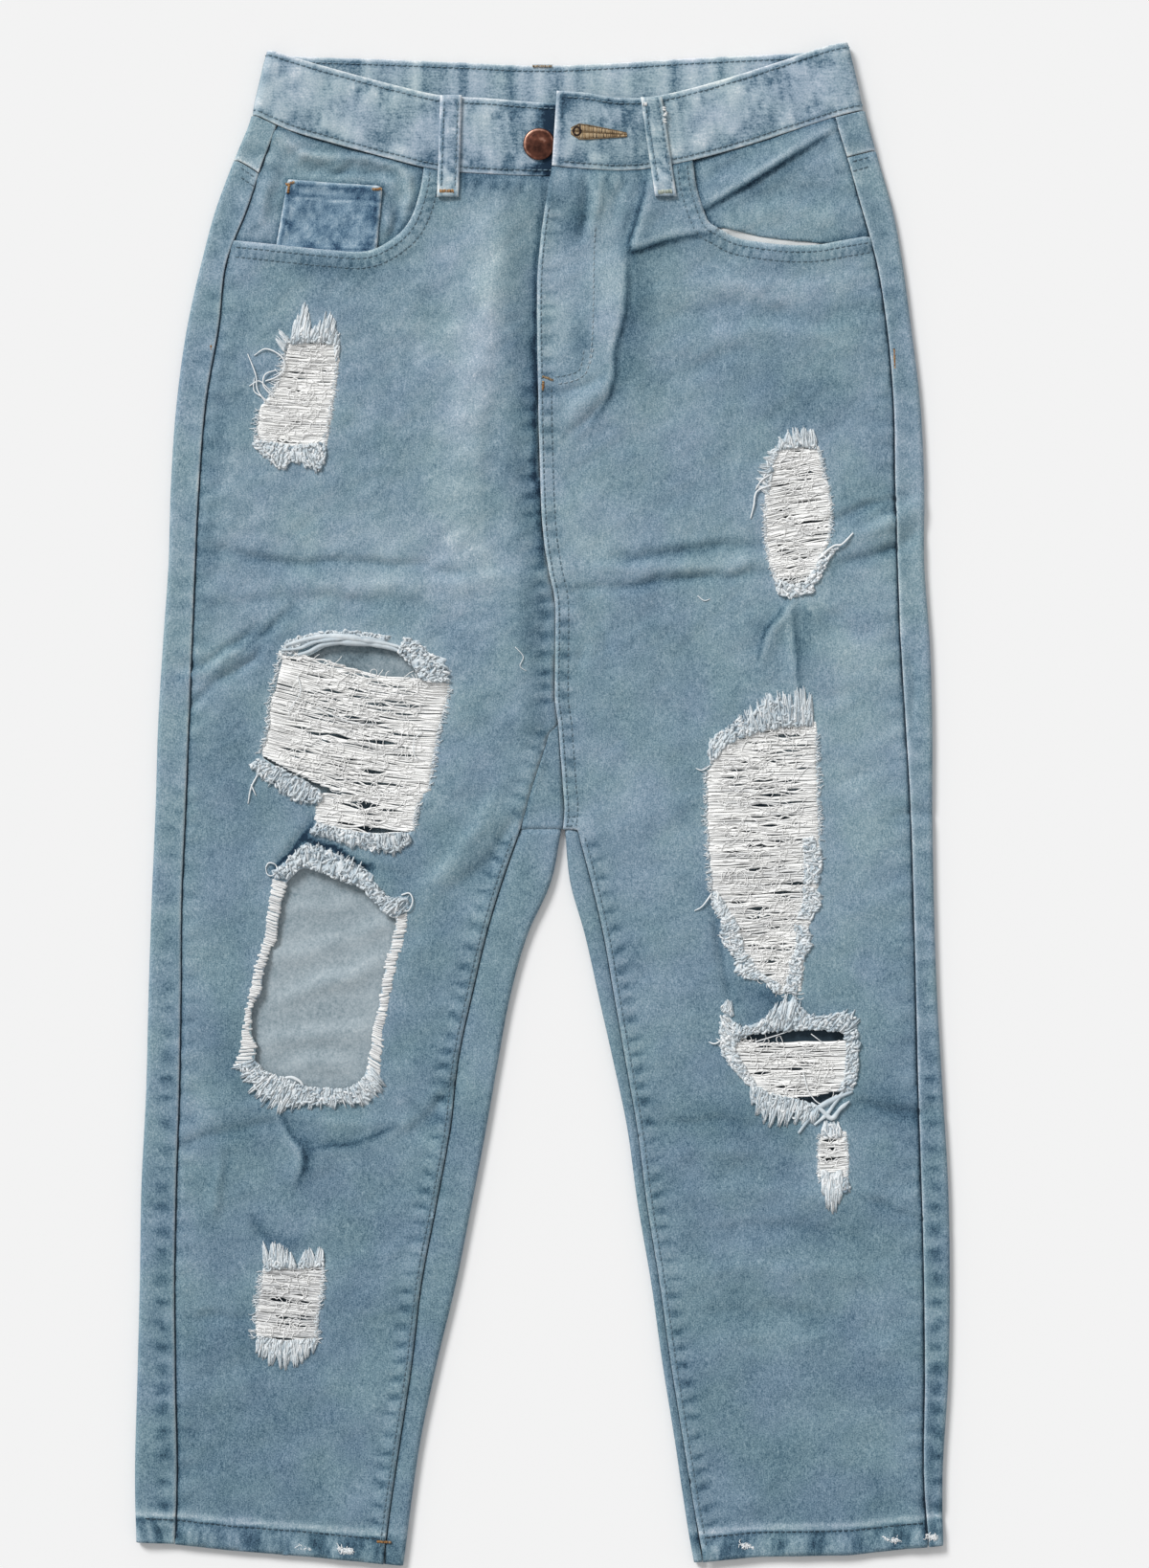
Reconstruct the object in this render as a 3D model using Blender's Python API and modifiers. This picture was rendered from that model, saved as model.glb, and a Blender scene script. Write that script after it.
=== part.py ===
"""Ripped five-pocket jeans, laid flat on their back with the fly unbuttoned.

Lengths are in millimetres until MM turns them to metres. +Y runs up to the waist, +Z away from the
surface that the jeans lie on, and X = 0, Y = 0 is the middle of the garment. Right and left are the
wearer's, so the right leg lies at -X. Each panel is a wall of cloth over its own cut outline: the back
panels and yokes wrap round the side folds, and the front panels close the top of the flattened tube.
"""

import math

import bmesh
import bpy
import numpy as np
from mathutils import Vector
from mathutils.geometry import delaunay_2d_cdt

MM = 0.001

# Cloth
DENIM = 1.2
BAND_CLOTH = 2.4
LOOP_CLOTH = 1.6
LINING_CLOTH = 1.0
YARN_LAYER = 0.8
GAP = 0.3
STACK = DENIM + GAP

# The flattened tube
FOLD_RADIUS = 2.4
FOLD_ANGLES = (45, 90, 135)
SAG_HIPS = 5.3
SAG_LEGS = 3.4
SAG_HIPS_Y = 300
SAG_LEGS_Y = 100
RIDGE_WIDTH = 25
WAIST_LIFT = STACK
YOKE_RAISED = 0.3
LIFT_FROM_Y = 404
LIFT_TO_Y = 416
CELL = 25

# The button: its cap's outline from the dome down to the shank, as shares of its radius and heights
BUTTON_CENTRE = (-2, 412)
BUTTON_RADIUS = 10
BUTTON_CAP = ((0, 2.6), (0.45, 2.4), (0.75, 1.85), (0.9, 1.6), (1, 1.2), (0.96, 0.7), (0.8, 0.6), (0.4, 0.6),
              (0.4, 0), (0, 0))
BUTTON_SIDES = 28

# The belt loops: the middle of a front loop's top and bottom ends, and the back loops' places
LOOP_WIDTH = 13
LOOP_ENDS = {"right": ((-57, 442.5), (-59, 379)), "left": ((68, 441), (77, 379))}
LOOP_STATIONS = (0, 0.2, 0.45, 0.7, 0.86, 1)
LOOP_ON_BAND = 0.8
BACK_LOOP_TOP = 463
BACK_LOOP_LENGTH = 53
BACK_LOOP_X = (-102, 0, 104)

# Where the crotch seams meet at the fold between the legs
CROTCH = (13, -16)
FLAP_TOP_Y = 50
YOKE_CENTRE_Y = 363

# Right and left are mirror images: this turns the sense of a length along X
SIGN = {"right": 1, "left": -1}

# Heights at which the panels are sectioned, from the waist to the hem
SECTIONS = (430, 415, 400, 375, 346, 335, 300, 250, 195, 175, 130, 90, 50, 10, -16, -60, -100, -150,
            -200, -250, -300, -350, -400, -440, -476)
BACK_SECTIONS = tuple(y for y in SECTIONS if y < YOKE_CENTRE_Y)

# y, then x of: right side fold, right outseam, left outseam, left side fold
SIDES = np.array((
    (476, -171, -153, 171, 192),
    (452, -179, -160, 178, 198),
    (430, -182, -164, 182.5, 202.5),
    (400, -194, -175, 191.5, 211),
    (370, -205, -185, 200, 219.5),
    (340, -213, -197, 208.5, 225),
    (300, -222, -202, 215, 230.5),
    (250, -229, -210.5, 219.5, 236.5),
    (200, -232.5, -214.5, 220.5, 239),
    (150, -234, -217, 222, 239),
    (100, -237.5, -219, 224, 242.5),
    (50, -240.5, -221, 227, 244),
    (0, -242, -223, 230, 244),
    (-60, -244.5, -225.5, 232, 245),
    (-120, -246.5, -226, 233.5, 247),
    (-180, -248, -227, 235, 250.5),
    (-240, -251, -229, 237, 254),
    (-300, -252, -230, 238.5, 255),
    (-360, -253.5, -229.5, 239, 254),
    (-420, -255, -228.5, 238.5, 250.5),
    (-476, -254, -230, 242, 251),
))
SIDE_COLUMNS = {"right_fold": 1, "right_outseam": 2, "left_outseam": 3, "left_fold": 4}

# y, then x of: right inseam, right inner fold, left inner fold, left inseam
INNERS = np.array((
    (-16, -14, 12, 14, 22),
    (-50, -26, 5, 17.5, 31),
    (-80, -35, -8.5, 26, 38),
    (-120, -44.5, -20, 35, 45),
    (-160, -53, -27.5, 44, 52),
    (-200, -57.5, -34.5, 52.5, 59),
    (-250, -66.5, -44, 59.5, 65.5),
    (-300, -76, -54, 68, 73.5),
    (-350, -82, -66, 75, 80.5),
    (-400, -89.5, -76.5, 83, 88.5),
    (-440, -95.5, -82.5, 89, 95),
    (-476, -100, -88, 96, 101.5),
))
INNER_COLUMNS = {"right_inseam": 1, "right_inner": 2, "left_inner": 3, "left_inseam": 4}

# The right inseam above the crotch fold, where the back panel's point lies on the front
FLAP_INSEAM = ((50, 6), (10, -7), (-16, -14))

# The line down the middle of the front, from the band to the crotch: (x, y)
CENTRE_LINE = ((6, 398), (2, 374), (-1, 352), (-3, 326), (-3, 290), (-2.4, 255), (-2, 231), (0, 176),
               (4, 146), (8, 126), (8, 90), (8, 64), (10, 50), (13, 10), (14, -3), (13, -16))

# The front of the waistband, from the middle to the side: top x, top y, bottom x, bottom y
BAND_FRONT = {
    "right": ((36, 440, 36, 391), (7, 438, 6, 392), (-33, 441, -30, 393), (-64, 443, -66, 396),
              (-95, 450, -99, 404), (-125, 458, -132, 413), (-150, 465, -159, 421)),
    "left": ((9, 445, 6, 398), (27, 444, 27, 396), (46, 441, 48, 395), (66, 441.5, 70, 397),
             (90, 446.5, 96, 402.5), (120, 455, 127, 411), (150, 464.5, 158, 421), (174, 472.5, 183, 429)),
}
# The back of the waistband: x, top y, bottom y. At each side fold: top y, bottom y
BAND_BACK = ((-157, 468, 423.3), (-100, 466, 421), (-50, 464, 419), (0, 462, 417), (50, 464, 420),
             (100, 467, 423), (176, 471, 427.5))
BAND_FOLDS = {"right": (471, 430), "left": (476, 433)}
BAND_MIDDLE_Y = 420
# How far the buttonhole tab rises over the button and the underlap: x, rise
TAB_RISE = ((6, 4.6), (18, 3.4), (46, 2.7), (70, 1.0), (90, 0))

# The yokes' lower seam: y at the outseam, at the side fold and at the middle of the back
YOKE_SEAM = {"right": (394, 402, YOKE_CENTRE_Y), "left": (404, 408, YOKE_CENTRE_Y)}

# The hems' lower edges: (x, y)
HEM = {
    "right": ((-255, -462), (-231, -463), (-195, -467), (-146, -471), (-88, -477)),
    "left": ((96, -474), (134, -471), (193, -470), (228, -466), (251, -464)),
}

# The front pockets' mouths, from the outseam to the band: y at the outseam, (x, y) between, x at the band
MOUTH_OUTSEAM_Y = {"right": 352, "left": 355}
MOUTH = {
    "right": ((-165, 349), (-135, 346), (-110, 345), (-92, 354), (-82, 366), (-76, 384)),
    "left": ((180, 351), (157, 349.5), (134, 350), (118, 356), (105.5, 357), (99, 382)),
}
MOUTH_BAND_X = {"right": -74, "left": 94}

# The rips' edges in the front panels
RIPS = {
    "right": {
        "hip": ((-150, 310), (-135, 305), (-128, 290), (-129, 276), (-133, 244), (-135, 208), (-155, 210),
                (-172, 214), (-183, 226), (-176, 248), (-166, 256), (-164, 270), (-159, 284)),
        "thigh": ((-163, 99), (-133, 106), (-99, 103), (-62, 87), (-58, 72), (-64, 50), (-72, 9),
                  (-80, -2), (-84, -20), (-90, -33), (-144, -33), (-141, -14), (-141, 0), (-181, 8),
                  (-179, 24), (-175, 40), (-170, 64), (-166, 84)),
        "knee": ((-159, -49), (-149, -40), (-116, -49), (-90, -71), (-93, -82), (-100, -111),
                 (-103, -135), (-108, -163), (-112, -171), (-149, -178), (-168, -174), (-181, -164),
                 (-182, -129), (-176, -122), (-172, -90), (-165, -68)),
        "shin": ((-175, -274), (-151, -284), (-137, -279), (-138, -296), (-141, -339), (-151, -352),
                 (-166, -351), (-178, -344), (-178, -318), (-174, -296)),
    },
    "left": {
        "thigh": ((153, 234), (170, 231), (175, 210), (180, 189), (180, 161), (172, 129), (148, 130),
                  (144, 144), (139, 189), (135, 208), (146, 223)),
        "long": ((135, 69), (169, 70), (171, 28), (172, -13), (176, -40), (176, -65), (168, -78),
                 (165, -109), (163, -121), (145, -121), (129, -113), (120, -90), (120, -76), (106, -54),
                 (104, -20), (102, 15), (105, 38), (125, 54)),
        "knee": ((112, -132), (152, -131), (198, -137), (200, -169), (196, -196), (170, -202),
                 (140, -202), (133, -190), (129, -173), (111, -148)),
        "calf": ((178, -210), (191, -210), (189, -234), (178, -259), (172, -234)),
    },
}
OPEN_RIP = ("right", "knee")

# Pieces that lie on or under a panel
COIN_POCKET = ((-159, 391), (-100, 386), (-104, 352.5), (-164, 354))
FLY_RISE_Y = (225, 252)
BAND_RISE_Y = (360, 384)
FLY_RISE_X = (50, 78)
FLY_UNDERLAP = ((21, 391.5), (20, 300), (13, 275), (-2.5, 262))
OUTSEAM_TOP_Y = {"right": 424, "left": 427}
FACING_INNER_X = {"right": -62, "left": 86}
FACING_LOWEST_Y = {"right": 338, "left": 354}
FACING_CORNERS = {"right": ((-105, 334), (-68, 352)), "left": ((112, 358.5), (98, 352))}
LINING = ((108, 372), (195, 367), (197, 347.5), (108, 347))
BACK_POCKET = ((-176, 331), (-46, 325), (-50, 219), (-112, 200), (-171, 223))
POCKET_COLUMNS = (0.05, 0.12, 0.47, 0.82, 0.90)
POCKET_LIFTS = (0, 1, 1, 1, 0)
POCKET_LIFT_FROM_Y = 195
POCKET_LIFT_TO_Y = 335

# Colours of the finished cloth, as linear red, green and blue
INDIGO = (0.17, 0.29, 0.37)
INDIGO_PALE = (0.33, 0.43, 0.50)
YARN_WHITE = (0.64, 0.64, 0.62)
LINING_WHITE = (0.72, 0.74, 0.76)
COPPER = (0.07, 0.03, 0.02)


def clear_scene():
    for obj in list(bpy.data.objects):
        bpy.data.objects.remove(obj, do_unlink=True)


def smooth_step(value, low, high):
    """0 at low and below, 1 at high and above, level at both ends."""
    share = np.clip((np.asarray(value, float) - low) / (high - low), 0, 1)
    return share * share * (3 - 2 * share)


def smooth_curve(table, column, y):
    """A column of a table at height y, on a cubic curve through its rows."""
    order = np.argsort(table[:, 0])
    at, value = table[order, 0], table[order, column]
    slope = np.gradient(value, at)
    row = np.clip(np.searchsorted(at, y) - 1, 0, len(at) - 2)
    step = at[row + 1] - at[row]
    s = (y - at[row]) / step
    return ((1 + 2 * s) * (1 - s) ** 2 * value[row] + s * (1 - s) ** 2 * step * slope[row]
            + s * s * (3 - 2 * s) * value[row + 1] - s * s * (1 - s) * step * slope[row + 1])


def sectioned(table, columns):
    """Each line of a table as straight stretches between the sections, so that neighbours match."""
    heights = np.array(sorted(set(SECTIONS) | {476}), float)
    heights = heights[(heights >= table[:, 0].min()) & (heights <= table[:, 0].max())]
    return {name: (heights, smooth_curve(table, column, heights)) for name, column in columns.items()}


LINES = {**sectioned(SIDES, SIDE_COLUMNS), **sectioned(INNERS, INNER_COLUMNS)}


def line_x(name, y):
    """x of a fold or a seam at height y."""
    return np.interp(y, *LINES[name])


def inseam_x(side, y):
    """x of an inseam at height y, with the point of the right back panel above the crotch."""
    if side == "right" and y >= CROTCH[1]:
        heights, places = zip(*sorted(FLAP_INSEAM))
        return float(np.interp(y, heights, places))
    return float(line_x(side + "_inseam", y))


def centre_x(y):
    """x of the line down the middle of the front."""
    places, heights = zip(*sorted(CENTRE_LINE, key=lambda point: point[1]))
    return float(np.interp(y, heights, places))


def back_seam_x(y):
    """x of the centre back seam, a straight line from the crotch to the yokes."""
    return float(np.interp(y, (CROTCH[1], YOKE_CENTRE_Y), (CROTCH[0], 0)))


def waist_lift(y):
    """How far the belt loops underneath raise the cloth near the waist."""
    return WAIST_LIFT * smooth_step(y, LIFT_FROM_Y, LIFT_TO_Y)


def fold_distance(x, y):
    """Distance in from the nearest side fold, inner fold or the crotch."""
    inset = DENIM / 2 + FOLD_RADIUS
    near = np.minimum(x - line_x("right_fold", y) - inset, line_x("left_fold", y) - inset - x)
    below = y < CROTCH[1]
    right = line_x("right_inner", y) - inset - x
    left = x - line_x("left_inner", y) - inset
    between = np.where(below, np.maximum(right, left), np.hypot(x - CROTCH[0], y - CROTCH[1]))
    return np.maximum(np.minimum(near, between), 0)


def top_height(x, y):
    """Middle of the upper layer of denim: a low ridge along each fold, sagging in between."""
    x, y = np.asarray(x, float), np.asarray(y, float)
    sag = np.interp(y, (SAG_LEGS_Y, SAG_HIPS_Y), (SAG_LEGS, SAG_HIPS))
    ridge = DENIM / 2 + 2 * FOLD_RADIUS + waist_lift(y)
    return sag + (ridge - sag) * np.exp(-((fold_distance(x, y) / RIDGE_WIDTH) ** 2))


def fly_rise(x, y):
    """How far the left front lies above the right front's underlap, and the band's, higher up."""
    rise = STACK * smooth_step(y, *FLY_RISE_Y) + DENIM * smooth_step(y, *BAND_RISE_Y)
    return rise * (1 - smooth_step(x, *FLY_RISE_X))


def left_front_height(x, y):
    return top_height(x, y) + fly_rise(x, y)


def facing_height(x, y):
    return top_height(x, y) - STACK


def lining_height(x, y):
    return top_height(x, y) - 2 * STACK + (DENIM - LINING_CLOTH) / 2


def pocket_height(x, y):
    return np.full(np.shape(x), DENIM / 2)


def band_height(side, x):
    """Middle of the waistband's front. Its underside is level with the panel's."""
    rise = np.interp(x, *zip(*TAB_RISE)) if side == "left" else 0
    return float(top_height(x, BAND_MIDDLE_Y) + (BAND_CLOTH - DENIM) / 2 + rise)


def paint(obj, colour, roughness=0.9, metallic=0.0):
    material = bpy.data.materials.new(obj.name)
    material.use_nodes = True
    shader = material.node_tree.nodes["Principled BSDF"]
    shader.inputs["Base Color"].default_value = (*colour, 1)
    shader.inputs["Roughness"].default_value = roughness
    shader.inputs["Metallic"].default_value = metallic
    material.diffuse_color = (*colour, 1)
    obj.data.materials.append(material)


def add_wall(collection, name, points, faces, thickness, colour):
    """A surface, given by its middle, made a wall of cloth."""
    mesh = bpy.data.meshes.new(name)
    mesh.from_pydata([tuple(MM * value for value in point) for point in points], [], faces)
    shape = bmesh.new()
    shape.from_mesh(mesh)
    loose = [vertex for vertex in shape.verts if not vertex.link_faces]
    bmesh.ops.delete(shape, geom=loose, context="VERTS")
    shape.to_mesh(mesh)
    shape.free()
    obj = bpy.data.objects.new(name, mesh)
    collection.objects.link(obj)
    wall = obj.modifiers.new("cloth", "SOLIDIFY")
    wall.thickness = thickness * MM
    wall.offset = 0
    wall.use_even_offset = True
    wall.use_quality_normals = True
    paint(obj, colour)
    return obj


def inside(points, loop):
    """Which points lie inside a closed outline, by counting the sides that a ray to +X meets."""
    x, y = points[:, :1], points[:, 1:]
    start = np.asarray(loop, float)
    end = np.roll(start, -1, axis=0)
    spans = (start[:, 1] > y) != (end[:, 1] > y)
    rise = np.where(end[:, 1] == start[:, 1], 1, end[:, 1] - start[:, 1])
    crossing = start[:, 0] + (y - start[:, 1]) / rise * (end[:, 0] - start[:, 0])
    return (spans & (x < crossing)).sum(axis=1) % 2 == 1


def distance_to(points, loop):
    """Each point's distance from the nearest side of a closed outline."""
    start = np.asarray(loop, float)
    side = np.roll(start, -1, axis=0) - start
    offset = points[:, None] - start
    along = np.clip((offset * side).sum(-1) / (side * side).sum(-1), 0, 1)
    return np.linalg.norm(offset - along[..., None] * side, axis=-1).min(axis=1)


def inset(loop, distance):
    """An outline moved inwards by a distance, whichever way round it runs."""
    here = np.asarray(loop, float)
    after = np.roll(here, -1, axis=0) - here
    area = np.cross(here, np.roll(here, -1, axis=0)).sum()
    after = after / np.linalg.norm(after, axis=1, keepdims=True)
    before = np.roll(after, 1, axis=0)
    normal = np.stack((-after[:, 1] - before[:, 1], after[:, 0] + before[:, 0]), axis=1)
    normal /= np.maximum(1 + (after * before).sum(axis=1, keepdims=True), 0.5)
    return here + normal * distance * math.copysign(1, area)


def add_sheet(collection, name, outline, height, thickness, colour, holes=()):
    """A wall of cloth over a flat outline less its holes, lifted to height(x, y)."""
    loops = [np.asarray(loop, float) for loop in (outline, *holes)]
    low, high = loops[0].min(axis=0), loops[0].max(axis=0)
    rows = np.arange(low[1], high[1], CELL * math.sqrt(3) / 2)
    across = np.arange(low[0], high[0], CELL)
    grid = np.array([(x + (i % 2) * CELL / 2, y) for i, y in enumerate(rows) for x in across])
    keep = inside(grid, loops[0])
    for loop in loops[1:]:
        keep &= ~inside(grid, loop)
    for loop in loops:
        keep &= distance_to(grid, loop) > CELL * 0.4
    points = [Vector(point) for loop in loops for point in loop] + [Vector(point) for point in grid[keep]]
    edges, start = [], 0
    for loop in loops:
        edges += [(start + i, start + (i + 1) % len(loop)) for i in range(len(loop))]
        start += len(loop)
    flat, _, faces, *_ = delaunay_2d_cdt(points, edges, [], 1, 1e-5)
    plan = np.array([tuple(point) for point in flat])
    middles = plan[np.array(faces)].mean(axis=1)
    cloth = inside(middles, loops[0])
    for loop in loops[1:]:
        cloth &= ~inside(middles, loop)
    faces = [face for face, kept in zip(faces, cloth) if kept]
    lifted = np.column_stack((plan, height(plan[:, 0], plan[:, 1])))
    return add_wall(collection, name, lifted.tolist(), faces, thickness, colour)


def add_loft(collection, name, grid, cells, thickness, colour):
    """A wall of cloth through a grid of sections, on the cells that are cloth."""
    rows, columns = grid.shape[:2]
    faces = [(i * columns + j, (i + 1) * columns + j, (i + 1) * columns + j + 1, i * columns + j + 1)
             for i in range(rows - 1) for j in range(columns - 1) if cells[i, j]]
    return add_wall(collection, name, grid.reshape(-1, 3).tolist(), faces, thickness, colour)


def band_edge(side):
    """The waistband's lower edge on the front, from the middle to the side fold: (x, y)."""
    low = BAND_FOLDS[side][1]
    return [row[2:] for row in BAND_FRONT[side]] + [(fold_x(side, low, BAND_CLOTH), low)]


def band_edge_y(side, x):
    """The waistband's lower edge on the front at x."""
    places, heights = zip(*sorted(band_edge(side)))
    return float(np.interp(x, places, heights))


def edge_between(side, first, last):
    """The waistband's lower edge between two places along X, in that order."""
    turn = 1 if last > first else -1
    inner = sorted((point for point in band_edge(side)
                    if min(first, last) < point[0] < max(first, last)), key=lambda point: turn * point[0])
    return [(first, band_edge_y(side, first)), *inner, (last, band_edge_y(side, last))]


def outseam_run(side, top, bottom):
    """The outseam from a height down to another: (x, y)."""
    heights = [top, *(y for y in SECTIONS if bottom < y < top), bottom]
    return [(float(line_x(side + "_outseam", y)), y) for y in heights]


def hem_y(side, x):
    """The hem's lower edge at x."""
    return float(np.interp(x, *zip(*HEM[side])))


def fold_x(side, y, thickness):
    """x where cloth of this thickness starts to turn round a side fold."""
    return float(line_x(side + "_fold", y)) + SIGN[side] * (thickness / 2 + FOLD_RADIUS)


def inner_fold_x(side, y):
    """x where a leg's denim starts to turn round its inner fold."""
    return float(line_x(side + "_inner", y)) - SIGN[side] * (DENIM / 2 + FOLD_RADIUS)


def yoke_seam_y(side, x):
    """The yoke's lower seam on the lower layer, straight from the side fold to the centre back."""
    _, fold_y, centre_y = YOKE_SEAM[side]
    return centre_y + x / fold_x(side, fold_y, DENIM) * (fold_y - centre_y)


def band_back_y(side, x):
    """The waistband's lower edge on the back."""
    places = [(row[0], row[2]) for row in BAND_BACK]
    low = BAND_FOLDS[side][1]
    places = sorted([*places, (fold_x(side, low, BAND_CLOTH), low)])
    return float(np.interp(x, *zip(*places)))


def side_section(side, y_out, y_fold, lower_y, x_back, lift):
    """One section of the cloth round a side fold: outseam, fold, then the lower layer to x_back.

    y runs from y_out at the outseam to y_fold at the fold, and is lower_y(x) on the lower layer. lift
    raises each of the lower layer's columns.
    """
    sign = SIGN[side]
    fold = fold_x(side, y_fold, DENIM)
    seam = float(line_x(side + "_outseam", y_out)) - sign * GAP / 2
    base = DENIM / 2 + float(waist_lift(y_fold))
    points = []
    for share in (0, 0.5, 1):
        x, y = seam + share * (fold - seam), y_out + share * (y_fold - y_out)
        points.append((x, y, float(top_height(x, y))))
    for angle in FOLD_ANGLES:
        turn = math.radians(angle)
        points.append((fold - sign * FOLD_RADIUS * math.sin(turn), y_fold,
                       base + FOLD_RADIUS * (1 + math.cos(turn))))
    for share, raised in zip((0, *POCKET_COLUMNS, 1), (0, *lift, 0)):
        x = fold + share * (x_back - fold)
        y = lower_y(x)
        points.append((x, y, DENIM / 2 + max(raised * STACK, float(waist_lift(y)))))
    return points


def inner_section(side, y):
    """The cloth round a leg's inner fold, from the lower layer to the inseam on top."""
    sign = SIGN[side]
    fold = inner_fold_x(side, y)
    seam = inseam_x(side, y) + sign * GAP / 2
    points = [(fold + sign * FOLD_RADIUS * math.sin(turn), y,
               DENIM / 2 + FOLD_RADIUS * (1 - math.cos(turn))) for turn in map(math.radians, FOLD_ANGLES)]
    points.append((fold, y, DENIM / 2 + 2 * FOLD_RADIUS))
    points.append((seam, y, float(top_height(seam, y))))
    return points


def flap_section(y):
    """The right back panel's point above the crotch, where it lies on the front: centre line to inseam.

    It has as many points as an inner section, those that turn the inner fold all lying on its edge.
    """
    edge = centre_x(y) - GAP / 2
    seam = inseam_x("right", y) + GAP / 2
    turned = [(edge, y, float(top_height(edge, y)))] * (len(FOLD_ANGLES) + 1)
    return [*turned, (seam, y, float(top_height(seam, y)))]


def add_back(collection, side):
    """A back panel: a strip on the front along the outseam, the lower layer, and a strip to the inseam."""
    half_gap = SIGN[side] * GAP / 2
    y_out, y_fold, y_centre = YOKE_SEAM[side]
    flat = [0] * len(POCKET_LIFTS)
    top_edge = side_section(side, y_out - GAP, y_fold - GAP, lambda x: yoke_seam_y(side, x) - GAP,
                       back_seam_x(y_centre) - half_gap, flat)
    rows = [top_edge + flap_section(FLAP_TOP_Y)]
    for y in BACK_SECTIONS:
        lift = POCKET_LIFTS if POCKET_LIFT_FROM_Y <= y <= POCKET_LIFT_TO_Y else flat
        if y > CROTCH[1]:
            x_back, end = back_seam_x(y) - half_gap, flap_section(min(y, FLAP_TOP_Y))
        else:
            x_back, end = inner_fold_x(side, y), inner_section(side, y)
        rows.append(side_section(side, y, y, lambda x, level=y: level, x_back, lift) + end)
    rows[-1] = [(x, hem_y(side, x), z) for x, _, z in rows[-1]]
    grid = np.array(rows)
    cells = np.ones((grid.shape[0] - 1, grid.shape[1] - 1), bool)
    centre_column = len(top_edge) - 1
    for i, upper_y in enumerate((YOKE_CENTRE_Y, *BACK_SECTIONS[:-1])):
        if upper_y > CROTCH[1]:
            cells[i, centre_column:] = False
            cells[i, -1] = side == "right" and upper_y <= FLAP_TOP_Y
    if side == "left":
        grid, cells = grid[:, ::-1], cells[:, ::-1]
    return add_loft(collection, "back_" + side, grid, cells, DENIM, INDIGO)


def add_yoke(collection, side):
    """A back yoke, from the band to the yoke seam, with its end wrapped to the front."""
    seam = float(line_x(side + "_outseam", OUTSEAM_TOP_Y[side]))
    top = (band_edge_y(side, seam) - GAP / 2, BAND_FOLDS[side][1] - GAP)
    flat_column = 3 + len(FOLD_ANGLES)
    rows = []
    for share in (0, YOKE_RAISED, 1):
        heights = [high + share * (low - high) for high, low in zip(top, YOKE_SEAM[side])]

        def lower_y(x, down=share):
            return (1 - down) * (band_back_y(side, x) - GAP) + down * yoke_seam_y(side, x)

        section = side_section(side, *heights, lower_y, -SIGN[side] * GAP / 2, [0] * len(POCKET_LIFTS))
        if share < 1:
            section[flat_column:] = [(x, y, DENIM / 2 + WAIST_LIFT) for x, y, _ in section[flat_column:]]
        rows.append(section)
    grid = np.array(rows)
    if side == "left":
        grid = grid[:, ::-1]
    cells = np.ones((grid.shape[0] - 1, grid.shape[1] - 1), bool)
    return add_loft(collection, "yoke_" + side, grid, cells, DENIM, INDIGO)


def fold_stations(side):
    """The waistband round a side fold, from the front to the back: (top point, bottom point)."""
    base = WAIST_LIFT + BAND_CLOTH / 2
    return [[(fold_x(side, y, BAND_CLOTH) - SIGN[side] * FOLD_RADIUS * math.sin(turn), y,
              base + FOLD_RADIUS * (1 + math.cos(turn))) for y in BAND_FOLDS[side]]
            for turn in map(math.radians, (0, *FOLD_ANGLES, 180))]


def front_stations(side):
    """The waistband's front from the middle to the side: (top point, bottom point)."""
    return [[(x_top, y_top, band_height(side, x_top)), (x_low, y_low, band_height(side, x_low))]
            for x_top, y_top, x_low, y_low in BAND_FRONT[side]]


def add_waistband(collection):
    """One long strip: underlap, right front, right side, back, left side, left front and tab."""
    back = [[(x, y, WAIST_LIFT + BAND_CLOTH / 2) for y in edges] for x, *edges in BAND_BACK]
    ends = np.array([*front_stations("right"), *fold_stations("right"), *back,
                     *fold_stations("left")[::-1], *front_stations("left")[::-1]])
    ends[:, 1, 1] += GAP
    middle = ends.mean(axis=1, keepdims=True)
    grid = np.concatenate((ends[:, 1:], middle, ends[:, :1]), axis=1)
    cells = np.ones((grid.shape[0] - 1, grid.shape[1] - 1), bool)
    return add_loft(collection, "waistband", grid, cells, BAND_CLOTH, INDIGO_PALE)


def hem_run(side, start, end):
    """The hem's lower edge from a place along X to another: (x, y)."""
    turn = 1 if end > start else -1
    inner = sorted((point for point in HEM[side] if min(start, end) < point[0] < max(start, end)),
                   key=lambda point: turn * point[0])
    return [(start, hem_y(side, start)), *inner, (end, hem_y(side, end))]


def front_outline(side):
    """A front panel's outline: along the band, down the middle and the leg, up the outseam, the mouth."""
    if side == "right":
        band = edge_between(side, MOUTH_BAND_X[side], FLY_UNDERLAP[0][0])[:-1]
        middle = [*FLY_UNDERLAP]
        middle += [point for point in CENTRE_LINE if FLAP_TOP_Y < point[1] < FLY_UNDERLAP[-1][1] - CELL]
        middle += [(inseam_x(side, y), y) for y in SECTIONS if CROTCH[1] <= y <= FLAP_TOP_Y]
    else:
        band = edge_between(side, MOUTH_BAND_X[side], CENTRE_LINE[0][0])
        middle = [*CENTRE_LINE[1:], (inseam_x(side, CROTCH[1]), CROTCH[1])]
    leg = [(inseam_x(side, y), y) for y in SECTIONS if SECTIONS[-1] < y < CROTCH[1]]
    hem = hem_run(side, inseam_x(side, SECTIONS[-1]), float(line_x(side + "_outseam", SECTIONS[-1])))
    outseam = outseam_run(side, MOUTH_OUTSEAM_Y[side], SECTIONS[-2])[::-1]
    return [*band, *middle, *leg, *hem, *outseam, *MOUTH[side]]


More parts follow.
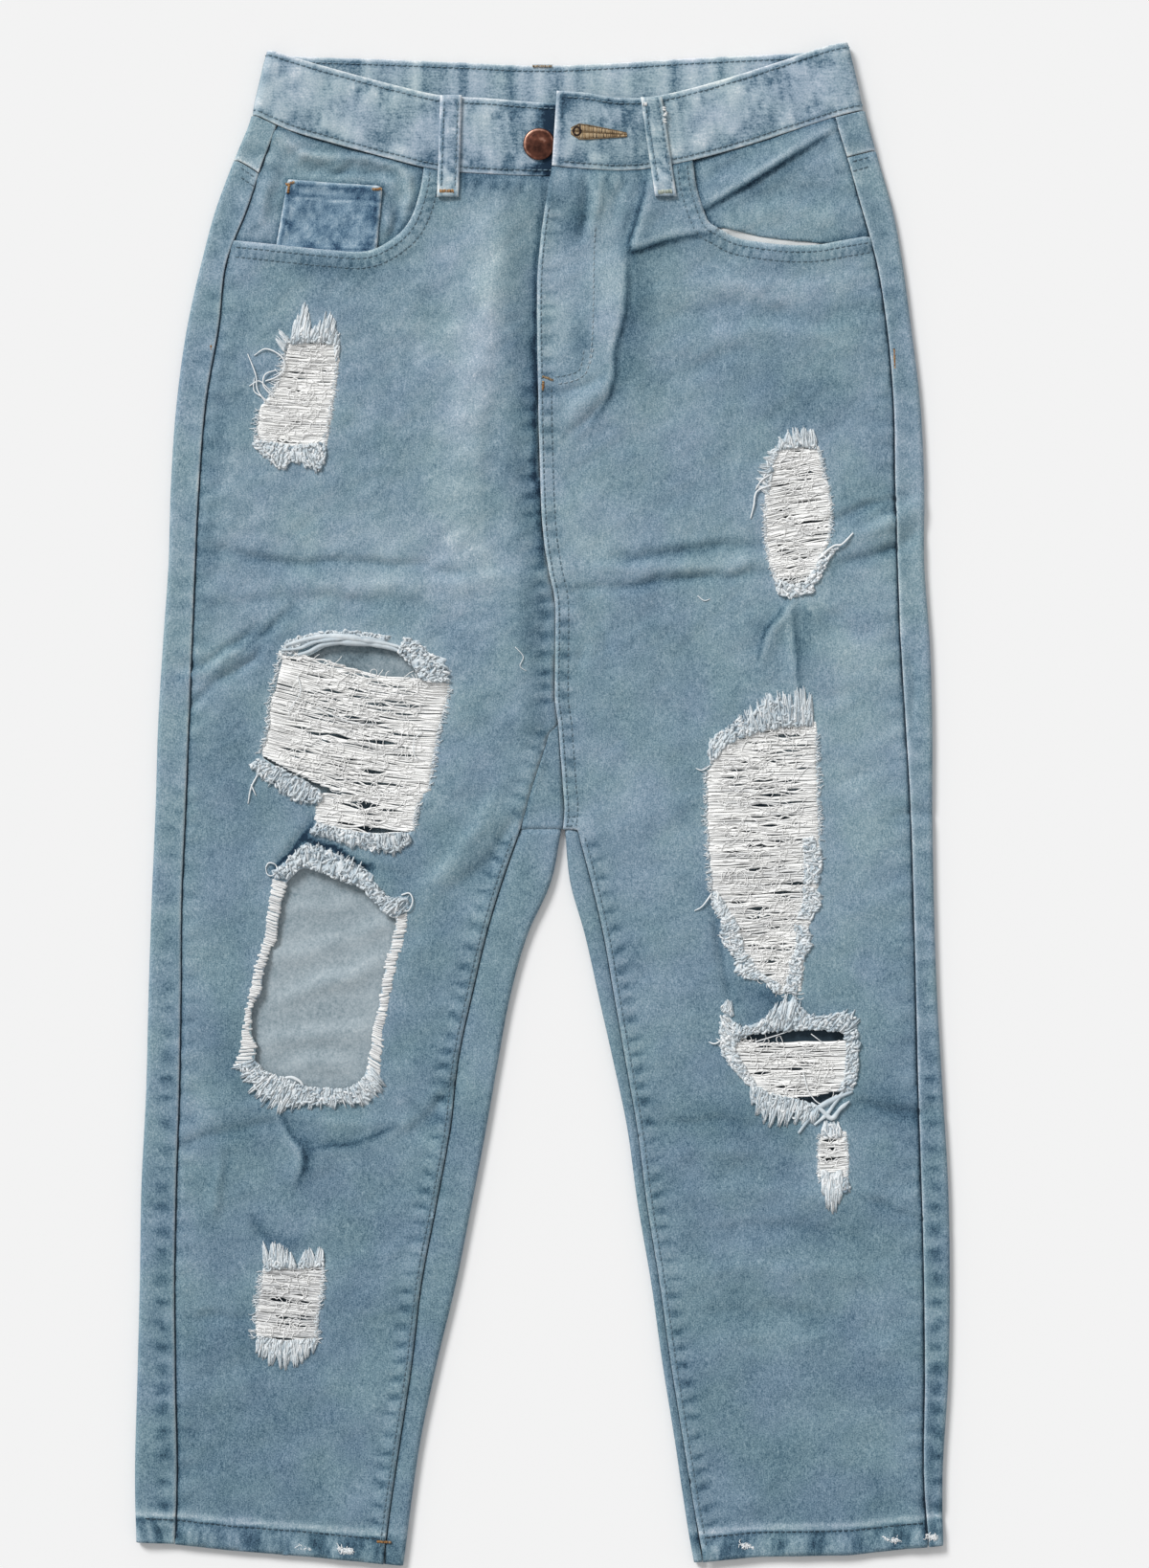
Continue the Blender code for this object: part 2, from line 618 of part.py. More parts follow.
def add_fronts(collection):
    """Each front panel, cut through at its rips, and the bared yarns that still bridge them."""
    for side, height in (("right", top_height), ("left", left_front_height)):
        outline = inset(front_outline(side), GAP / 2)
        add_sheet(collection, "front_" + side, outline, height, DENIM, INDIGO, list(RIPS[side].values()))
        for place, rip in RIPS[side].items():
            if (side, place) != OPEN_RIP:
                name = f"yarns_{place}_{side}"
                add_sheet(collection, name, inset(rip, GAP), height, YARN_LAYER, YARN_WHITE)


def facing_outline(side):
    """A pocket facing: along the band, down the outseam and back behind the mouth."""
    seam_x = float(line_x(side + "_outseam", OUTSEAM_TOP_Y[side]))
    return [*edge_between(side, FACING_INNER_X[side], seam_x),
            *outseam_run(side, SECTIONS[1], FACING_LOWEST_Y[side]), *FACING_CORNERS[side]]


def add_pockets(collection):
    """Facings behind the mouths, coin pocket, the lining that shows, and the back patch pockets."""
    for side, sign in SIGN.items():
        facing = inset(facing_outline(side), GAP)
        add_sheet(collection, "pocket_facing_" + side, facing, facing_height, DENIM, INDIGO)
        patch = [(sign * x, y) for x, y in BACK_POCKET]
        add_sheet(collection, "back_pocket_" + side, patch, pocket_height, DENIM, INDIGO)
    add_sheet(collection, "coin_pocket", COIN_POCKET, top_height, DENIM, INDIGO)
    add_sheet(collection, "pocket_lining_left", LINING, lining_height, LINING_CLOTH, LINING_WHITE)


def add_front_loop(collection, side):
    """A belt loop over the front of the band, sewn down above it and on the panel below."""
    panel = top_height if side == "right" else left_front_height
    clear = LOOP_CLOTH / 2 + 2 * GAP
    rows = []
    for share in LOOP_STATIONS:
        x, y = (start + share * (end - start) for start, end in zip(*LOOP_ENDS[side]))
        row = []
        for across in (-0.5, 0, 0.5):
            place = x + across * LOOP_WIDTH
            on_band = band_height(side, place) + BAND_CLOTH / 2
            on_panel = float(panel(place, y)) + DENIM / 2
            row.append((place, y, (on_band if share < LOOP_ON_BAND else on_panel) + clear))
        rows.append(row)
    grid = np.array(rows)
    cells = np.ones((len(rows) - 1, 2), bool)
    return add_loft(collection, "belt_loop_front_" + side, grid, cells, LOOP_CLOTH, INDIGO_PALE)


def add_back_loop(collection, name, x):
    """A belt loop under the back of the band, flat on the surface that the jeans lie on."""
    rows = [[(x + across * LOOP_WIDTH, BACK_LOOP_TOP - share * BACK_LOOP_LENGTH, DENIM / 2)
             for across in (-0.5, 0, 0.5)] for share in (0, 0.5, 1)]
    return add_loft(collection, name, np.array(rows), np.ones((2, 2), bool), DENIM, INDIGO_PALE)


def add_loops(collection):
    for side in LOOP_ENDS:
        add_front_loop(collection, side)
    for name, x in zip(("back_right", "centre_back", "back_left"), BACK_LOOP_X):
        add_back_loop(collection, "belt_loop_" + name, x)


def add_button(collection):
    """The tack button: a domed cap with a rolled rim on a short shank, turned about its own axis."""
    base = band_height("right", BUTTON_CENTRE[0]) + BAND_CLOTH / 2 + GAP
    mesh = bpy.data.meshes.new("button")
    mesh.from_pydata([(share * BUTTON_RADIUS * MM, 0, z * MM) for share, z in BUTTON_CAP],
                     [(i, i + 1) for i in range(len(BUTTON_CAP) - 1)], [])
    obj = bpy.data.objects.new("button", mesh)
    collection.objects.link(obj)
    obj.location = (BUTTON_CENTRE[0] * MM, BUTTON_CENTRE[1] * MM, base * MM)
    turned = obj.modifiers.new("turned", "SCREW")
    turned.steps = BUTTON_SIDES
    turned.render_steps = BUTTON_SIDES
    turned.use_merge_vertices = True
    turned.merge_threshold = 0.00001
    turned.use_smooth_shade = True
    paint(obj, COPPER, roughness=0.4, metallic=1.0)


def main():
    clear_scene()
    jeans = bpy.data.collections.new("ripped_jeans")
    bpy.context.scene.collection.children.link(jeans)
    for side in ("right", "left"):
        add_back(jeans, side)
        add_yoke(jeans, side)
    add_fronts(jeans)
    add_pockets(jeans)
    add_waistband(jeans)
    add_loops(jeans)
    add_button(jeans)


main()
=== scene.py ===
"""Looks for a pair of ripped five-pocket jeans, laid flat on their back with the fly unbuttoned.

Lengths are in millimetres until MM turns them to metres. +Y runs up to the waist, +Z away from the
floor, and right and left are the wearer's, so the right leg lies at -X. Heights of cloth are heights of
its middle, and each piece of cloth is given its thickness about that.
"""

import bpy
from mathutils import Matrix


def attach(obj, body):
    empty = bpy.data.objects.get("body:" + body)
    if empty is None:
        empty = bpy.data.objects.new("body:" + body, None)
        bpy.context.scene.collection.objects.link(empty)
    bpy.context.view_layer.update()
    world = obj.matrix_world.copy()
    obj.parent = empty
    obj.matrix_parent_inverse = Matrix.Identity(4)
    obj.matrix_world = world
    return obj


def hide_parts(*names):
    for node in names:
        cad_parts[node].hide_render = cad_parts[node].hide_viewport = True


bl_info = {
    "name": "Ripped Jeans",
    "version": (1, 0, 0),
    "blender": (4, 5, 0),
    "location": "3D View > Sidebar > Jeans",
    "description": "Builds denim panels, bared yarns, fringes and stitches round a jeans frame",
    "category": "Object",
}

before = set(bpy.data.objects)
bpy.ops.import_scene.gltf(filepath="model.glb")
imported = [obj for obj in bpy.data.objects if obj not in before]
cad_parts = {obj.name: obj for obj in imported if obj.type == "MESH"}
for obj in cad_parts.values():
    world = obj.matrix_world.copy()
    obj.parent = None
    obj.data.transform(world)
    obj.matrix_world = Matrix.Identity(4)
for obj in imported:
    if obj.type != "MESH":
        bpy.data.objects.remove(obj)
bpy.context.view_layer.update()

import functools
import math

import bpy
import numpy as np

MM = 0.001
SIDES = ("right", "left")

# The stage: half the floor's width in millimetres, the lamp's height over the horizon and its turn from +X,
# the sky's level where the camera sees it, and in metres the view's middle and its length at the floor
FLOOR_REACH = 15000
LAMP_RISE, LAMP_TURN = math.radians(38), math.radians(128)
SKY_SEEN = 0.92
VIEW_CENTRE = (0.0201, 0.0123)
VIEW_LENGTH = 0.9828

# Right and left are mirror images: this turns the sense of a length along X
SIGN = {"right": 1, "left": -1}

# Thicknesses and clearances
DENIM = 1.2
BAND_CLOTH = 2.4
LOOP_CLOTH = 1.6
GAP = 0.3
STACK = DENIM + GAP
FOLD_RADIUS = 2.4
LOOP_WIDTH = 13

# Places of the loops and the button
LOOP_ENDS = {"right": ((-57, 442.5), (-59, 379)), "left": ((68, 441), (77, 379))}
BACK_LOOP_TOP = 463
BACK_LOOP_LENGTH = 53
BACK_LOOP_X = (-102, 0, 104)
BUTTON_CENTRE = (-2, 412)
BUTTON_RADIUS = 10

# y, then x of: right side fold, right outseam, left outseam, left side fold
SIDE_LINES = np.array((
    (476, -171, -153, 171, 192), (452, -179, -160, 178, 198), (430, -182, -164, 182.5, 202.5),
    (400, -194, -175, 191.5, 211), (370, -205, -185, 200, 219.5), (340, -213, -197, 208.5, 225),
    (300, -222, -202, 215, 230.5), (250, -229, -210.5, 219.5, 236.5), (200, -232.5, -214.5, 220.5, 239),
    (150, -234, -217, 222, 239), (100, -237.5, -219, 224, 242.5), (50, -240.5, -221, 227, 244),
    (0, -242, -223, 230, 244), (-60, -244.5, -225.5, 232, 245), (-120, -246.5, -226, 233.5, 247),
    (-180, -248, -227, 235, 250.5), (-240, -251, -229, 237, 254), (-300, -252, -230, 238.5, 255),
    (-360, -253.5, -229.5, 239, 254), (-420, -255, -228.5, 238.5, 250.5), (-476, -254, -230, 242, 251),
))

# y, then x of: right inseam, right inner fold, left inner fold, left inseam
INNER_LINES = np.array((
    (-16, -14, 12, 14, 22), (-50, -26, 5, 17.5, 31), (-80, -35, -8.5, 26, 38), (-120, -44.5, -20, 35, 45),
    (-160, -53, -27.5, 44, 52), (-200, -57.5, -34.5, 52.5, 59), (-250, -66.5, -44, 59.5, 65.5),
    (-300, -76, -54, 68, 73.5), (-350, -82, -66, 75, 80.5), (-400, -89.5, -76.5, 83, 88.5),
    (-440, -95.5, -82.5, 89, 95), (-476, -100, -88, 96, 101.5),
))
LINE_COLUMNS = {
    "right_fold": (SIDE_LINES, 1), "right_outseam": (SIDE_LINES, 2),
    "left_outseam": (SIDE_LINES, 3), "left_fold": (SIDE_LINES, 4),
    "right_inseam": (INNER_LINES, 1), "right_inner": (INNER_LINES, 2),
    "left_inner": (INNER_LINES, 3), "left_inseam": (INNER_LINES, 4),
}

# Where the crotch seams meet, and the right inseam above that, where the back panel's point lies on top
CROTCH = (13, -16)
FLAP_INSEAM = ((-16, -14), (10, -7), (50, 6))
FLAP_TOP_Y = 50
YOKE_CENTRE_Y = 363

# The line down the middle of the front, from the band to the crotch
CENTRE_LINE = ((6, 398), (2, 374), (-1, 352), (-3, 326), (-3, 290), (-2.4, 255), (-2, 231), (0, 176),
               (4, 146), (8, 126), (8, 90), (8, 64), (10, 50), (13, 10), (14, -3), (13, -16))

# The front of the waistband, from the middle to the side: top x, top y, bottom x, bottom y
BAND_FRONT = {
    "right": ((36, 440, 36, 391), (7, 438, 6, 392), (-33, 441, -30, 393), (-64, 443, -66, 396),
              (-95, 450, -99, 404), (-125, 458, -132, 413), (-150, 465, -159, 421)),
    "left": ((9, 445, 6, 398), (27, 444, 27, 396), (46, 441, 48, 395), (66, 441.5, 70, 397),
             (90, 446.5, 96, 402.5), (120, 455, 127, 411), (150, 464.5, 158, 421), (174, 472.5, 183, 429)),
}
# The back of the waistband: x, top y, bottom y. At each side fold: top y, bottom y
BAND_BACK = ((-157, 468, 423.3), (-100, 466, 421), (-50, 464, 419), (0, 462, 417), (50, 464, 420),
             (100, 467, 423), (176, 471, 427.5))
BAND_FOLDS = {"right": (471, 430), "left": (476, 433)}
BAND_MIDDLE_Y = 420
BAND_WIDTH = 46
# Where the cloth at the side rises by a layer to the band
BAND_STEP = (404, 416)
# How far the buttonhole tab rises over the button and the underlap: x, rise
TAB_RISE = ((6, 4.6), (18, 3.4), (46, 2.7), (70, 1.0), (90, 0))

# The yokes' lower seam: y at the outseam, at the side fold and at the middle of the back
YOKE_SEAM = {"right": (394, 402, YOKE_CENTRE_Y), "left": (404, 408, YOKE_CENTRE_Y)}
OUTSEAM_TOP_Y = {"right": 424, "left": 427}

# The hems' lower edges
HEM = {
    "right": ((-256, -462), (-231, -463), (-195, -467), (-146, -471), (-84, -477)),
    "left": ((92, -475), (134, -471), (193, -470), (228, -466), (252, -464)),
}
HEM_DEPTH = 15.3

# The front pockets' mouths, from the outseam to the band
MOUTH_OUTSEAM_Y = {"right": 352, "left": 355}
MOUTH = {
    "right": ((-165, 349), (-135, 346), (-110, 345), (-92, 354), (-82, 366), (-76, 384)),
    "left": ((188, 352), (170, 349), (152, 349), (134, 351), (120, 354), (111, 359), (105, 362),
             (101.5, 368), (96, 386)),
}
MOUTH_BAND_X = {"right": -74, "left": 94}

# The rips' edges
RIPS = {
    "right": {
        "hip": ((-157, 287), (-150, 289), (-131, 289), (-128.5, 278), (-130.5, 263), (-133.5, 242),
                (-136.5, 224), (-174, 224), (-177, 233), (-175, 247), (-167.5, 256), (-163, 268),
                (-159, 280)),
        "thigh": ((-162, 92), (-146, 92), (-136, 98), (-115, 101), (-95, 99), (-86, 92), (-76, 80), (-60, 77),
                  (-59, 67), (-63, 54), (-66, 42), (-69, 24), (-71, 10), (-78, 2), (-80, -6), (-82, -18),
                  (-105, -21), (-125, -19), (-141, -14), (-140, -4), (-139, 4), (-144, 9), (-150, 14),
                  (-166, 23), (-175, 29), (-175, 34), (-171, 46), (-170, 64), (-167, 70), (-164, 84)),
        "knee": ((-161, -51), (-158, -47), (-150, -40), (-140, -42), (-125, -48), (-114, -52), (-106, -60),
                 (-97, -69), (-91, -72), (-92, -79), (-96, -94), (-100, -113), (-102, -126), (-105, -140),
                 (-107, -154), (-110, -167), (-114, -175), (-124, -179), (-134, -179), (-149, -178),
                 (-161, -173), (-172, -169), (-180, -163), (-179, -150), (-182, -145), (-182, -133),
                 (-181, -123), (-176, -120), (-175, -108), (-171, -91), (-167, -86), (-164, -66)),
        "shin": ((-173, -291), (-155, -291), (-138, -289), (-139, -303), (-142, -321), (-142, -335),
                 (-160, -337), (-177, -334), (-178, -320), (-175.5, -306)),
    },
    "left": {
        "thigh": ((148, 222), (160, 225), (171, 223), (174, 208), (177, 200), (179, 188), (178, 165),
                  (172, 152), (168, 138), (156, 134), (148, 136), (144, 148), (141, 162), (140, 182),
                  (142, 206)),
        "long": ((110, 29), (117, 37), (124.5, 41.5), (140, 47), (155, 49), (169, 50.5), (170, 41), (171, 5),
                 (172, -23), (171, -52), (167, -70), (162, -90), (160, -118), (150, -118), (137, -108),
                 (128, -96), (122, -82), (118, -70), (108, -57), (106, -41), (104, -8), (104, 20)),
        "knee": ((127, -144), (150, -141), (170, -140.5), (190, -142), (191, -150), (191, -170), (187, -181),
                 (176, -190), (160, -185), (140, -182), (132, -174), (123, -162), (118, -150)),
        "calf": ((177, -205), (188, -205), (190, -222), (189, -234), (182, -238), (174, -234), (174, -213)),
    },
}

# Pieces that lie on or under a panel
COIN_POCKET = ((-159, 390), (-100, 386), (-104, 343), (-167, 344))
FLY_UNDERLAP = ((21, 391.5), (20, 300), (13, 275), (-2.5, 262))
FACING_INNER_X = {"right": -62, "left": 86}
FACING_LOWEST_Y = {"right": 338, "left": 354}
FACING_CORNERS = {"right": ((-105, 334), (-68, 352)),
                  "left": ((200, 350), (176, 350), (165, 351.5), (150, 352.6), (136, 354.5), (122, 358),
                           (112, 360), (98, 352))}
LINING = ((108, 372), (195, 367), (197, 347.5), (108, 347))
BACK_POCKET = ((-176, 331), (-46, 325), (-50, 219), (-112, 200), (-171, 223))

# Soft creases of the front: height (troughs below 0), half width, and the line that each follows
CREASES = {
    "right": (
        (-1.5, 4, ((-211, 160), (-169, 151), (-130, 152), (-88, 150), (-46, 144))),
        (0.8, 6, ((-166, 140), (-124, 139), (-70, 136), (-40, 141), (-4, 145))),
        (-0.9, 7, ((-211, 120), (-184, 127), (-142, 130), (-100, 127), (-58, 120))),
        (1.6, 17, ((-24, 385), (-33, 324), (-40, 264), (-43, 204), (-46, 156))),
        (-1.6, 3.5, ((-220, 60), (-199, 81), (-181, 90), (-169, 108))),
        (-1.5, 3.5, ((-217, 84), (-196, 100), (-175, 111))),
        (1.2, 4, ((-226, 75), (-200, 92), (-178, 101))),
        (-1.0, 7, ((-58, -54), (-34, -36), (-13, -6))),
        (1.2, 9, ((-80, -60), (-50, -30), (-24, 10))),
        (-1.2, 5, ((-88, -207), (-70, -195), (-53, -168))),
        (-1.0, 4, ((-226, -212), (-190, -203), (-165, -200))),
        (0.8, 6, ((-216, -198), (-180, -190), (-130, -199), (-84, -196))),
        (1.3, 4, ((-202, -218), (-203, -238), (-204, -256))),
        (-1.0, 3.5, ((-139, -215), (-117, -212), (-92, -202))),
        (-1.2, 3.5, ((-181, -258), (-177, -268), (-169, -274))),
        (-0.8, 4, ((-222, -323), (-202, -321), (-183, -322))),
        (-1.6, 2.4, ((-141, -8), (-153, -23), (-165, -40))),
        (-1.4, 2.4, ((-149, -25), (-133, -28), (-103, -41), (-82, -46))),
        (-1.0, 4, ((-82, -186), (-70, -204), (-55, -216))),
        (-0.9, 4, ((-238, 92), (-226, 84), (-217, 90))),
        (-1.3, 3, ((-190, 94), (-174, 106), (-160, 118), (-152, 126))),
        (-1.2, 5, ((-148, 402), (-128, 396), (-116, 400), (-96, 392))),
        (1.2, 5, ((-150, 394), (-120, 392), (-94, 386), (-88, 376))),
        (-1.2, 4, ((-94, 372), (-88, 364), (-92, 358))),
        (0.9, 6, ((-178, 374), (-172, 396), (-164, 410))),
    ),
    "left": (
        (-1.5, 4, ((15, 136), (44, 137), (80, 141), (116, 144), (138, 146))),
        (0.8, 4.5, ((11, 148), (56, 150), (104, 151), (138, 153))),
        (-1.5, 4, ((44, 155), (80, 158), (116, 161), (140, 165))),
        (-1.6, 4, ((180, 177), (203, 187), (237, 199))),
        (-1.5, 4, ((183, 151), (212, 159), (240, 175))),
        (1.5, 5, ((182, 164), (209, 172), (238, 187))),
        (-0.8, 2.5, ((143, 118), (140, 106), (141, 96))),
        (-0.8, 3, ((171, 117), (176, 112), (186, 107))),
        (-1.0, 5, ((168, 124), (188, 111), (207, 103))),
        (-1.6, 2.5, ((28, 393), (27, 375), (25, 352))),
        (1.2, 3.5, ((34, 392), (33, 372), (31, 350))),
        (-1.1, 3.5, ((53, 390), (47, 375), (44, 362))),
        (-1.2, 2.5, ((7, 257), (22, 259), (37, 266))),
        (-1.3, 3, ((18, 230), (27, 242), (44, 258))),
        (1.2, 4, ((14, 240), (24, 250), (40, 262))),
        (1.0, 8, ((74, 322), (116, 326), (158, 322), (200, 329))),
        (-1.0, 8, ((80, 305), (128, 309), (170, 305), (209, 311))),
        (0.9, 8, ((92, 290), (140, 296), (188, 292))),
        (-0.9, 9, ((68, 264), (104, 276), (140, 280))),
        (-1.2, 4, ((24, 130), (33, 120), (44, 96))),
        (-1.0, 4, ((17, 112), (27, 98), (24, 84))),
        (1.0, 5, ((14, 122), (24, 108), (34, 92))),
        (-1.6, 3, ((103, -52), (113, -90), (121, -126))),
        (-0.7, 4, ((74, -200), (104, -197), (134, -203))),
        (0.6, 6, ((77, -216), (110, -217), (140, -220))),
        (-1.4, 4, ((196, -186), (224, -191), (251, -192))),
        (-0.9, 4, ((189, -240), (218, -254), (251, -262))),
        (0.9, 8, ((80, -246), (128, -240), (170, -246), (240, -240))),
        (-0.8, 8, ((92, -267), (140, -264), (200, -270))),
        (0.8, 8, ((98, -294), (152, -290), (212, -296))),
        (-0.7, 8, ((92, -320), (140, -316), (200, -322))),
        (0.7, 8, ((104, -338), (158, -334), (218, -339))),
        (-1.2, 5, ((218, -9), (235, -6), (246, -5))),
        (-1.0, 5, ((218, 120), (230, 90), (233, 48))),
        (-1.8, 5, ((242, -438), (247, -448), (252, -452))),
    ),
}

# Folds that lie over what is on their right: height, how far in they stay raised, and the overlapping edge
LAPS = {
    "right": (
        (2.4, 7, ((-153, -236), (-149.6, -230), (-148.6, -222), (-150, -215), (-158, -206), (-163, -194))),
        (1.6, 6, ((-90, -200), (-104, -207.5), (-117.5, -212.5), (-142, -215.5))),
    ),
    "left": (
        (2.5, 7, ((155, 129), (149, 119), (141, 110), (137.6, 103), (136, 96), (135.4, 90))),
        (1.8, 6, ((161, 71), (159.6, 86), (158.4, 101), (157.4, 112), (157, 121))),
        (1.4, 5, ((162, 125.5), (165, 120.5), (169, 115))),
        (3.4, 20, ((66, 396), (63.8, 382), (57.6, 360), (54, 349), (56, 344.5), (63, 346.5), (72.5, 350),
                   (88, 354), (105, 356))),
        (2.6, 16, ((31, 238), (37, 246), (42, 254), (45.5, 268), (45.5, 283), (49, 296), (52, 308),
                   (53, 321), (53, 336))),
    ),
}
FACING_LAPS = {
    "right": (),
    "left": ((3.6, 15, ((100, 370), (116, 380), (130, 388), (152, 402), (176, 417))),),
}
FACING_CREASES = {
    "right": (
        (2.4, 2.6, ((-172, 420), (-160, 414), (-149, 408), (-134, 406))),
        (2.8, 2.4, ((-149, 408), (-128, 406), (-106, 404), (-90, 399), (-82, 390), (-82, 381), (-88, 364))),
        (-2.4, 3.0, ((-152, 399), (-136, 394), (-120, 395), (-106, 392), (-98, 384))),
        (-1.4, 3.0, ((-174, 402), (-164, 394), (-168, 378))),
        (1.4, 3.0, ((-181, 398), (-174, 386), (-176, 366))),
        (-1.4, 2.4, ((-93, 382), (-90, 368), (-96, 356))),
        (1.1, 2.4, ((-97, 374), (-96, 362), (-101, 354))),
        (-1.2, 3.0, ((-150, 411), (-130, 407), (-110, 405), (-92, 400))),
    ),
    "left": (
        (0.9, 6, ((120, 366), (150, 370), (180, 368), (205, 372))),
        (-0.9, 6, ((130, 378), (160, 384), (196, 384))),
        (0.8, 5, ((186, 420), (190, 400), (196, 380))),
        (-0.8, 4, ((108, 396), (118, 400), (132, 406))),
    ),
}

# Worn and unworn areas, with painted shade along creases and painted shadow beside raised edges and folds:
# shade (paler above 0), half width, and the line that each follows
SHADES = {
    "right": (
        (0.13, 22, ((-30, 385), (-36, 324), (-42, 264), (-46, 200))),
        # Painted shade on the slope that rolls down under the fly, then painted shadow beside the fly's edge
        (-0.16, 9, ((-8, 330), (-8, 250), (-6, 180), (-2, 110), (0, 50))),
        (-0.5, 2.0, ((1, 398), (-2.5, 350), (-4.5, 326), (-4.5, 290), (-4.2, 255), (-3.6, 231),
                     (-1.6, 176), (2, 146))),
        (0.05, 10, ((-160, 141), (-110, 139), (-60, 138), (-20, 142))),
        (-0.06, 10, ((-205, 158), (-150, 153), (-90, 151))),
        (-0.05, 24, ((-200, 60), (-190, 10), (-195, -40))),
        (0.01, 30, ((-150, 190), (-100, 180))),
        (0.07, 20, ((-110, 110), (-70, 90), (-40, 30))),
        (-0.18, 5, ((-62, 396), (-40, 388), (-10, 388))),
        (-0.04, 14, ((-190, -150), (-190, -230))),
        # Painted shadow in the folds between the thigh and knee rips, then painted shade in two creases below
        (-0.9, 2.4, ((-149, -21), (-134, -28), (-120, -33), (-108, -38))),
        (-0.7, 1.9, ((-166, -40), (-156, -29), (-147, -17), (-142, -9))),
        (-0.13, 3, ((-141, -214), (-117, -212), (-90, -201))),
        (-0.16, 2.2, ((-148, -210), (-146.6, -221), (-149, -231))),
        (0.12, 22, ((-118, 172), (-70, 162), (-30, 166))),
        (-0.06, 6, ((-150, -195), (-144, -222), (-148, -246))),
        (-0.12, 5, ((-182, -257), (-168, -274), (-146, -272))),
        (-0.10, 8, ((-190, 300), (-205, 200), (-212, 100))),
        (0.05, 20, ((-190, 180), (-196, 120), (-200, 70))),
        (-0.04, 40, ((-170, -310), (-172, -380), (-176, -450))),
        (-0.10, 4, ((-190, 94), (-174, 106), (-160, 118), (-152, 126))),
        (0.08, 12, ((-215, -60), (-218, -200), (-222, -330))),
        (-0.16, 7, ((-165, 340), (-130, 336), (-100, 336))),
    ),
    "left": (
        (0.07, 20, ((30, 210), (34, 160), (30, 110))),
        (0.12, 12, ((12, 340), (14, 290), (22, 262))),
        (0.15, 15, ((42, 380), (44, 330), (40, 280))),
        (-0.08, 36, ((70, 150), (76, 110), (70, 60))),
        (-0.2, 4, ((40, 391), (40, 386), (40, 381))),
        (-0.22, 6, ((22, 388), (22, 366), (20, 350))),
        (-0.14, 10, ((64, 330), (60, 300), (56, 270))),
        (0.08, 12, ((100, 322), (150, 324), (200, 322))),
        (-0.10, 16, ((120, 270), (160, 260), (190, 250))),
        (-0.13, 6, ((46, 156), (100, 161), (140, 165))),
        (0.09, 5, ((50, 150), (100, 154), (140, 157))),
        (-0.08, 4, ((50, 139), (90, 142), (138, 146))),
        (-0.10, 5, ((159, 118), (164, 108), (161, 84))),
        (-0.08, 6, ((185, 176), (215, 188), (240, 198))),
        (-0.07, 6, ((185, 152), (215, 160), (240, 172))),
        (-0.08, 5, ((170, 118), (180, 113))),
        (-0.06, 8, ((134, 92), (144, 84), (156, 80))),
        (-0.20, 6, ((24, 304), (27, 288), (21, 274))),
        (-0.16, 4, ((27, 384), (25, 370), (23, 357))),
        (-0.20, 10, ((132, -114), (150, -122), (140, -130))),
        (-0.06, 14, ((80, -190), (110, -196), (140, -204))),
        (-0.14, 10, ((205, -180), (230, -192), (250, -194))),
        (-0.05, 8, ((200, -246), (225, -256), (250, -262))),
        (0.05, 34, ((70, 110), (66, 30), (74, -60), (86, -170))),
        (0.10, 30, ((200, 130), (205, 20), (206, -90))),
        (-0.26, 5, ((243, -440), (249, -452), (250, -460))),
    ),
}


def smooth_step(value, low, high):
    """0 at low and below, 1 at high and above: three times the share squared less twice its cube."""
    share = np.clip((np.asarray(value, float) - low) / (high - low), 0, 1)
    return share * share * (3 - 2 * share)


def line_x(name, y):
    """x of a fold or a seam at height y: a cubic through the rows of its table, level with its neighbours."""
    table, column = LINE_COLUMNS[name]
    order = np.argsort(table[:, 0])
    at, value = table[order, 0], table[order, column]
    slope = np.gradient(value, at)
    y = np.clip(np.asarray(y, float), at[0], at[-1])
    row = np.clip(np.searchsorted(at, y) - 1, 0, len(at) - 2)
    step = at[row + 1] - at[row]
    s = (y - at[row]) / step
    return ((1 + 2 * s) * (1 - s) ** 2 * value[row] + s * (1 - s) ** 2 * step * slope[row]
            + s * s * (3 - 2 * s) * value[row + 1] - s * s * (1 - s) * step * slope[row + 1])


def smooth_path(points, step):
    """A curve through points, in places a step apart: a cubic for each span, whose slopes join up."""
    points = np.asarray(points, float)
    ends = np.vstack((2 * points[0] - points[1], points, 2 * points[-1] - points[-2]))
    runs = []
    for before, start, end, after in zip(ends, ends[1:], ends[2:], ends[3:]):
        count = max(int(np.linalg.norm(end - start) / step), 1)
        s = np.arange(count)[:, None] / count
        leave, arrive = (end - before) / 2, (after - start) / 2
        runs.append((1 + 2 * s) * (1 - s) ** 2 * start + s * (1 - s) ** 2 * leave
                    + s * s * (3 - 2 * s) * end - s * s * (1 - s) * arrive)
    return np.vstack((*runs, points[-1:]))


def lengths(path):
    """The running length at each place of a path."""
    return np.concatenate(([0], np.cumsum(np.linalg.norm(np.diff(path, axis=0), axis=1))))


def read_path(path, run, at):
    """The places on a path where run, its length or share so far, is at."""
    return np.stack([np.interp(at, run, column) for column in path.T], axis=-1)


def spaced(path, step):
    """Places at an even step along a path, worked out from its running length."""
    path = np.asarray(path, float)
    run = lengths(path)
    at = np.linspace(0, run[-1], max(int(round(run[-1] / step)), 1) + 1)
    return read_path(path, run, at)


def beside(path, distance):
    """A path moved to its left by a distance, along the mean of its neighbours' normals."""
    path = np.asarray(path, float)
    along = np.gradient(path[:, :2], axis=0)
    along /= np.linalg.norm(along, axis=1, keepdims=True)
    moved = path.copy()
    moved[:, :2] += distance * np.column_stack((-along[:, 1], along[:, 0]))
    return moved


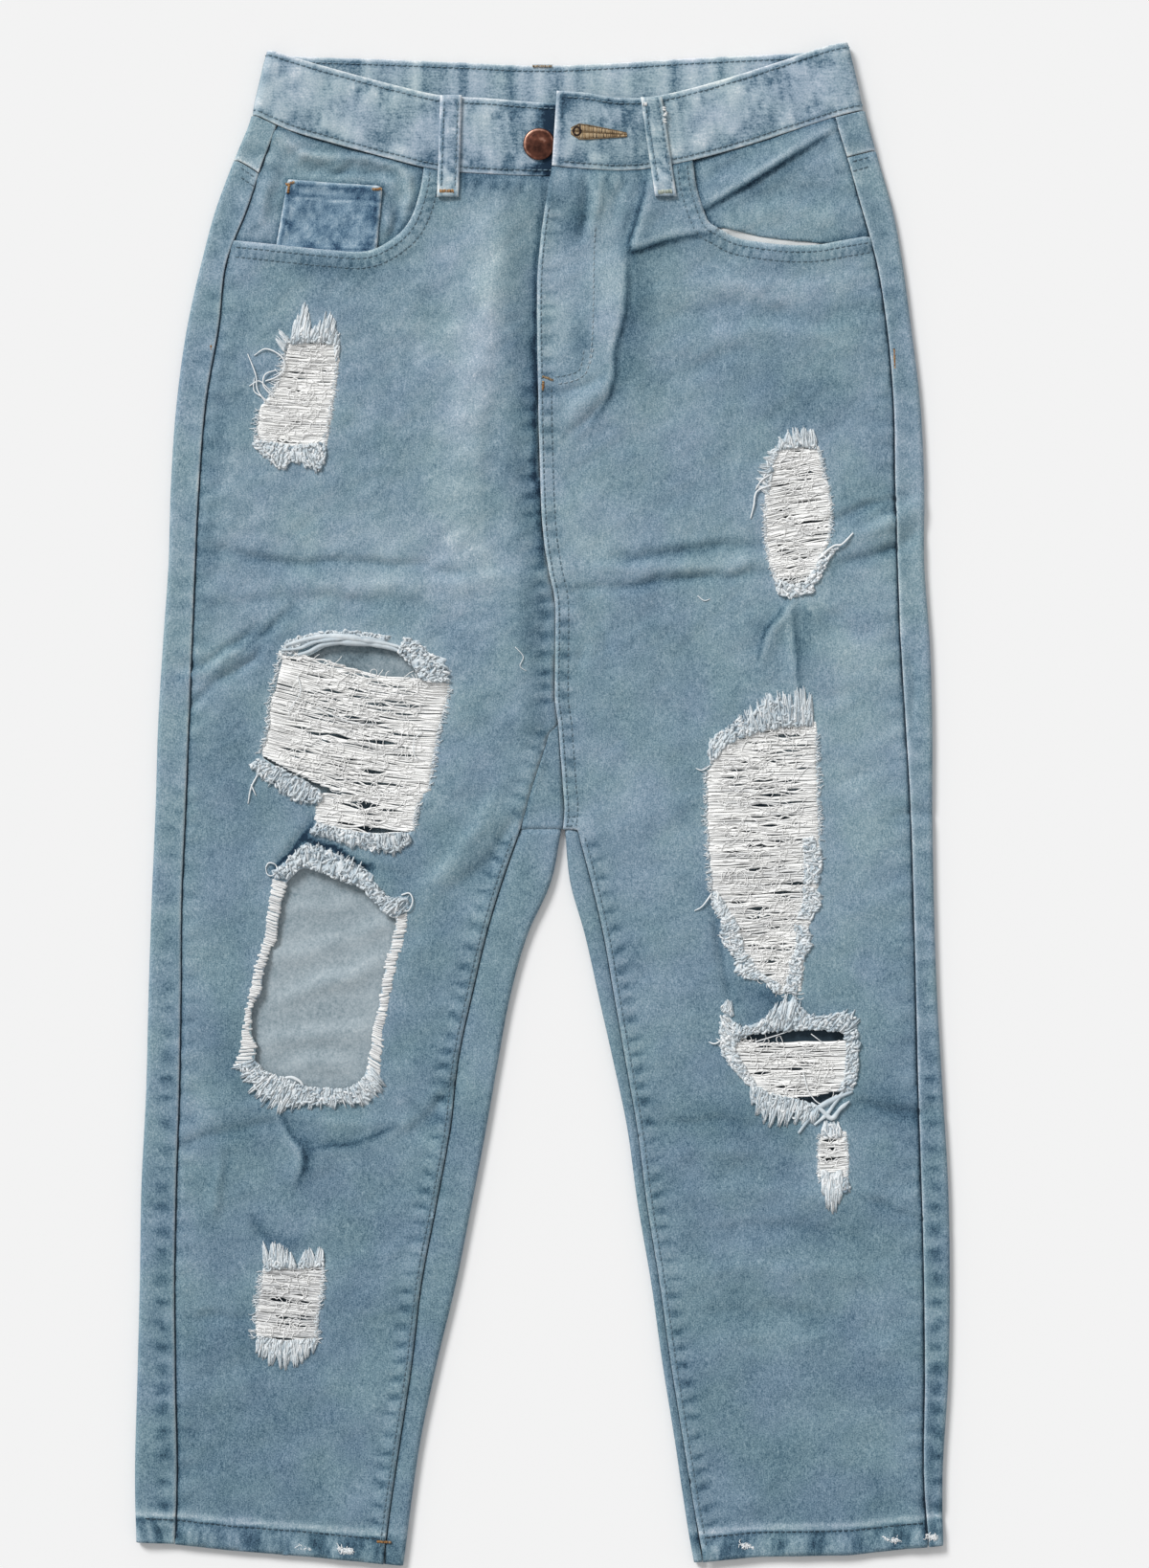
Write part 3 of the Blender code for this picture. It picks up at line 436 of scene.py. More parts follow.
def follow(x, y, path):
    """Each place's distance from a path, how far along that is, and 1 on its left or -1 on its right."""
    nearest = np.full(np.shape(x), 1e9)
    along, side = np.zeros(np.shape(x)), np.ones(np.shape(x))
    run = 0.0
    for (ax, ay), (bx, by) in zip(path, path[1:]):
        dx, dy = bx - ax, by - ay
        length = math.hypot(dx, dy)
        share = np.clip(((x - ax) * dx + (y - ay) * dy) / length ** 2, 0, 1)
        gap = np.hypot(x - ax - share * dx, y - ay - share * dy)
        nearer = gap < nearest
        nearest = np.where(nearer, gap, nearest)
        along = np.where(nearer, run + share * length, along)
        side = np.where(nearer, np.sign(dx * (y - ay) - dy * (x - ax)), side)
        run += length
    return nearest, along / run, side


def bell(distance, width):
    """A bell curve of a distance: 1 at none, and 1 over e at its width."""
    return np.exp(-((distance / width) ** 2))


def hump(share, start, span, power=1.0):
    """A sine's hump along a share: the sine of pi times (start plus span times the share), to a power."""
    return np.sin(math.pi * (start + span * share)) ** power


def unit(vectors):
    """Vectors scaled to a length of 1."""
    return vectors / np.maximum(np.linalg.norm(vectors, axis=-1, keepdims=True), 1e-9)


def normals(grid):
    """The unit normals of a grid of places."""
    return unit(np.cross(np.gradient(grid, axis=1), np.gradient(grid, axis=0)))


def between(grid, low, share):
    """A grid's columns at low plus a share of the way to the next."""
    return grid[:, low] * (1 - share) + grid[:, low + 1] * share


def grain(x, y, seed):
    """Smooth random heights from -1 to 1: a random value at each whole x and y, eased between them."""
    table = np.random.default_rng(seed).uniform(-1, 1, (256, 256))
    column, row = np.floor(x).astype(int), np.floor(y).astype(int)
    u, v = smooth_step(x - column, 0, 1), smooth_step(y - row, 0, 1)
    low = table[row % 256, column % 256] * (1 - u) + table[row % 256, (column + 1) % 256] * u
    high = table[(row + 1) % 256, column % 256] * (1 - u) + table[(row + 1) % 256, (column + 1) % 256] * u
    return low * (1 - v) + high * v


def strokes(x, y, table, narrow=1.0):
    """The sum of soft strokes: each is its height times a bell curve of the distance, thinning to its ends.

    The bell is narrower on the left of its line, and random shifts of the place make it crinkled. narrow
    scales every half width.
    """
    x, y = np.asarray(x, float), np.asarray(y, float)
    total = np.zeros(np.shape(x))
    moved_x = x + 2.2 * grain(x / 17, y / 15, 61) + 0.9 * grain(x / 6, y / 6, 62)
    moved_y = y + 2.6 * grain(x / 19, y / 15, 63) + 1.1 * grain(x / 6, y / 6, 64)
    for height, width, points in table:
        distance, share, side = follow(moved_x, moved_y, smooth_path(points, 12))
        width = narrow * width * (1 - 0.3 * side)
        total += height * bell(distance, width) * hump(share, 0.06, 0.88, 0.6)
    return total * (1 + 0.35 * grain(x / 11, y / 11, 65))


def lap_lines(table):
    """The curves that a table of laps follows."""
    return [smooth_path(points, 8) for _, _, points in table]


def laps(x, y, table):
    """Folds that end in a sharp edge: raised on the left of their line and falling away with distance."""
    total = np.zeros(np.shape(x))
    for (height, reach, _), line in zip(table, lap_lines(table)):
        distance, share, side = follow(x, y, line)
        rise = smooth_step(distance * side, -1.0, 1.0) * bell(distance, reach)
        total += height * rise * hump(share, 0.04, 0.92, 0.4)
    return total


def lap_shadow_and_highlight(x, y, table):
    """Painted shadow under the sharp edge of a fold, and a little painted highlight on its raised side."""
    total = np.zeros(np.shape(x))
    for (height, _, _), line in zip(table, lap_lines(table)):
        distance, share, side = follow(x, y, line)
        ends = hump(share, 0.04, 0.92, 0.4)
        off = distance * side
        edge, under, over = (bell(off - at, wide) for at, wide in ((-0.4, 1.5), (-5, 4), (3.2, 2)))
        total += height * ends * (0.05 * over - 0.12 * edge - 0.03 * under)
    return total


def fold_distance(x, y):
    """Distance in from the nearest side fold, inner fold or the crotch."""
    turn = DENIM / 2 + FOLD_RADIUS
    near = np.minimum(x - line_x("right_fold", y) - turn, line_x("left_fold", y) - turn - x)
    right = line_x("right_inner", y) - turn - x
    left = x - line_x("left_inner", y) - turn
    middle = np.where(y < CROTCH[1], np.maximum(right, left), np.hypot(x - CROTCH[0], y - CROTCH[1]))
    return np.maximum(np.minimum(near, middle), 0)


def top_height(x, y):
    """The upper layer as the solids have it: a ridge along each fold and a level that sags between them."""
    sag = np.interp(y, (100, 300), (3.4, 5.3))
    ridge = DENIM / 2 + 2 * FOLD_RADIUS + STACK * smooth_step(y, *BAND_STEP)
    return sag + (ridge - sag) * bell(fold_distance(x, y), 25)


def fly_rise(x, y):
    """How far the left front lies above the underlap, and above the band higher up."""
    return (1.5 * smooth_step(y, 225, 252) + 1.2 * smooth_step(y, 360, 384)) * (1 - smooth_step(x, 50, 78))


MAP_STEP = 1.5
MAP_X = np.arange(-264, 266, MAP_STEP)
MAP_Y = np.arange(-492, 492, MAP_STEP)


@functools.lru_cache(None)
def front_map(side):
    """One side's upper layer on an even grid: the solids' height, a swell, creases, laps and unevenness."""
    x, y = np.meshgrid(MAP_X, MAP_Y)
    inward = fold_distance(x, y)
    swell = np.interp(y, (-480, -60, 120, 400, 430), (1.2, 1.6, 2.4, 2.0, 0.6)) * smooth_step(inward, 0, 40)
    u, v = x + 0.35 * y, y - 0.3 * x
    uneven = 0.8 * grain(u / 52, v / 34, 3) + 0.5 * grain(u / 22, v / 14, 5) + 0.22 * grain(u / 9, v / 6, 8)
    uneven += (0.12 + 0.13 * smooth_step(y, -80, 60)) * grain((x + 0.7 * y) / 15, (y - 0.7 * x) / 4.6, 9)
    height = top_height(x, y) + swell + uneven * smooth_step(inward, 0, 22)
    height += 1.5 * strokes(x, y, CREASES[side], 0.8) + laps(x, y, LAPS[side])
    from_centre, _, _ = follow(x, y, CENTRE_LINE)
    if side == "right":
        rolled = smooth_step(y, -30, 20) * (1 - smooth_step(y, 350, 400))
        height -= 3.6 * rolled * (1 - smooth_step(from_centre, 0, 24))
        return np.maximum(height, 2.3)
    height += fly_rise(x, y) + 0.6 * (1 - smooth_step(from_centre, 1, 7)) * smooth_step(y, -10, 30)
    return np.maximum(height, 2.6)


def sampled(grid, x, y):
    """A grid of heights read between its points, in proportion to the distance from each of the four."""
    column = np.clip((np.asarray(x, float) - MAP_X[0]) / MAP_STEP, 0, len(MAP_X) - 1.001)
    row = np.clip((np.asarray(y, float) - MAP_Y[0]) / MAP_STEP, 0, len(MAP_Y) - 1.001)
    i, j = row.astype(int), column.astype(int)
    v, u = row - i, column - j
    return ((grid[i, j] * (1 - u) + grid[i, j + 1] * u) * (1 - v)
            + (grid[i + 1, j] * (1 - u) + grid[i + 1, j + 1] * u) * v)


def front_height(side, x, y):
    """Height of a side's upper layer at any place."""
    return sampled(front_map(side), x, y)


def band_lower_edge(side):
    """The waistband's lower edge on the front, from the middle to the side fold."""
    low = BAND_FOLDS[side][1]
    ends = [row[2:] for row in BAND_FRONT[side]] + [(fold_x(side, low, BAND_CLOTH), low)]
    return smooth_path(ends, 4)


def fold_x(side, y, thickness):
    """x where cloth of this thickness starts to turn round a side fold."""
    return line_x(side + "_fold", y) + SIGN[side] * (thickness / 2 + FOLD_RADIUS)


def inner_fold_x(side, y):
    """x where a leg's denim starts to turn round its inner fold."""
    return line_x(side + "_inner", y) - SIGN[side] * (DENIM / 2 + FOLD_RADIUS)


def inseam_x(side, y):
    """x of an inseam, with the point of the right back panel above the crotch."""
    seam = line_x(side + "_inseam", y)
    if side == "right":
        heights, places = zip(*FLAP_INSEAM)
        seam = np.where(np.asarray(y) > CROTCH[1], np.interp(y, heights, places), seam)
    return seam


def centre_x(y):
    """x of the line down the middle of the front."""
    places, heights = zip(*sorted(CENTRE_LINE, key=lambda point: point[1]))
    return np.interp(y, heights, places)


def back_seam_x(y):
    """x of the centre back seam, straight from the crotch to the yokes."""
    return np.interp(y, (CROTCH[1], YOKE_CENTRE_Y), (CROTCH[0], 0))


def hem_y(side, x):
    """The hem's lower edge at x."""
    return np.interp(x, *zip(*HEM[side]))


def down_line(function, side, top, bottom, step=6):
    """A line that is x as a function of y, from one height down to another."""
    heights = np.linspace(top, bottom, int(abs(top - bottom) / step) + 2)
    return np.column_stack((function(side, heights), heights))


def outseam_x(side, y):
    """x of an outseam."""
    return line_x(side + "_outseam", y)


def between_x(path, first, last):
    """The stretch of a path, one that runs along X, between two places, in that order."""
    path = path[np.argsort(path[:, 0])]
    inner = path[(path[:, 0] > min(first, last)) & (path[:, 0] < max(first, last))]
    if last < first:
        inner = inner[::-1]
    ends = [(place, np.interp(place, path[:, 0], path[:, 1])) for place in (first, last)]
    return np.vstack((ends[:1], inner, ends[1:]))


def mouth_line(side):
    """A pocket's mouth from the outseam to the band."""
    y = MOUTH_OUTSEAM_Y[side]
    band = band_lower_edge(side)
    end_x = MOUTH_BAND_X[side]
    end_y = between_x(band, end_x, end_x + 1)[0, 1]
    return smooth_path([(outseam_x(side, y), y), *MOUTH[side], (end_x, end_y)], 3)


def hem_line(side):
    """A hem's lower edge from the inseam to the outseam."""
    start, end = inseam_x(side, -470), outseam_x(side, -465)
    places = np.linspace(start, end, 40)
    return np.column_stack((places, hem_y(side, places)))


def panel_seams(side):
    """The stretches of a front panel's outline, in order: band, middle, leg, hem, outseam and mouth."""
    band = band_lower_edge(side)
    if side == "right":
        under = np.asarray(FLY_UNDERLAP, float)
        line = np.array([point for point in CENTRE_LINE if FLAP_TOP_Y <= point[1] < under[-1, 1] - 10])
        flap_edge = down_line(inseam_x, side, FLAP_TOP_Y, CROTCH[1])[1:]
        middle = np.vstack((under, smooth_path(line, 6), flap_edge))
        top = between_x(band, MOUTH_BAND_X[side], under[0, 0])[:-1]
    else:
        middle = np.vstack((smooth_path(CENTRE_LINE[1:], 6), [(22, CROTCH[1])]))
        top = between_x(band, MOUTH_BAND_X[side], CENTRE_LINE[0][0])
    leg = down_line(inseam_x, side, CROTCH[1] - 4, -466)
    outseam = down_line(outseam_x, side, MOUTH_OUTSEAM_Y[side] - 6, -458)[::-1]
    return {"band": top, "middle": middle, "leg": leg, "hem": hem_line(side), "outseam": outseam,
            "mouth": mouth_line(side)}


def crossings(x, y, loops):
    """How many sides of some closed outlines a ray to +X from each place meets."""
    count = np.zeros(np.shape(x), int)
    for loop in loops:
        for (ax, ay), (bx, by) in zip(loop, np.roll(loop, -1, axis=0)):
            if ay != by:
                count += ((ay > y) != (by > y)) & (x < ax + (y - ay) / (by - ay) * (bx - ax))
    return count


def nearest_foot(x, y, loops):
    """The nearest place on some closed outlines, and its distance."""
    best = np.full(np.shape(x), 1e9)
    foot_x, foot_y = x.copy(), y.copy()
    for loop in loops:
        for (ax, ay), (bx, by) in zip(loop, np.roll(loop, -1, axis=0)):
            dx, dy = bx - ax, by - ay
            share = np.clip(((x - ax) * dx + (y - ay) * dy) / max(dx * dx + dy * dy, 1e-9), 0, 1)
            px, py = ax + share * dx, ay + share * dy
            gap = np.hypot(x - px, y - py)
            nearer = gap < best
            best = np.where(nearer, gap, best)
            foot_x, foot_y = np.where(nearer, px, foot_x), np.where(nearer, py, foot_y)
    return foot_x, foot_y, best


def clipped_grid(loops, step, lines=()):
    """An even grid cut to outlines: places under half a step from one, or from a fold's line, move on to it.

    loops are the outer edge and any holes. Returns the places, the faces, and which places lie on an edge.
    """
    loops = [np.asarray(loop, float) for loop in loops]
    low, high = loops[0].min(axis=0) - step, loops[0].max(axis=0) + step
    columns, rows = (np.arange(a, b + step, step) for a, b in zip(low, high))
    gx, gy = (grid.ravel() for grid in np.meshgrid(columns, rows))
    foot_x, foot_y, gap = nearest_foot(gx, gy, loops)
    on_edge = gap < step * 0.5
    x, y = np.where(on_edge, foot_x, gx), np.where(on_edge, foot_y, gy)
    if lines:
        foot_x, foot_y, gap = nearest_foot(gx, gy, [np.vstack((line, line[::-1])) for line in lines])
        folded = ~on_edge & (gap < step * 0.5)
        x, y = np.where(folded, foot_x, x), np.where(folded, foot_y, y)
    cloth = on_edge | (crossings(gx, gy, loops) % 2 == 1)
    corner = (np.arange(len(rows) - 1)[:, None] * len(columns) + np.arange(len(columns) - 1)).ravel()
    quads = np.stack((corner, corner + 1, corner + len(columns) + 1, corner + len(columns)), axis=1)
    kept = cloth[quads]
    flat = on_edge[quads].all(axis=1)
    inner = crossings(x[quads].mean(axis=1), y[quads].mean(axis=1), loops) % 2 == 1
    whole = quads[kept.all(axis=1) & (~flat | inner)]
    three = quads[kept.sum(axis=1) == 3]
    order = np.array([(1, 2, 3), (0, 2, 3), (0, 1, 3), (0, 1, 2)])[np.argmin(cloth[three], axis=1)]
    cut = np.take_along_axis(three, order, axis=1)
    centre = x[cut].mean(axis=1), y[cut].mean(axis=1)
    cut = cut[crossings(*centre, loops) % 2 == 1]
    used = np.unique(np.concatenate((whole.ravel(), cut.ravel())))
    index = np.zeros(len(x), int)
    index[used] = np.arange(len(used))
    return x[used], y[used], index[whole].tolist() + index[cut].tolist(), on_edge[used]


def add_mesh(name, points, faces, materials, marks=None, smooth=True):
    """A mesh object from places in millimetres, with its materials and its marks, one number a place."""
    mesh = bpy.data.meshes.new(name)
    mesh.from_pydata((np.asarray(points) * MM).tolist(), [], faces)
    for material in materials:
        mesh.materials.append(material)
    mesh.polygons.foreach_set("use_smooth", np.full(len(mesh.polygons), smooth))
    for key, values in (marks or {}).items():
        layer = mesh.attributes.new(key, "FLOAT", "POINT")
        layer.data.foreach_set("value", np.asarray(values, np.float32))
    mesh.update()
    obj = bpy.data.objects.new(name, mesh)
    bpy.context.scene.collection.objects.link(obj)
    return obj


def thicken(obj, thickness):
    """Walls of cloth on both sides of a surface, its other side in the second material."""
    wall = obj.modifiers.new("cloth", "SOLIDIFY")
    wall.thickness = thickness * MM
    wall.offset = 0
    wall.use_rim = True
    wall.material_offset = min(1, len(obj.data.materials) - 1)
    return obj


def add_cloth(name, points, faces, wear, thickness=DENIM, kinds=("denim", "inside"),
              slot_name="indigo_denim"):
    """A piece of cloth: a surface with its wear and painted shade and its two sides' finishes, walled and
    tied to its solid.
    """
    obj = add_mesh(name, points, faces, [material(kind) for kind in kinds], {"wear_and_shade": wear})
    thicken(obj, thickness)
    return settle(obj, slot_name, name)


def settle(obj, slot_name, *nodes):
    """Ties a finished piece to the jeans' one body and hides the solids that it stands for; its slot name is
    not used.
    """
    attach(obj, "root")
    if nodes:
        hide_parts(*nodes)
    return obj


def loop_area(loop):
    """A closed outline's area in square metres: half the sum of the cross products of its sides."""
    x, y = np.asarray(loop, float).T
    return abs(np.sum(x * np.roll(y, -1) - y * np.roll(x, -1))) / 2 * MM * MM


def declare_patch(loop):
    """Works out a patch's outline area and keeps nothing of it."""
    loop_area(loop)


# Where each hem's blotches start
HEM_SEEDS = {"right": 11, "left": 19}
SEAM_LOOKS = {
    # paler edge, its reach; blotches, their middle, reach and pitch; rise of the folded edge and its reach
    # A darker edge, below 0, is painted shade in the groove: under the band's edge, and between a front and
    # its strip at the outseam
    "band": (-0.24, 2.0, 0.09, 6, 5, 9, -0.6, 5),
    "middle": (0.24, 0.9, 0.11, 6, 5, 11, 0.5, 6),
    "leg": (0.18, 1.2, 0.13, 7.5, 4.5, 11, 0.6, 9),
    "hem": (0.02, 1.4, 0.17, 7, 7, 6, 0.6, 15),
    "outseam": (-0.22, 1.6, 0.04, 5, 6, 14, -0.8, 3),
    "mouth": (0.26, 1.2, 0.12, 7.5, 3.2, 5, 0.7, 12),
}


def seam_relief(side, x, y, seams):
    """Folded seams: their height and their wear, with painted shade in the band's and the outseam's grooves,
    from the distance to each and how far along it a place is.

    The edge's wear and rise die away with distance, and the blotches are random values read along it.
    """
    rise, wear = np.zeros(np.shape(x)), np.zeros(np.shape(x))
    for number, (name, path) in enumerate(seams.items()):
        edge, reach, blotch, middle, spread, pitch, height, across = SEAM_LOOKS[name]
        distance, share, _ = follow(x, y, path)
        run = share * np.linalg.norm(np.diff(path, axis=0), axis=1).sum()
        lean = run - (0.3 * distance if name == "hem" else 0)
        if name == "hem":
            lumps = blotched(lean, 0.4 * distance, pitch, HEM_SEEDS[side])
        else:
            lumps = roped(lean, distance + 9 * pitch * number, pitch, 11)
        near = bell(distance - middle, spread)
        wear += edge * bell(distance, reach) + blotch * (lumps - 0.5) * near
        if name == "hem":
            wear += hem_edge(distance) + 0.07 * roped(lean, distance, 4.3, 12) * near
        rise += height * (1 - smooth_step(distance, 0.5 * across, across)) + 0.22 * lumps * near
        if height > 0:
            rise -= 0.55 * bell(distance, 1.4)
    return rise, wear


def hem_edge(hem):
    """The hem's stitched edge, by the distance above the lower edge: a dark line, and a pale band over it."""
    return 0.30 * bell(hem - HEM_DEPTH - 2.8, 2.4) - 0.24 * bell(hem - HEM_DEPTH, 1.3)


def shade(side, x, y):
    """Worn and unworn areas of a side with painted shade: the strokes of its table, ridges paler and troughs
    darker (partly wear, partly painted shade), painted shadow and highlight at lap edges, and a mottle.

    The mottle is livelier on the right thigh.
    """
    worn = strokes(x, y, SHADES[side]) + 0.05 * strokes(x, y, CREASES[side], 0.8) + leg_shade(y)
    worn += lap_shadow_and_highlight(x, y, LAPS[side])
    lively = smooth_step(y, -60, 80) * (1 - smooth_step(x, -30, 30))
    mottle = 0.03 * grain(x / 11, y / 9, 22) + 0.05 * lively * grain((x + 0.4 * y) / 9, (y - 0.5 * x) / 5, 24)
    return worn + 0.04 * grain(x / 30, y / 24, 21) + mottle


def leg_shade(y):
    """How much darker and bluer the cloth is towards the hems: partly less worn cloth, partly painted shade
    where the light falls off.
    """
    return np.interp(y, (-480, -150, 0, 150, 300), (-0.09, -0.065, -0.03, 0.02, -0.01))


def add_front(side, looks):
    """A front panel: an even grid cut to its outline and rips, lifted to the upper layer."""
    seams = panel_seams(side)
    outline = np.vstack([np.asarray(path, float) for path in seams.values()])
    rips = [spaced(closed(rip), 3)[:-1] for rip in RIPS[side].values()]
    x, y, faces, _ = clipped_grid([outline, *rips], looks.cloth_step / MM, lap_lines(LAPS[side]))
    rise, wear = seam_relief(side, x, y, seams)
    _, _, gap = nearest_foot(x, y, rips)
    # Pale worn rims round the rips, and the side's tones: wear, with painted shade in creases and painted
    # shadow beside edges
    wear += 0.30 * bell(gap, 1.5) + 0.05 * bell(gap, 8) + shade(side, x, y)
    points = np.column_stack((x, y, front_height(side, x, y) + rise))
    obj = add_cloth("front_" + side, points, faces, wear)
    declare_patch(outline)
    return obj


def closed(loop):
    """A loop with its first place again at its end."""
    return np.vstack((loop, loop[:1]))


def under_lift(side, x, y):
    """How far the patch pocket and the back belt loops raise the lower layer."""
    pocket = np.array([(SIGN[side] * px, py) for px, py in BACK_POCKET], float)
    _, _, gap = nearest_foot(x, y, [pocket])
    gap = np.where(crossings(x, y, [pocket]) % 2 == 1, 0, gap)
    return np.maximum(STACK * (1 - smooth_step(gap, 2, 14)), STACK * smooth_step(y, *BAND_STEP))


# Soft creases of the lower layer where the open knee shows it
UNDER_CREASES = (
    (1.5, 4.5, ((-168, -124), (-152, -118), (-138, -112), (-122, -109), (-104, -97))),
    (1.1, 4.0, ((-116, -82), (-104, -76), (-92, -74))),
    (1.0, 5.0, ((-178, -92), (-160, -94), (-140, -90), (-120, -84))),
    (1.2, 4.5, ((-174, -150), (-150, -146), (-126, -144), (-106, -140))),
    (1.0, 4.0, ((-158, -165), (-140, -161), (-120, -164))),
    (0.9, 5.0, ((-156, -60), (-136, -64), (-120, -62))),
)

# Painted shadow on the lower layer's inside, dark under the rips: shade, half width, and the line that each
# follows
UNDER_RIP_SHADOWS = {
    "right": ((-0.30, 34, ((-155, 285), (-155, 225))), (-0.26, 34, ((-150, 46), (-90, 40))),
              (-0.30, 18, ((-130, -4), (-90, -10))), (-0.30, 30, ((-158, -292), (-158, -335))),
              (-0.12, 22, ((-140, 96), (-90, 92)))),
    "left": ((-0.30, 32, ((158, 215), (158, 145))), (-0.30, 40, ((138, 40), (142, -100))),
             (-0.60, 16, ((122, -145), (196, -145))), (-0.34, 20, ((130, -172), (185, -180))),
             (-0.30, 16, ((182, -208), (182, -240)))),
}


# Places across the lower layer, closer on the side that the open knee shows
UNDER_PLACES = {"right": 44, "left": 24}


def wrap(side, y_out, y_fold, lower_y, x_back):
    """Cloth round a side fold: a strip from the outseam, half a turn, and the lower layer to x_back.

    y_out and y_fold are columns of heights. The half turn is a half circle whose upper end is raised to the
    strip, and lower_y(x) gives the lower layer's heights. Returns places by row and column.
    """
    sign = SIGN[side]
    share = np.linspace(0, 1, 12)
    fold = fold_x(side, y_fold, DENIM)
    y = y_out + share * (y_fold - y_out)
    seam = outseam_x(side, y) - sign * GAP
    x = seam + share * (fold - seam)
    from_seam = np.abs(x - outseam_x(side, y))
    strip = (x, y, front_height(side, x, y) + 0.5 * bell(from_seam, 5) - 0.4 * np.exp(-from_seam))
    turn = np.linspace(0, math.pi, 8)[1:-1]
    base = DENIM / 2 + STACK * smooth_step(y_fold, *BAND_STEP)
    top = front_height(side, fold, y_fold)
    bend = (fold - sign * FOLD_RADIUS * np.sin(turn), y_fold + 0 * turn,
            base + (top - base) * (1 + np.cos(turn)) / 2)
    x = fold + np.linspace(0, 1, UNDER_PLACES[side]) * (x_back - fold)
    y = lower_y(x)
    z = DENIM / 2 + under_lift(side, x, y) + 2.0 * strokes(x, y, UNDER_CREASES).clip(0)
    z += 0.4 * (1 + grain(x / 40, y / 30, 31)) * smooth_step(np.abs(x - fold), 2, 20)
    return np.stack([np.hstack(part) for part in zip(strip, bend, (x, y, z))], axis=-1)


def turn_in(side, y):
    """The cloth round a leg's inner fold and on to the inseam: half a circle, then a strip on top."""
    sign = SIGN[side]
    fold = inner_fold_x(side, y)
    seam = inseam_x(side, y) + sign * GAP
    turn = np.linspace(0, math.pi, 8)[1:]
    top = front_height(side, fold, y) - 0.2
    bend = (fold + sign * FOLD_RADIUS * np.sin(turn), y + 0 * turn,
            DENIM / 2 + (top - DENIM / 2) * (1 - np.cos(turn)) / 2)
    share = np.linspace(0, 1, 10)[1:]
    x = fold + share * (seam - fold)
    off = np.abs(x - seam)
    strip = (x, y + 0 * share, front_height(side, x, y + 0 * share) - 0.2 - 0.7 * bell(off, 2.5))
    return np.stack([np.hstack(part) for part in zip(bend, strip)], axis=-1)


def flap(y):
    """The right back panel's point above the crotch: a strip on top from the centre line to the inseam."""
    edge, seam = centre_x(y) - GAP, inseam_x("right", y) + GAP
    x = edge + np.linspace(0, 1, 8) * (seam - edge)
    y = y + 0 * x
    return np.stack((x, y, front_height("right", x, y) - 0.2), axis=-1)


def grid_faces(rows, columns, start=0, flip=False):
    """Four-sided faces between neighbouring rows and columns of places numbered row by row."""
    corner = start + (np.arange(rows - 1)[:, None] * columns + np.arange(columns - 1)).ravel()
    faces = np.stack((corner, corner + columns, corner + columns + 1, corner + 1), axis=1)
    return (faces[:, ::-1] if flip else faces).tolist()


def strip_marks(side, points):
    """Wear of the strips that a back panel shows in front: pale edges, darker along the inseam, dark blotches
    and worn folds; painted shade on the lower layer.
    """
    x, y, z = points.T
    out, inner = np.abs(x - outseam_x(side, y)), np.abs(x - inseam_x(side, np.minimum(y, FLAP_TOP_Y)))
    fold = np.abs(x - line_x(side + "_fold", y))
    wear = 0.30 * bell(out, 1.4) - 0.12 * bell(inner, 2) * (y < FLAP_TOP_Y)
    lumps = (1 - roped(y, out, 14, 41)) / 2
    below = 0.35 + 0.65 * smooth_step(-y, 60, 200)
    wear -= 0.26 * lumps * bell(out - 8, 4.5) * below
    wear += 0.10 * grain(y / 6, x / 9, 42) * bell(out, 14) + 0.05 * bell(fold, 6)
    hem = y - hem_y(side, x)
    wear += 0.13 * (blotched(x + 0.3 * hem, 0.4 * hem, 4.5, 43) - 0.1) * (hem < HEM_DEPTH) + hem_edge(hem)
    # The lower layer: painted shadow under the rips, a little darker all over, and the creases' strokes moved
    # 1.5 mm up towards the lamp as a painted highlight on their lit side
    under = (1.5 * strokes(x, y, UNDER_RIP_SHADOWS[side]) - 0.06 + 0.09 * strokes(x, y - 1.5, UNDER_CREASES)
             + 0.05 * grain((x + 2 * y) / 22, (y - 0.3 * x) / 4.5, 44))
    return np.where(z > 2.5, wear + 0.02 + leg_shade(y) + 0.04 * grain(x / 11, y / 9, 22), under)


def patch_area(grid):
    """The flat area of a grid of places, in square millimetres: half its cells' cross products, added."""
    down, across = grid[1:] - grid[:-1], grid[:, 1:] - grid[:, :-1]
    first = np.cross(down[:, :-1], across[:-1])
    second = np.cross(down[:, 1:], across[1:])
    return (np.linalg.norm(first, axis=-1) + np.linalg.norm(second, axis=-1)).sum() / 2


def longest(grid, axis):
    """The longest column of a grid of places, or its longest row where axis is 1."""
    return np.linalg.norm(np.diff(grid, axis=axis), axis=-1).sum(axis=axis).max()


def declare_grid(obj, grid, area, rests_on, *wider):
    """Works out a loft of cloth's longest row and column and its area, and keeps none of them.

    wider are grids whose rows may be longer still.
    """
    width, length = max(longest(each, 1) for each in (grid, *wider)) * MM, longest(grid, 0) * MM
    area = min(area * MM * MM, width * length)


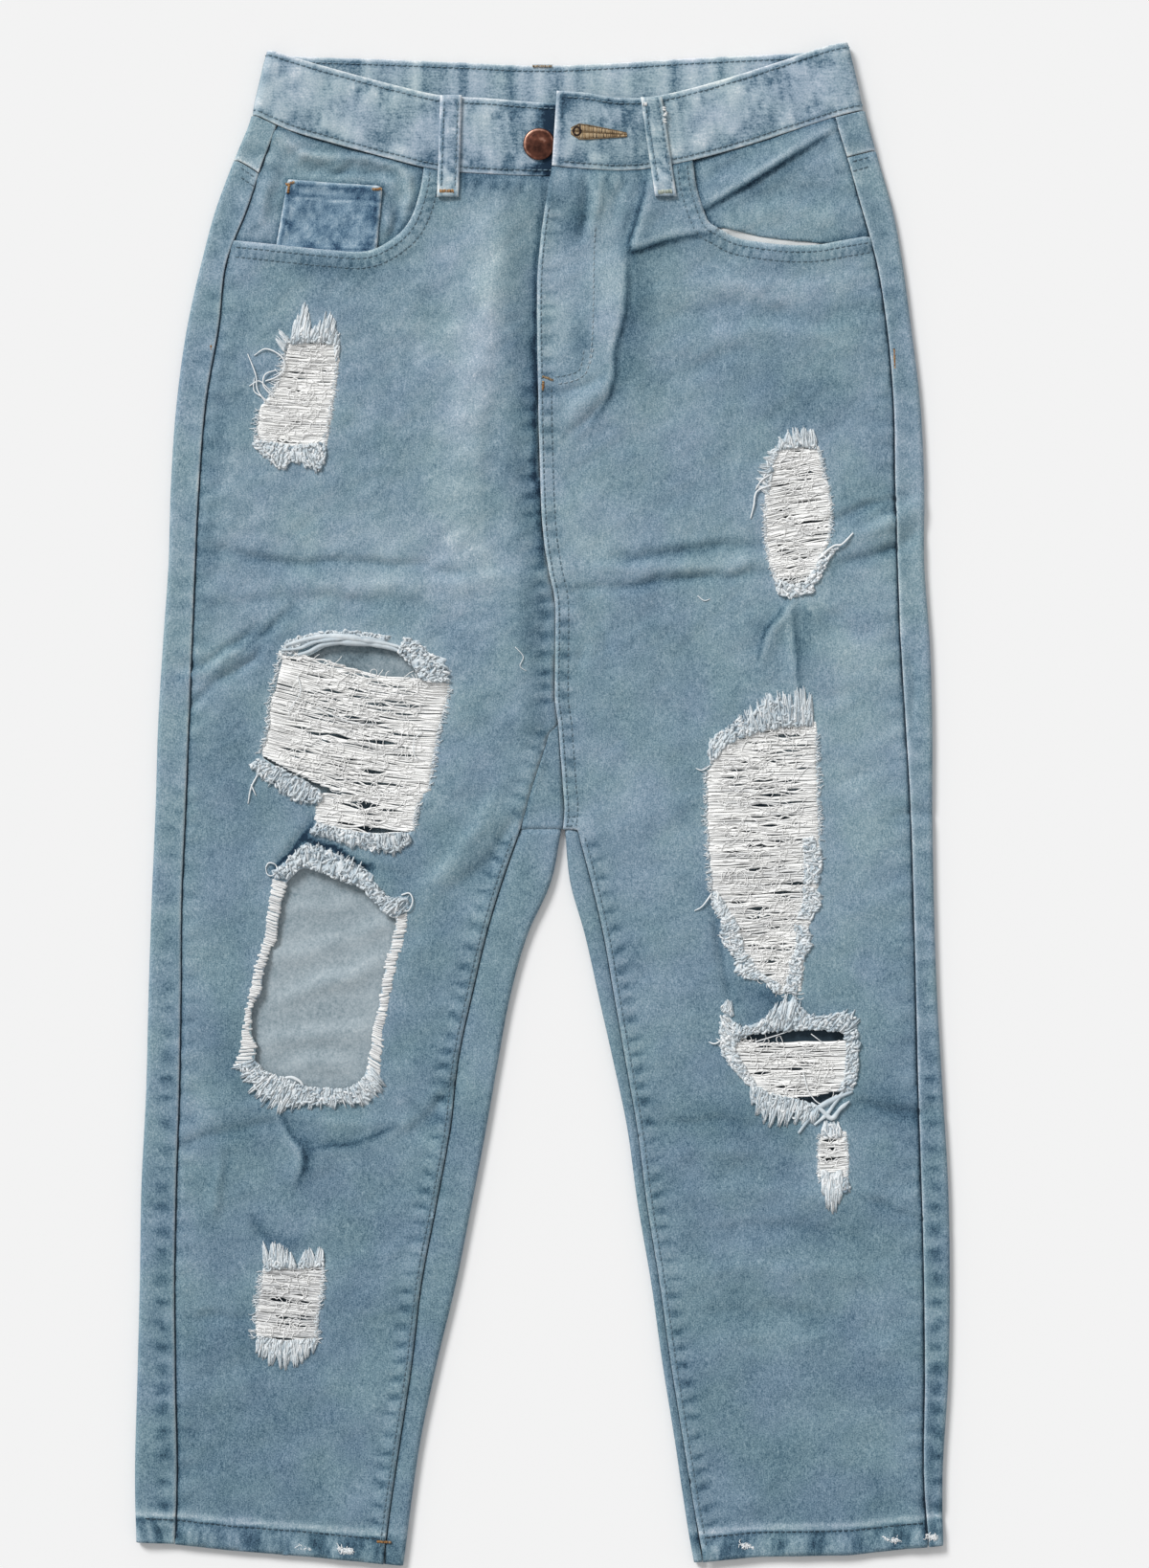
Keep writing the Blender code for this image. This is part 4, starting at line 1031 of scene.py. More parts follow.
def add_back(side):
    """A back panel: sections of cloth wrapped from the outseam round to the back, then to the inseam."""
    y_out, y_fold, y_centre = YOKE_SEAM[side]
    level = np.concatenate((np.arange(y_centre - GAP, CROTCH[1], -4), np.arange(CROTCH[1], -470, -4), [-470]))
    y = level[:, None]
    top = smooth_step(y, 290, y_centre)
    x_back = np.where(y > CROTCH[1], back_seam_x(y) - SIGN[side] * GAP, inner_fold_x(side, y))

    def lower_y(x):
        return y + (yoke_seam_y(side, x) - y_centre) * top

    grid = wrap(side, y + (y_out - y_centre) * top, y + (y_fold - y_centre) * top, lower_y, x_back)
    legs = np.flatnonzero(level <= CROTCH[1])
    inner = turn_in(side, y[legs])
    low = smooth_step(-y, 430, 470)
    grid[..., 1] += (hem_y(side, grid[..., 0]) + 470) * low
    inner[..., 1] += (hem_y(side, inner[..., 0]) + 470) * low[legs]
    inner = np.concatenate((grid[legs, -1:], inner), axis=1)
    pieces = [grid, inner]
    if side == "right":
        pieces.append(flap(np.linspace(FLAP_TOP_Y, CROTCH[1], 24)[:, None]))
    points, faces = [], []
    for piece in pieces:
        rows, columns = piece.shape[:2]
        faces += grid_faces(rows, columns, sum(len(done) for done in points), flip=side == "right")
        points.append(piece.reshape(-1, 3))
    points = np.vstack(points)
    obj = add_cloth("back_" + side, points, faces, strip_marks(side, points))
    whole = np.concatenate((grid[legs], inner[:, 1:]), axis=1)
    declare_grid(obj, grid, sum(patch_area(piece) for piece in pieces), ["back_pocket_" + side], whole)
    return obj


def yoke_seam_y(side, x):
    """The yoke's lower seam on the lower layer, straight from the side fold to the centre back."""
    _, fold_y, centre_y = YOKE_SEAM[side]
    return centre_y + x / fold_x(side, fold_y, DENIM) * (fold_y - centre_y)


def band_back_y(side, x):
    """The waistband's lower edge on the back at x."""
    low = BAND_FOLDS[side][1]
    places = sorted([(row[0], row[2]) for row in BAND_BACK] + [(fold_x(side, low, BAND_CLOTH), low)])
    return np.interp(x, *zip(*places))


def add_yoke(side):
    """A back yoke: sections wrapped from the band down to the yoke seam, evenly shared between them."""
    y_out, y_fold, _ = YOKE_SEAM[side]
    down = np.linspace(0, 1, 24)[:, None]
    seam = outseam_x(side, OUTSEAM_TOP_Y[side])
    band = band_lower_edge(side)
    top_out = between_x(band, seam, seam + 0.5)[0, 1] - GAP
    top_fold = BAND_FOLDS[side][1] - GAP

    def lower_y(x):
        return (1 - down) * (band_back_y(side, x) - GAP) + down * (yoke_seam_y(side, x) + GAP)

    grid = wrap(side, top_out + down * (y_out + GAP - top_out), top_fold + down * (y_fold + GAP - top_fold),
                lower_y, -SIGN[side] * GAP)
    points = grid.reshape(-1, 3)
    wear = strip_marks(side, points) + 0.3 * bell(((1 - down) + 0 * grid[..., 0]) * 20, 1.6).ravel()
    obj = add_cloth("yoke_" + side, points, grid_faces(*grid.shape[:2], flip=side == "right"), wear)
    declare_grid(obj, grid, patch_area(grid), ["belt_loop_back_" + side])
    return obj


def add_flat(name, loop, height, thickness, slot_name, kinds, wear=None, step=2.0, folds=()):
    """A patch of cloth cut to a closed outline and lifted to height(x, y), with the marks of wear and of
    painted shade that it is given.
    """
    loop = np.asarray(loop, float)
    x, y, faces, _ = clipped_grid([loop], step, folds)
    _, _, gap = nearest_foot(x, y, [loop])
    worn = wear(x, y, gap) if wear else 0 * x
    obj = add_cloth(name, np.column_stack((x, y, height(x, y))), faces, worn, thickness, kinds, slot_name)
    declare_patch(loop)
    return obj


def facing_loop(side):
    """A pocket facing's outline: along the band, down the outseam and back behind the mouth."""
    seam = outseam_x(side, OUTSEAM_TOP_Y[side])
    band = between_x(band_lower_edge(side), FACING_INNER_X[side], seam)
    outseam = down_line(outseam_x, side, OUTSEAM_TOP_Y[side] - 4, FACING_LOWEST_Y[side])
    return np.vstack((band, outseam, FACING_CORNERS[side]))


def add_facing(side):
    """A pocket facing, under the upper layer by the cloth's thickness and more, with its own folds."""

    def height(x, y):
        folds = strokes(x, y, FACING_CREASES[side]) + laps(x, y, FACING_LAPS[side])
        edge = np.abs(x - outseam_x(side, y))
        return front_height(side, x, y) - 1.7 * smooth_step(edge, 0, 30) - 0.5 + folds

    def wear(x, y, gap):
        edge = np.abs(x - outseam_x(side, y))
        mouth, _, _ = follow(x, y, mouth_line(side))
        band, _, _ = follow(x, y, band_lower_edge(side))
        coin, _, _ = follow(x, y, closed(np.array(COIN_POCKET, float)))
        coin_shadow = bell(coin, 1.8) * (side == "right")
        folds = 0.065 * strokes(x, y, FACING_CREASES[side]) + lap_shadow_and_highlight(x, y, FACING_LAPS[side])
        # Darker along the outseam, beside the mouth, under the band and round the coin pocket: painted shadow
        # where edges lie over the facing. The folds' strokes paint crests paler and troughs darker: painted
        # shade
        return (shade(side, x, y) - 0.24 * bell(edge, 1.6) - 0.26 * bell(mouth, 3)
                - 0.26 * bell(band, 2.4) - 0.22 * coin_shadow + folds + 0.01
                + 0.05 * grain(x / 4, y / 5, 55))

    return add_flat("pocket_facing_" + side, facing_loop(side), height, DENIM, "indigo_denim",
                    ("denim", "inside"), wear, step=1.9, folds=lap_lines(FACING_LAPS[side]))


def add_coin_pocket():
    """The coin pocket: a small patch a cloth's thickness above the facing, with turned edges.

    Its wear has a pale rim, a dark stitch row inside that, and a dark and a pale row below the top edge.
    """
    loop = spaced(closed(np.array(COIN_POCKET, float)), 4)[:-1]

    def height(x, y):
        _, _, gap = nearest_foot(x, y, [loop])
        return front_height("right", x, y) - 0.9 + 0.5 * (1 - smooth_step(gap, 3, 6)) - 0.5 * np.exp(-gap)

    def wear(x, y, gap):
        (left_x, left_y), (right_x, right_y) = COIN_POCKET[:2]
        top = left_y - (x - left_x) * (left_y - right_y) / (right_x - left_x) - y
        lumps = 0.12 * (blotched(x + 0.3 * y, y, 6, 51) - 0.4) * bell(gap - 5, 4)
        return (0.38 * bell(gap, 1.1) - 0.2 * bell(gap - 2.9, 1.0) + lumps
                - 0.03 * smooth_step(gap, 6, 14) + 0.10 * grain(x / 5, y / 6, 53)
                + 0.14 * grain(x / 1.8, y / 2.2, 54)
                - 0.2 * bell(top - 9, 1.2) + 0.2 * bell(top - 11, 0.9) - 0.04)

    return add_flat("coin_pocket", loop, height, DENIM, "indigo_denim", ("deep", "inside"),
                    wear, step=1.6)


def add_lining():
    """The strip of pocket lining that the left mouth shows."""

    def height(x, y):
        return front_height("left", x, y) - 2.7 + 0.3 * grain(x / 9, y / 9, 61)

    return add_flat("pocket_lining_left", LINING, height, 1.0, "pocket_lining", ("lining", "lining"))


def add_back_pocket(side):
    """A patch pocket on the back of the jeans, flat on the floor."""
    loop = spaced(closed(np.array([(SIGN[side] * x, y) for x, y in BACK_POCKET], float)), 4)[:-1]

    def wear(x, y, gap):
        return 0.2 * bell(gap, 1.6) + 0.12 * grain(x / 6, y / 6, 52) * bell(gap, 8)

    return add_flat("back_pocket_" + side, loop, lambda x, y: 0 * x + DENIM / 2, DENIM, "indigo_denim",
                    ("denim", "inside"), wear, step=3.5)


def band_height(side, x):
    """Middle of the waistband's front, raised over the button on the left."""
    places, rises = zip(*TAB_RISE)
    rise = np.interp(x, places, rises) if side == "left" else 0
    return top_height(x, BAND_MIDDLE_Y) + 0.6 + rise + 0.4


def band_stations():
    """The waistband's top and bottom edges from the underlap round the back to the tab: six numbers a row."""
    rows = []
    for side in SIDES:
        front = [(xt, yt, band_height(side, xt), xb, yb + GAP, band_height(side, xb))
                 for xt, yt, xb, yb in BAND_FRONT[side]]
        base = STACK + BAND_CLOTH / 2
        turn = np.linspace(0, math.pi, 7)
        top_y, low_y = BAND_FOLDS[side]
        last = front[-1][2] - base
        fold = [(fold_x(side, top_y, BAND_CLOTH) - SIGN[side] * FOLD_RADIUS * math.sin(t), top_y,
                 base + last * (1 + math.cos(t)) / 2,
                 fold_x(side, low_y, BAND_CLOTH) - SIGN[side] * FOLD_RADIUS * math.sin(t), low_y + GAP,
                 base + last * (1 + math.cos(t)) / 2) for t in turn]
        rows.append(front + fold)
    base = STACK + BAND_CLOTH / 2
    back = [(x, top, base, x, low + GAP, base) for x, top, low in BAND_BACK]
    return np.array(rows[0] + back + rows[1][::-1], float)


def ring(grid, run, thickness, lumps):
    """A closed band of cloth about a middle grid: each place moved out along the normal and back again.

    Round the ring, the share across is half of 1 less the cosine, and the half thickness is the sine's
    magnitude to a small power, so that both edges are round. The ends close as a quarter circle does.
    """
    rows, columns = grid.shape[:2]
    normal = normals(grid)
    angle = np.linspace(0, 2 * math.pi, 2 * columns, endpoint=False)
    place = (1 - np.cos(angle)) / 2
    half = thickness / 2 * np.abs(np.sin(angle)) ** 0.4 * np.sign(np.sin(angle))
    end = np.minimum(run, run[-1] - run) / (thickness / 2)
    closing = np.sqrt(1 - np.clip(1 - end, 0, 1) ** 2)
    column = np.clip(place * (columns - 1), 0, columns - 1.001)
    low, share = column.astype(int), (column % 1)[:, None]
    lump = between(lumps, low, share[:, 0])
    size = half * closing[:, None] + np.where(half > 0, lump, 0) * closing[:, None]
    places = between(grid, low, share) + between(normal, low, share) * size[..., None]
    return places, np.broadcast_to(place, (rows, 2 * columns))


def ring_faces(rows, columns):
    """Faces of rings joined one to the next, each ring's last place joined to its first."""
    here = np.arange(rows - 1)[:, None] * columns + np.arange(columns)
    after = np.arange(rows - 1)[:, None] * columns + (np.arange(columns) + 1) % columns
    return np.stack((here, here + columns, after + columns, after), axis=-1).reshape(-1, 4).tolist()


def band_grid():
    """The waistband's middle: smooth stations along it, closer at its ends, straight from edge to edge."""
    stations = smooth_path(band_stations(), 3)
    run = lengths(stations[:, :3])
    near = np.array((0, 0.2, 0.6, 1.2, 2.2))
    at = np.concatenate((near, np.arange(4, run[-1] - 3, 2.9), run[-1] - near[::-1]))
    stations = read_path(stations, run, at)
    share = np.linspace(0, 1, 21)[None, :, None]
    return stations[:, None, 3:] * (1 - share) + stations[:, None, :3] * share, at


def roped(run, off, pitch, seed):
    """Blotches beside a seam, from -1 to 1: a sine along it, shifted by chance and made crisp."""
    phase = run / pitch + 0.30 * grain(run / (1.7 * pitch), off / (2 * pitch), seed)
    level = np.sin(2 * math.pi * phase) + 0.6 * grain(run / (2.3 * pitch), off / (3 * pitch), seed + 20)
    return smooth_step(level, -0.9, 0.0) * 2 - 1


def blotched(run, off, pitch, seed):
    """Blotches without a beat, from -1 to 1: random values, made crisp."""
    return smooth_step(grain(run / pitch, off / pitch * 0.6, seed), -0.3, 0.4) * 2 - 1


def band_marks(run, across, front):
    """The waistband's lumps and wear, from the distance along it and the share across it.

    Both edges are pale and have a groove where they are stitched. Blotches lie inside the grooves on the
    front, soft bars cross the back, the tab is darker towards its top, and the end under the tab is darker,
    partly with painted shadow of the tab.
    """
    low, high = BAND_WIDTH * across, BAND_WIDTH * (1 - across)
    edge = np.minimum(low, high)
    groove = bell(edge - 3.4, 1.0)
    below = blotched(run + 0.4 * low, low, 9, 71) * bell(low - 9, 6)
    above = blotched(run - 0.3 * high, high, 7, 72) * bell(high - 9, 6)
    bars = grain(run / 6, 0.3 * across, 73)
    streaks = grain((run + 0.9 * low) / 3.5, low / 22, 75)
    lumps = front * (0.30 * below + 0.24 * above) + 0.12 * bars - 0.4 * groove
    wear = front * (0.18 * below + 0.16 * above + 0.08 * grain(run / 18, across * 2, 74) + 0.12 * streaks)
    wear += (1 - front) * 0.27 * bars - 0.19 * groove + 0.44 * bell(high, 1.3)
    wear += 0.28 * bell(low, 0.9)
    tab = run.max() - run
    wear += 0.48 * bell(tab, 1.6) - 0.26 * bell(tab - 4.2, 1.2)
    wear += 0.06 * roped(run, low, 7, 76) * front
    # The tab darker towards its top; the end under it darker towards the button, partly darker cloth and
    # partly painted shadow of the tab; and at the return a painted shadow line beside the tab's edge
    wear -= (0.01 + 0.23 * across) * (1 - smooth_step(tab, 50, 60)) + 0.24 * (1 - smooth_step(run, 30, 90))
    return lumps, wear - 0.4 * bell(run - 31, 4.5)


def add_waistband():
    """The waistband: one closed band of double cloth, lumpy between its stitch rows."""
    grid, run = band_grid()
    across = np.linspace(0, 1, grid.shape[1])
    front = smooth_step(grid[..., 2], 3.3, 5.0)
    lumps, _ = band_marks(run[:, None], across, front)
    points, place = ring(grid, run, BAND_CLOTH, lumps)
    rows, columns = place.shape
    _, wear = band_marks(run[:, None], place, front[:, :1])
    obj = add_mesh("waistband", points.reshape(-1, 3), ring_faces(rows, columns), (material("band"),),
                   {"wear_and_shade": wear.ravel()})
    settle(obj, "waistband_denim", "waistband")
    declare_grid(obj, grid, patch_area(grid), ["front_right", "front_left", "yoke_right", "yoke_left"])
    return obj


def loop_floor(side, x, y, share):
    """What a front belt loop lies on: the band, and from most of the way down the panel below it."""
    drop = smooth_step(share, 0.70, 0.84)
    return ((band_height(side, x) + BAND_CLOTH / 2) * (1 - drop)
            + (front_height(side, x, y) + DENIM / 2) * drop)


def add_front_loop(side):
    """A belt loop: a narrow strip over the front of the band, easing down to the panel below it."""
    (x_top, y_top), (x_low, y_low) = LOOP_ENDS[side]
    share = np.linspace(0, 1, 34)[:, None]
    across = np.linspace(-0.5, 0.5, 11)
    y = y_top + share * (y_low - y_top) + 0 * across
    x = x_top + share * (x_low - x_top) + across * LOOP_WIDTH
    round_off = 1.0 - 0.9 * np.abs(2 * across) ** 6 - 0.25 * bell(np.abs(across) - 0.33, 0.05)
    z = loop_floor(side, x, y, share) + LOOP_CLOTH / 2 + 0.2 + 0.7 * round_off
    z += 0.15 * grain(y / 4, across * 6, 81)
    wear = (0.36 * bell((0.5 - np.abs(across)) * LOOP_WIDTH, 1.4) + 0.24 * grain(y / 5, across * 5, 82)
            - 0.22 * bell(np.abs(across) - 0.33, 0.07) + 0.15 * grain(y / 1.7, across * 8, 83)
            - 0.2 * bell(y - y_top + 6, 2) + 0.2 * bell(y - y_top, 3)
            + 0.2 * bell(y - y_low - 3, 4))
    grid = np.stack((x, y, z), axis=-1)
    obj = add_cloth("belt_loop_front_" + side, grid.reshape(-1, 3), grid_faces(*grid.shape[:2]), wear.ravel(),
                    LOOP_CLOTH, ("band", "inside"), "waistband_denim")
    declare_grid(obj, grid, patch_area(grid), ["waistband"])
    return obj


def add_back_loop(name, x):
    """A belt loop under the back of the band, flat on the floor."""
    share, across = np.linspace(0, 1, 16)[:, None], np.linspace(-0.5, 0.5, 7)
    flat = 0 * share + 0 * across
    grid = np.stack((x + across * LOOP_WIDTH + flat, BACK_LOOP_TOP - share * BACK_LOOP_LENGTH + flat,
                     DENIM / 2 + flat), axis=-1)
    wear = 0.2 * np.exp(-(((0.5 - np.abs(across)) * 8) ** 2)) + 0 * share
    obj = add_cloth("belt_loop_" + name, grid.reshape(-1, 3), grid_faces(*grid.shape[:2]), wear.ravel(),
                    DENIM, ("band", "inside"), "waistband_denim")
    declare_grid(obj, grid, patch_area(grid), ["floor"])
    return obj


def add_button():
    """The tack button: an outline of dome, rolled rim and shank turned about its own axis."""
    outline = smooth_path(((0, 2.7), (0.3, 2.62), (0.62, 2.3), (0.78, 2.0), (0.86, 2.02), (0.93, 1.9),
                           (1, 1.3), (0.96, 0.7), (0.8, 0.55), (0.4, 0.5), (0.4, 0), (0.01, 0)), 0.06)
    turn = np.linspace(0, 2 * math.pi, 48, endpoint=False)
    radius, rise = outline[:, 0] * BUTTON_RADIUS, outline[:, 1]
    x = BUTTON_CENTRE[0] + radius[:, None] * np.cos(turn)
    y = BUTTON_CENTRE[1] + radius[:, None] * np.sin(turn)
    base = band_height("right", BUTTON_CENTRE[0]) + BAND_CLOTH / 2 - 0.1
    z = base + rise[:, None] + 0 * turn
    rows, columns = x.shape
    faces = [list(reversed(face)) for face in ring_faces(rows, columns)]
    # The mark: a rub round the rim, and a painted highlight that makes the rim paler towards the lamp and
    # lights one side of the dome
    rim, dome = bell(outline[:, :1] - 0.9, 0.07), bell(outline[:, :1] - 0.35, 0.2)
    rub_and_glint = rim * (0.55 + 0.45 * np.cos(turn - 2.3)) + 0.4 * dome * np.cos(turn - 1.2)
    obj = add_mesh("button", np.stack((x, y, z), axis=-1).reshape(-1, 3), faces, (material("copper"),),
                   {"wear_and_shade": rub_and_glint.clip(0).ravel()})
    settle(obj, "button_copper", "button")
    return obj


# What each woven or worked finish is, its colour from dark to pale, and what the eye gets from it
FINISHES = {
    # Indigo warp over ecru weft in a twill, stone washed: cloudy, with paler slubs down the grain
    "denim": ("Indigo denim, twill woven and stone washed", 0.96, 0.20,
              ((0.0, "#1f3345"), (0.25, "#496678"), (0.5, "#7a94a2"), (0.75, "#a6b9c3"), (1.0, "#dde5e8")),
              ((34, 46, 34, 2, 0.10), (9, 12, 9, 3, 0.12), (2.6, 4.2, 3, 2, 0.22), (0.8, 3.2, 3, 1, 0.26),
               (0.75, 0.85, 0.8, 1, 0.66))),
    # The same cloth less washed: a clearer blue with paler slubs
    "deep": ("Indigo denim, twill woven and rinsed", 0.96, 0.22,
             ((0.0, "#1c2f49"), (0.25, "#45637c"), (0.5, "#7893a7"), (0.75, "#a4b8c6"), (1.0, "#dde5ea")),
             ((9, 12, 9, 3, 0.12), (2.6, 4.2, 3, 2, 0.28), (0.75, 0.85, 0.8, 1, 0.66))),
    # The same cloth along the waist, where the warp runs round the band
    "band": ("Indigo denim, washed double band", 0.96, 0.22,
             ((0.0, "#1f3345"), (0.25, "#506d80"), (0.5, "#92a8b5"), (0.75, "#b4c4cd"), (1.0, "#e2e9ec")),
             ((30, 20, 30, 1, 0.16), (7, 5, 7, 2, 0.16), (6, 1.0, 5, 1, 0.30), (1.1, 1.1, 1.1, 1, 0.55))),
    # The back of the twill, where the ecru weft floats: paler and greyer
    "inside": ("Denim back, ecru weft face", 0.96, 0.45,
               ((0.0, "#34434e"), (0.25, "#74868f"), (0.5, "#a2afb6"), (0.75, "#c3cccf"), (1.0, "#e8ebea")),
               ((40, 40, 40, 1, 0.14), (9, 9, 9, 2, 0.16), (2.4, 3.2, 2.4, 2, 0.28),
                (1.1, 1.1, 1.1, 1, 0.36))),
    # Plain cotton, undyed
    "lining": ("Cotton drill, bleached", 0.95, 0.12,
               ((0.0, "#8f969b"), (0.5, "#d9dcdc"), (1.0, "#f4f4f2")),
               ((12, 12, 12, 1, 0.2), (0.9, 0.9, 0.9, 1, 0.25))),
    # Weft yarns left when the warp is worn away: cream with grey hollows
    "yarn": ("Cotton weft, ring spun and bared", 0.95, 0.10,
             ((0.0, "#a9abad"), (0.3, "#e0e1e1"), (0.6, "#f8f8f6"), (1.0, "#ffffff")),
             ((6, 3, 6, 1, 0.30), (0.8, 0.8, 0.8, 1, 0.20))),
    # Broken warp and weft ends: pale blue and white mixed
    "fray": ("Cotton ends, frayed and washed", 0.95, 0.10,
             ((0.0, "#6f8494"), (0.3, "#a9b8c2"), (0.6, "#d0d9de"), (1.0, "#f2f4f5")),
             ((5, 5, 5, 1, 0.40), (0.9, 0.9, 0.9, 1, 0.25))),
    # The same ends matted by washing, drawn as one soft mass with hollows between its lumps
    "felt": ("Cotton ends, matted by washing", 0.97, 0.70,
             ((0.0, "#5f788a"), (0.3, "#9fb1bd"), (0.6, "#ccd6dc"), (1.0, "#eef1f2")),
             ((7, 7, 7, 1, 0.30), (1.8, 1.8, 1.8, 2, 0.55), (0.8, 0.8, 0.8, 1, 0.45))),
    # Corespun sewing thread in a washed blue grey
    "thread": ("Sewing thread, washed blue grey", 0.85, 0.10,
               ((0.0, "#1c2a37"), (0.5, "#6f8897"), (1.0, "#b9c7cf")),
               ((7, 7, 7, 1, 0.5),)),
    # Topstitch thread left bright at the bar tacks
    "tack": ("Sewing thread, faded orange", 0.85, 0.10,
             ((0.0, "#5d4632"), (0.5, "#ad7f4f"), (1.0, "#dcc094")),
             ((3, 3, 3, 1, 0.6),)),
    # The same thread bleached by wear
    "pale": ("Sewing thread, bleached", 0.85, 0.10,
             ((0.0, "#6f7a70"), (0.5, "#b4bcae"), (1.0, "#e4e6dc")),
             ((3, 3, 3, 1, 0.6),)),
    # Buttonhole thread worked over a gimp, tan
    "hole": ("Buttonhole thread, tan", 0.85, 0.10,
             ((0.0, "#2b2220"), (0.5, "#a08868"), (1.0, "#d2bd9c")),
             ((4, 4, 4, 1, 0.6),)),
}


# Washed cloth turns a little green in places and blue in others: their size, and each tint's place on the
# noise with its linear colour. Copper's colours stand with their places on its tone
TINT_SIZE = 42
CLOTH_TINTS = ((0.36, (0.975, 0.985, 0.955)), (0.64, (0.98, 0.955, 1.0)))
# The palest copper shows where the button's mark is high: its worn rim and its painted highlight
COPPER_TONES = ((0.25, "#341d17"), (0.6, "#5f3a2e"), (1.0, "#b58a78"))


def linear(colour):
    """A written colour's light: each part over 12.92 near black, and otherwise a power of 2.4."""
    parts = [int(colour[i:i + 2], 16) / 255 for i in (1, 3, 5)]
    return tuple(part / 12.92 if part <= 0.04045 else ((part + 0.055) / 1.055) ** 2.4 for part in parts)


def add_node(tree, kind, settings=None, inputs=None):
    """Adds a node, gives it its settings, and sets or links its inputs."""
    node = tree.nodes.new("ShaderNode" + kind)
    for key, value in (settings or {}).items():
        setattr(node, key, value)
    for key, value in (inputs or {}).items():
        if isinstance(value, bpy.types.NodeSocket):
            tree.links.new(value, node.inputs[key])
        else:
            node.inputs[key].default_value = value
    return node


def add_ramp(tree, factor, stops):
    """A colour picked between stops, each a place from 0 to 1 and a linear colour."""
    ramp = add_node(tree, "ValToRGB", {}, {"Fac": factor})
    steps = ramp.color_ramp.elements
    while len(steps) < len(stops):
        steps.new(0.5)
    for step, (at, colour) in zip(steps, stops):
        step.position, step.color = at, (*colour, 1)
    return ramp.outputs[0]


def add_weighted(tree, start, parts):
    """A sum of values, each times its weight: a chain of multiply and add."""
    total = start
    for value, weight in parts:
        inputs = {0: value, 1: weight, 2: total}
        total = add_node(tree, "Math", {"operation": "MULTIPLY_ADD"}, inputs).outputs[0]
    return total


@functools.lru_cache(None)
def material(key):
    """One of the finishes. Its tone is half, plus its grain's noises, plus the piece's own mark of wear and
    painted shade.

    The tone picks a colour between dark and pale, a slow noise turns that colour towards blue or grey green,
    and the finer noises raise the surface.
    """
    if key == "copper":
        return copper()
    name, roughness, relief, colours, grains = FINISHES[key]
    finish = bpy.data.materials.new(name)
    finish.use_nodes = True
    tree = finish.node_tree
    place = add_node(tree, "TexCoord").outputs["Object"]
    noises = []
    for *size, detail, weight in grains:
        spread = add_node(tree, "Mapping", {}, {"Vector": place, "Scale": [1 / (part * MM) for part in size]})
        noise = add_node(tree, "TexNoise", {}, {"Vector": spread.outputs[0], "Scale": 1, "Detail": detail})
        noises.append((noise.outputs[0], weight))
    wear = add_node(tree, "Attribute", {"attribute_name": "wear_and_shade"}).outputs["Fac"]
    base = 0.5 - sum(weight for _, weight in noises) / 2
    tone = add_weighted(tree, base, [*noises, (wear, 1.0)])
    colour = add_ramp(tree, tone, [(at, linear(colour)) for at, colour in colours])
    if key in ("denim", "band"):
        hue = add_node(tree, "TexNoise", {}, {"Vector": place, "Scale": 1 / (TINT_SIZE * MM), "Detail": 2})
        turn = add_ramp(tree, hue.outputs[0], CLOTH_TINTS)
        colour = add_node(tree, "Mix", {"data_type": "RGBA", "blend_type": "MULTIPLY"},
                          {0: 1.0, 6: colour, 7: turn}).outputs[2]
    raised = add_weighted(tree, 0.0, noises[1:])
    bump = add_node(tree, "Bump", {}, {"Height": raised, "Strength": 0.6, "Distance": relief * MM})
    shader = tree.nodes["Principled BSDF"]
    tree.links.new(colour, shader.inputs["Base Color"])
    tree.links.new(bump.outputs[0], shader.inputs["Normal"])
    shader.inputs["Roughness"].default_value = roughness
    shader.inputs["Specular IOR Level"].default_value = 0.15
    finish.diffuse_color = (*linear(colours[len(colours) // 2][1]), 1)
    return finish


def copper():
    """Antiqued copper, stamped and tumbled: brown in its hollows, red where it is worn, and paler still at
    the painted highlight that the button's mark carries.
    """
    finish = bpy.data.materials.new("Copper, stamped and antiqued")
    finish.use_nodes = True
    tree = finish.node_tree
    place = add_node(tree, "TexCoord").outputs["Object"]
    patina = add_node(tree, "TexNoise", {}, {"Vector": place, "Scale": 1 / (3 * MM), "Detail": 3})
    scratch = add_node(tree, "TexNoise", {}, {"Vector": place, "Scale": 1 / (0.6 * MM), "Detail": 2})
    rub_and_glint = add_node(tree, "Attribute", {"attribute_name": "wear_and_shade"}).outputs["Fac"]
    tone = add_weighted(tree, 0.0, [(patina.outputs[0], 0.8), (rub_and_glint, 0.6)])
    colour = add_ramp(tree, tone, [(at, linear(colour)) for at, colour in COPPER_TONES])
    rough = add_weighted(tree, 0.18, [(patina.outputs[0], 0.2), (scratch.outputs[0], 0.1)])
    bump = add_node(tree, "Bump", {}, {"Height": scratch.outputs[0], "Strength": 0.2, "Distance": 0.03 * MM})
    shader = tree.nodes["Principled BSDF"]
    for key, value in (("Base Color", colour), ("Roughness", rough), ("Normal", bump.outputs[0])):
        tree.links.new(value, shader.inputs[key])
    shader.inputs["Metallic"].default_value = 0.85
    return finish


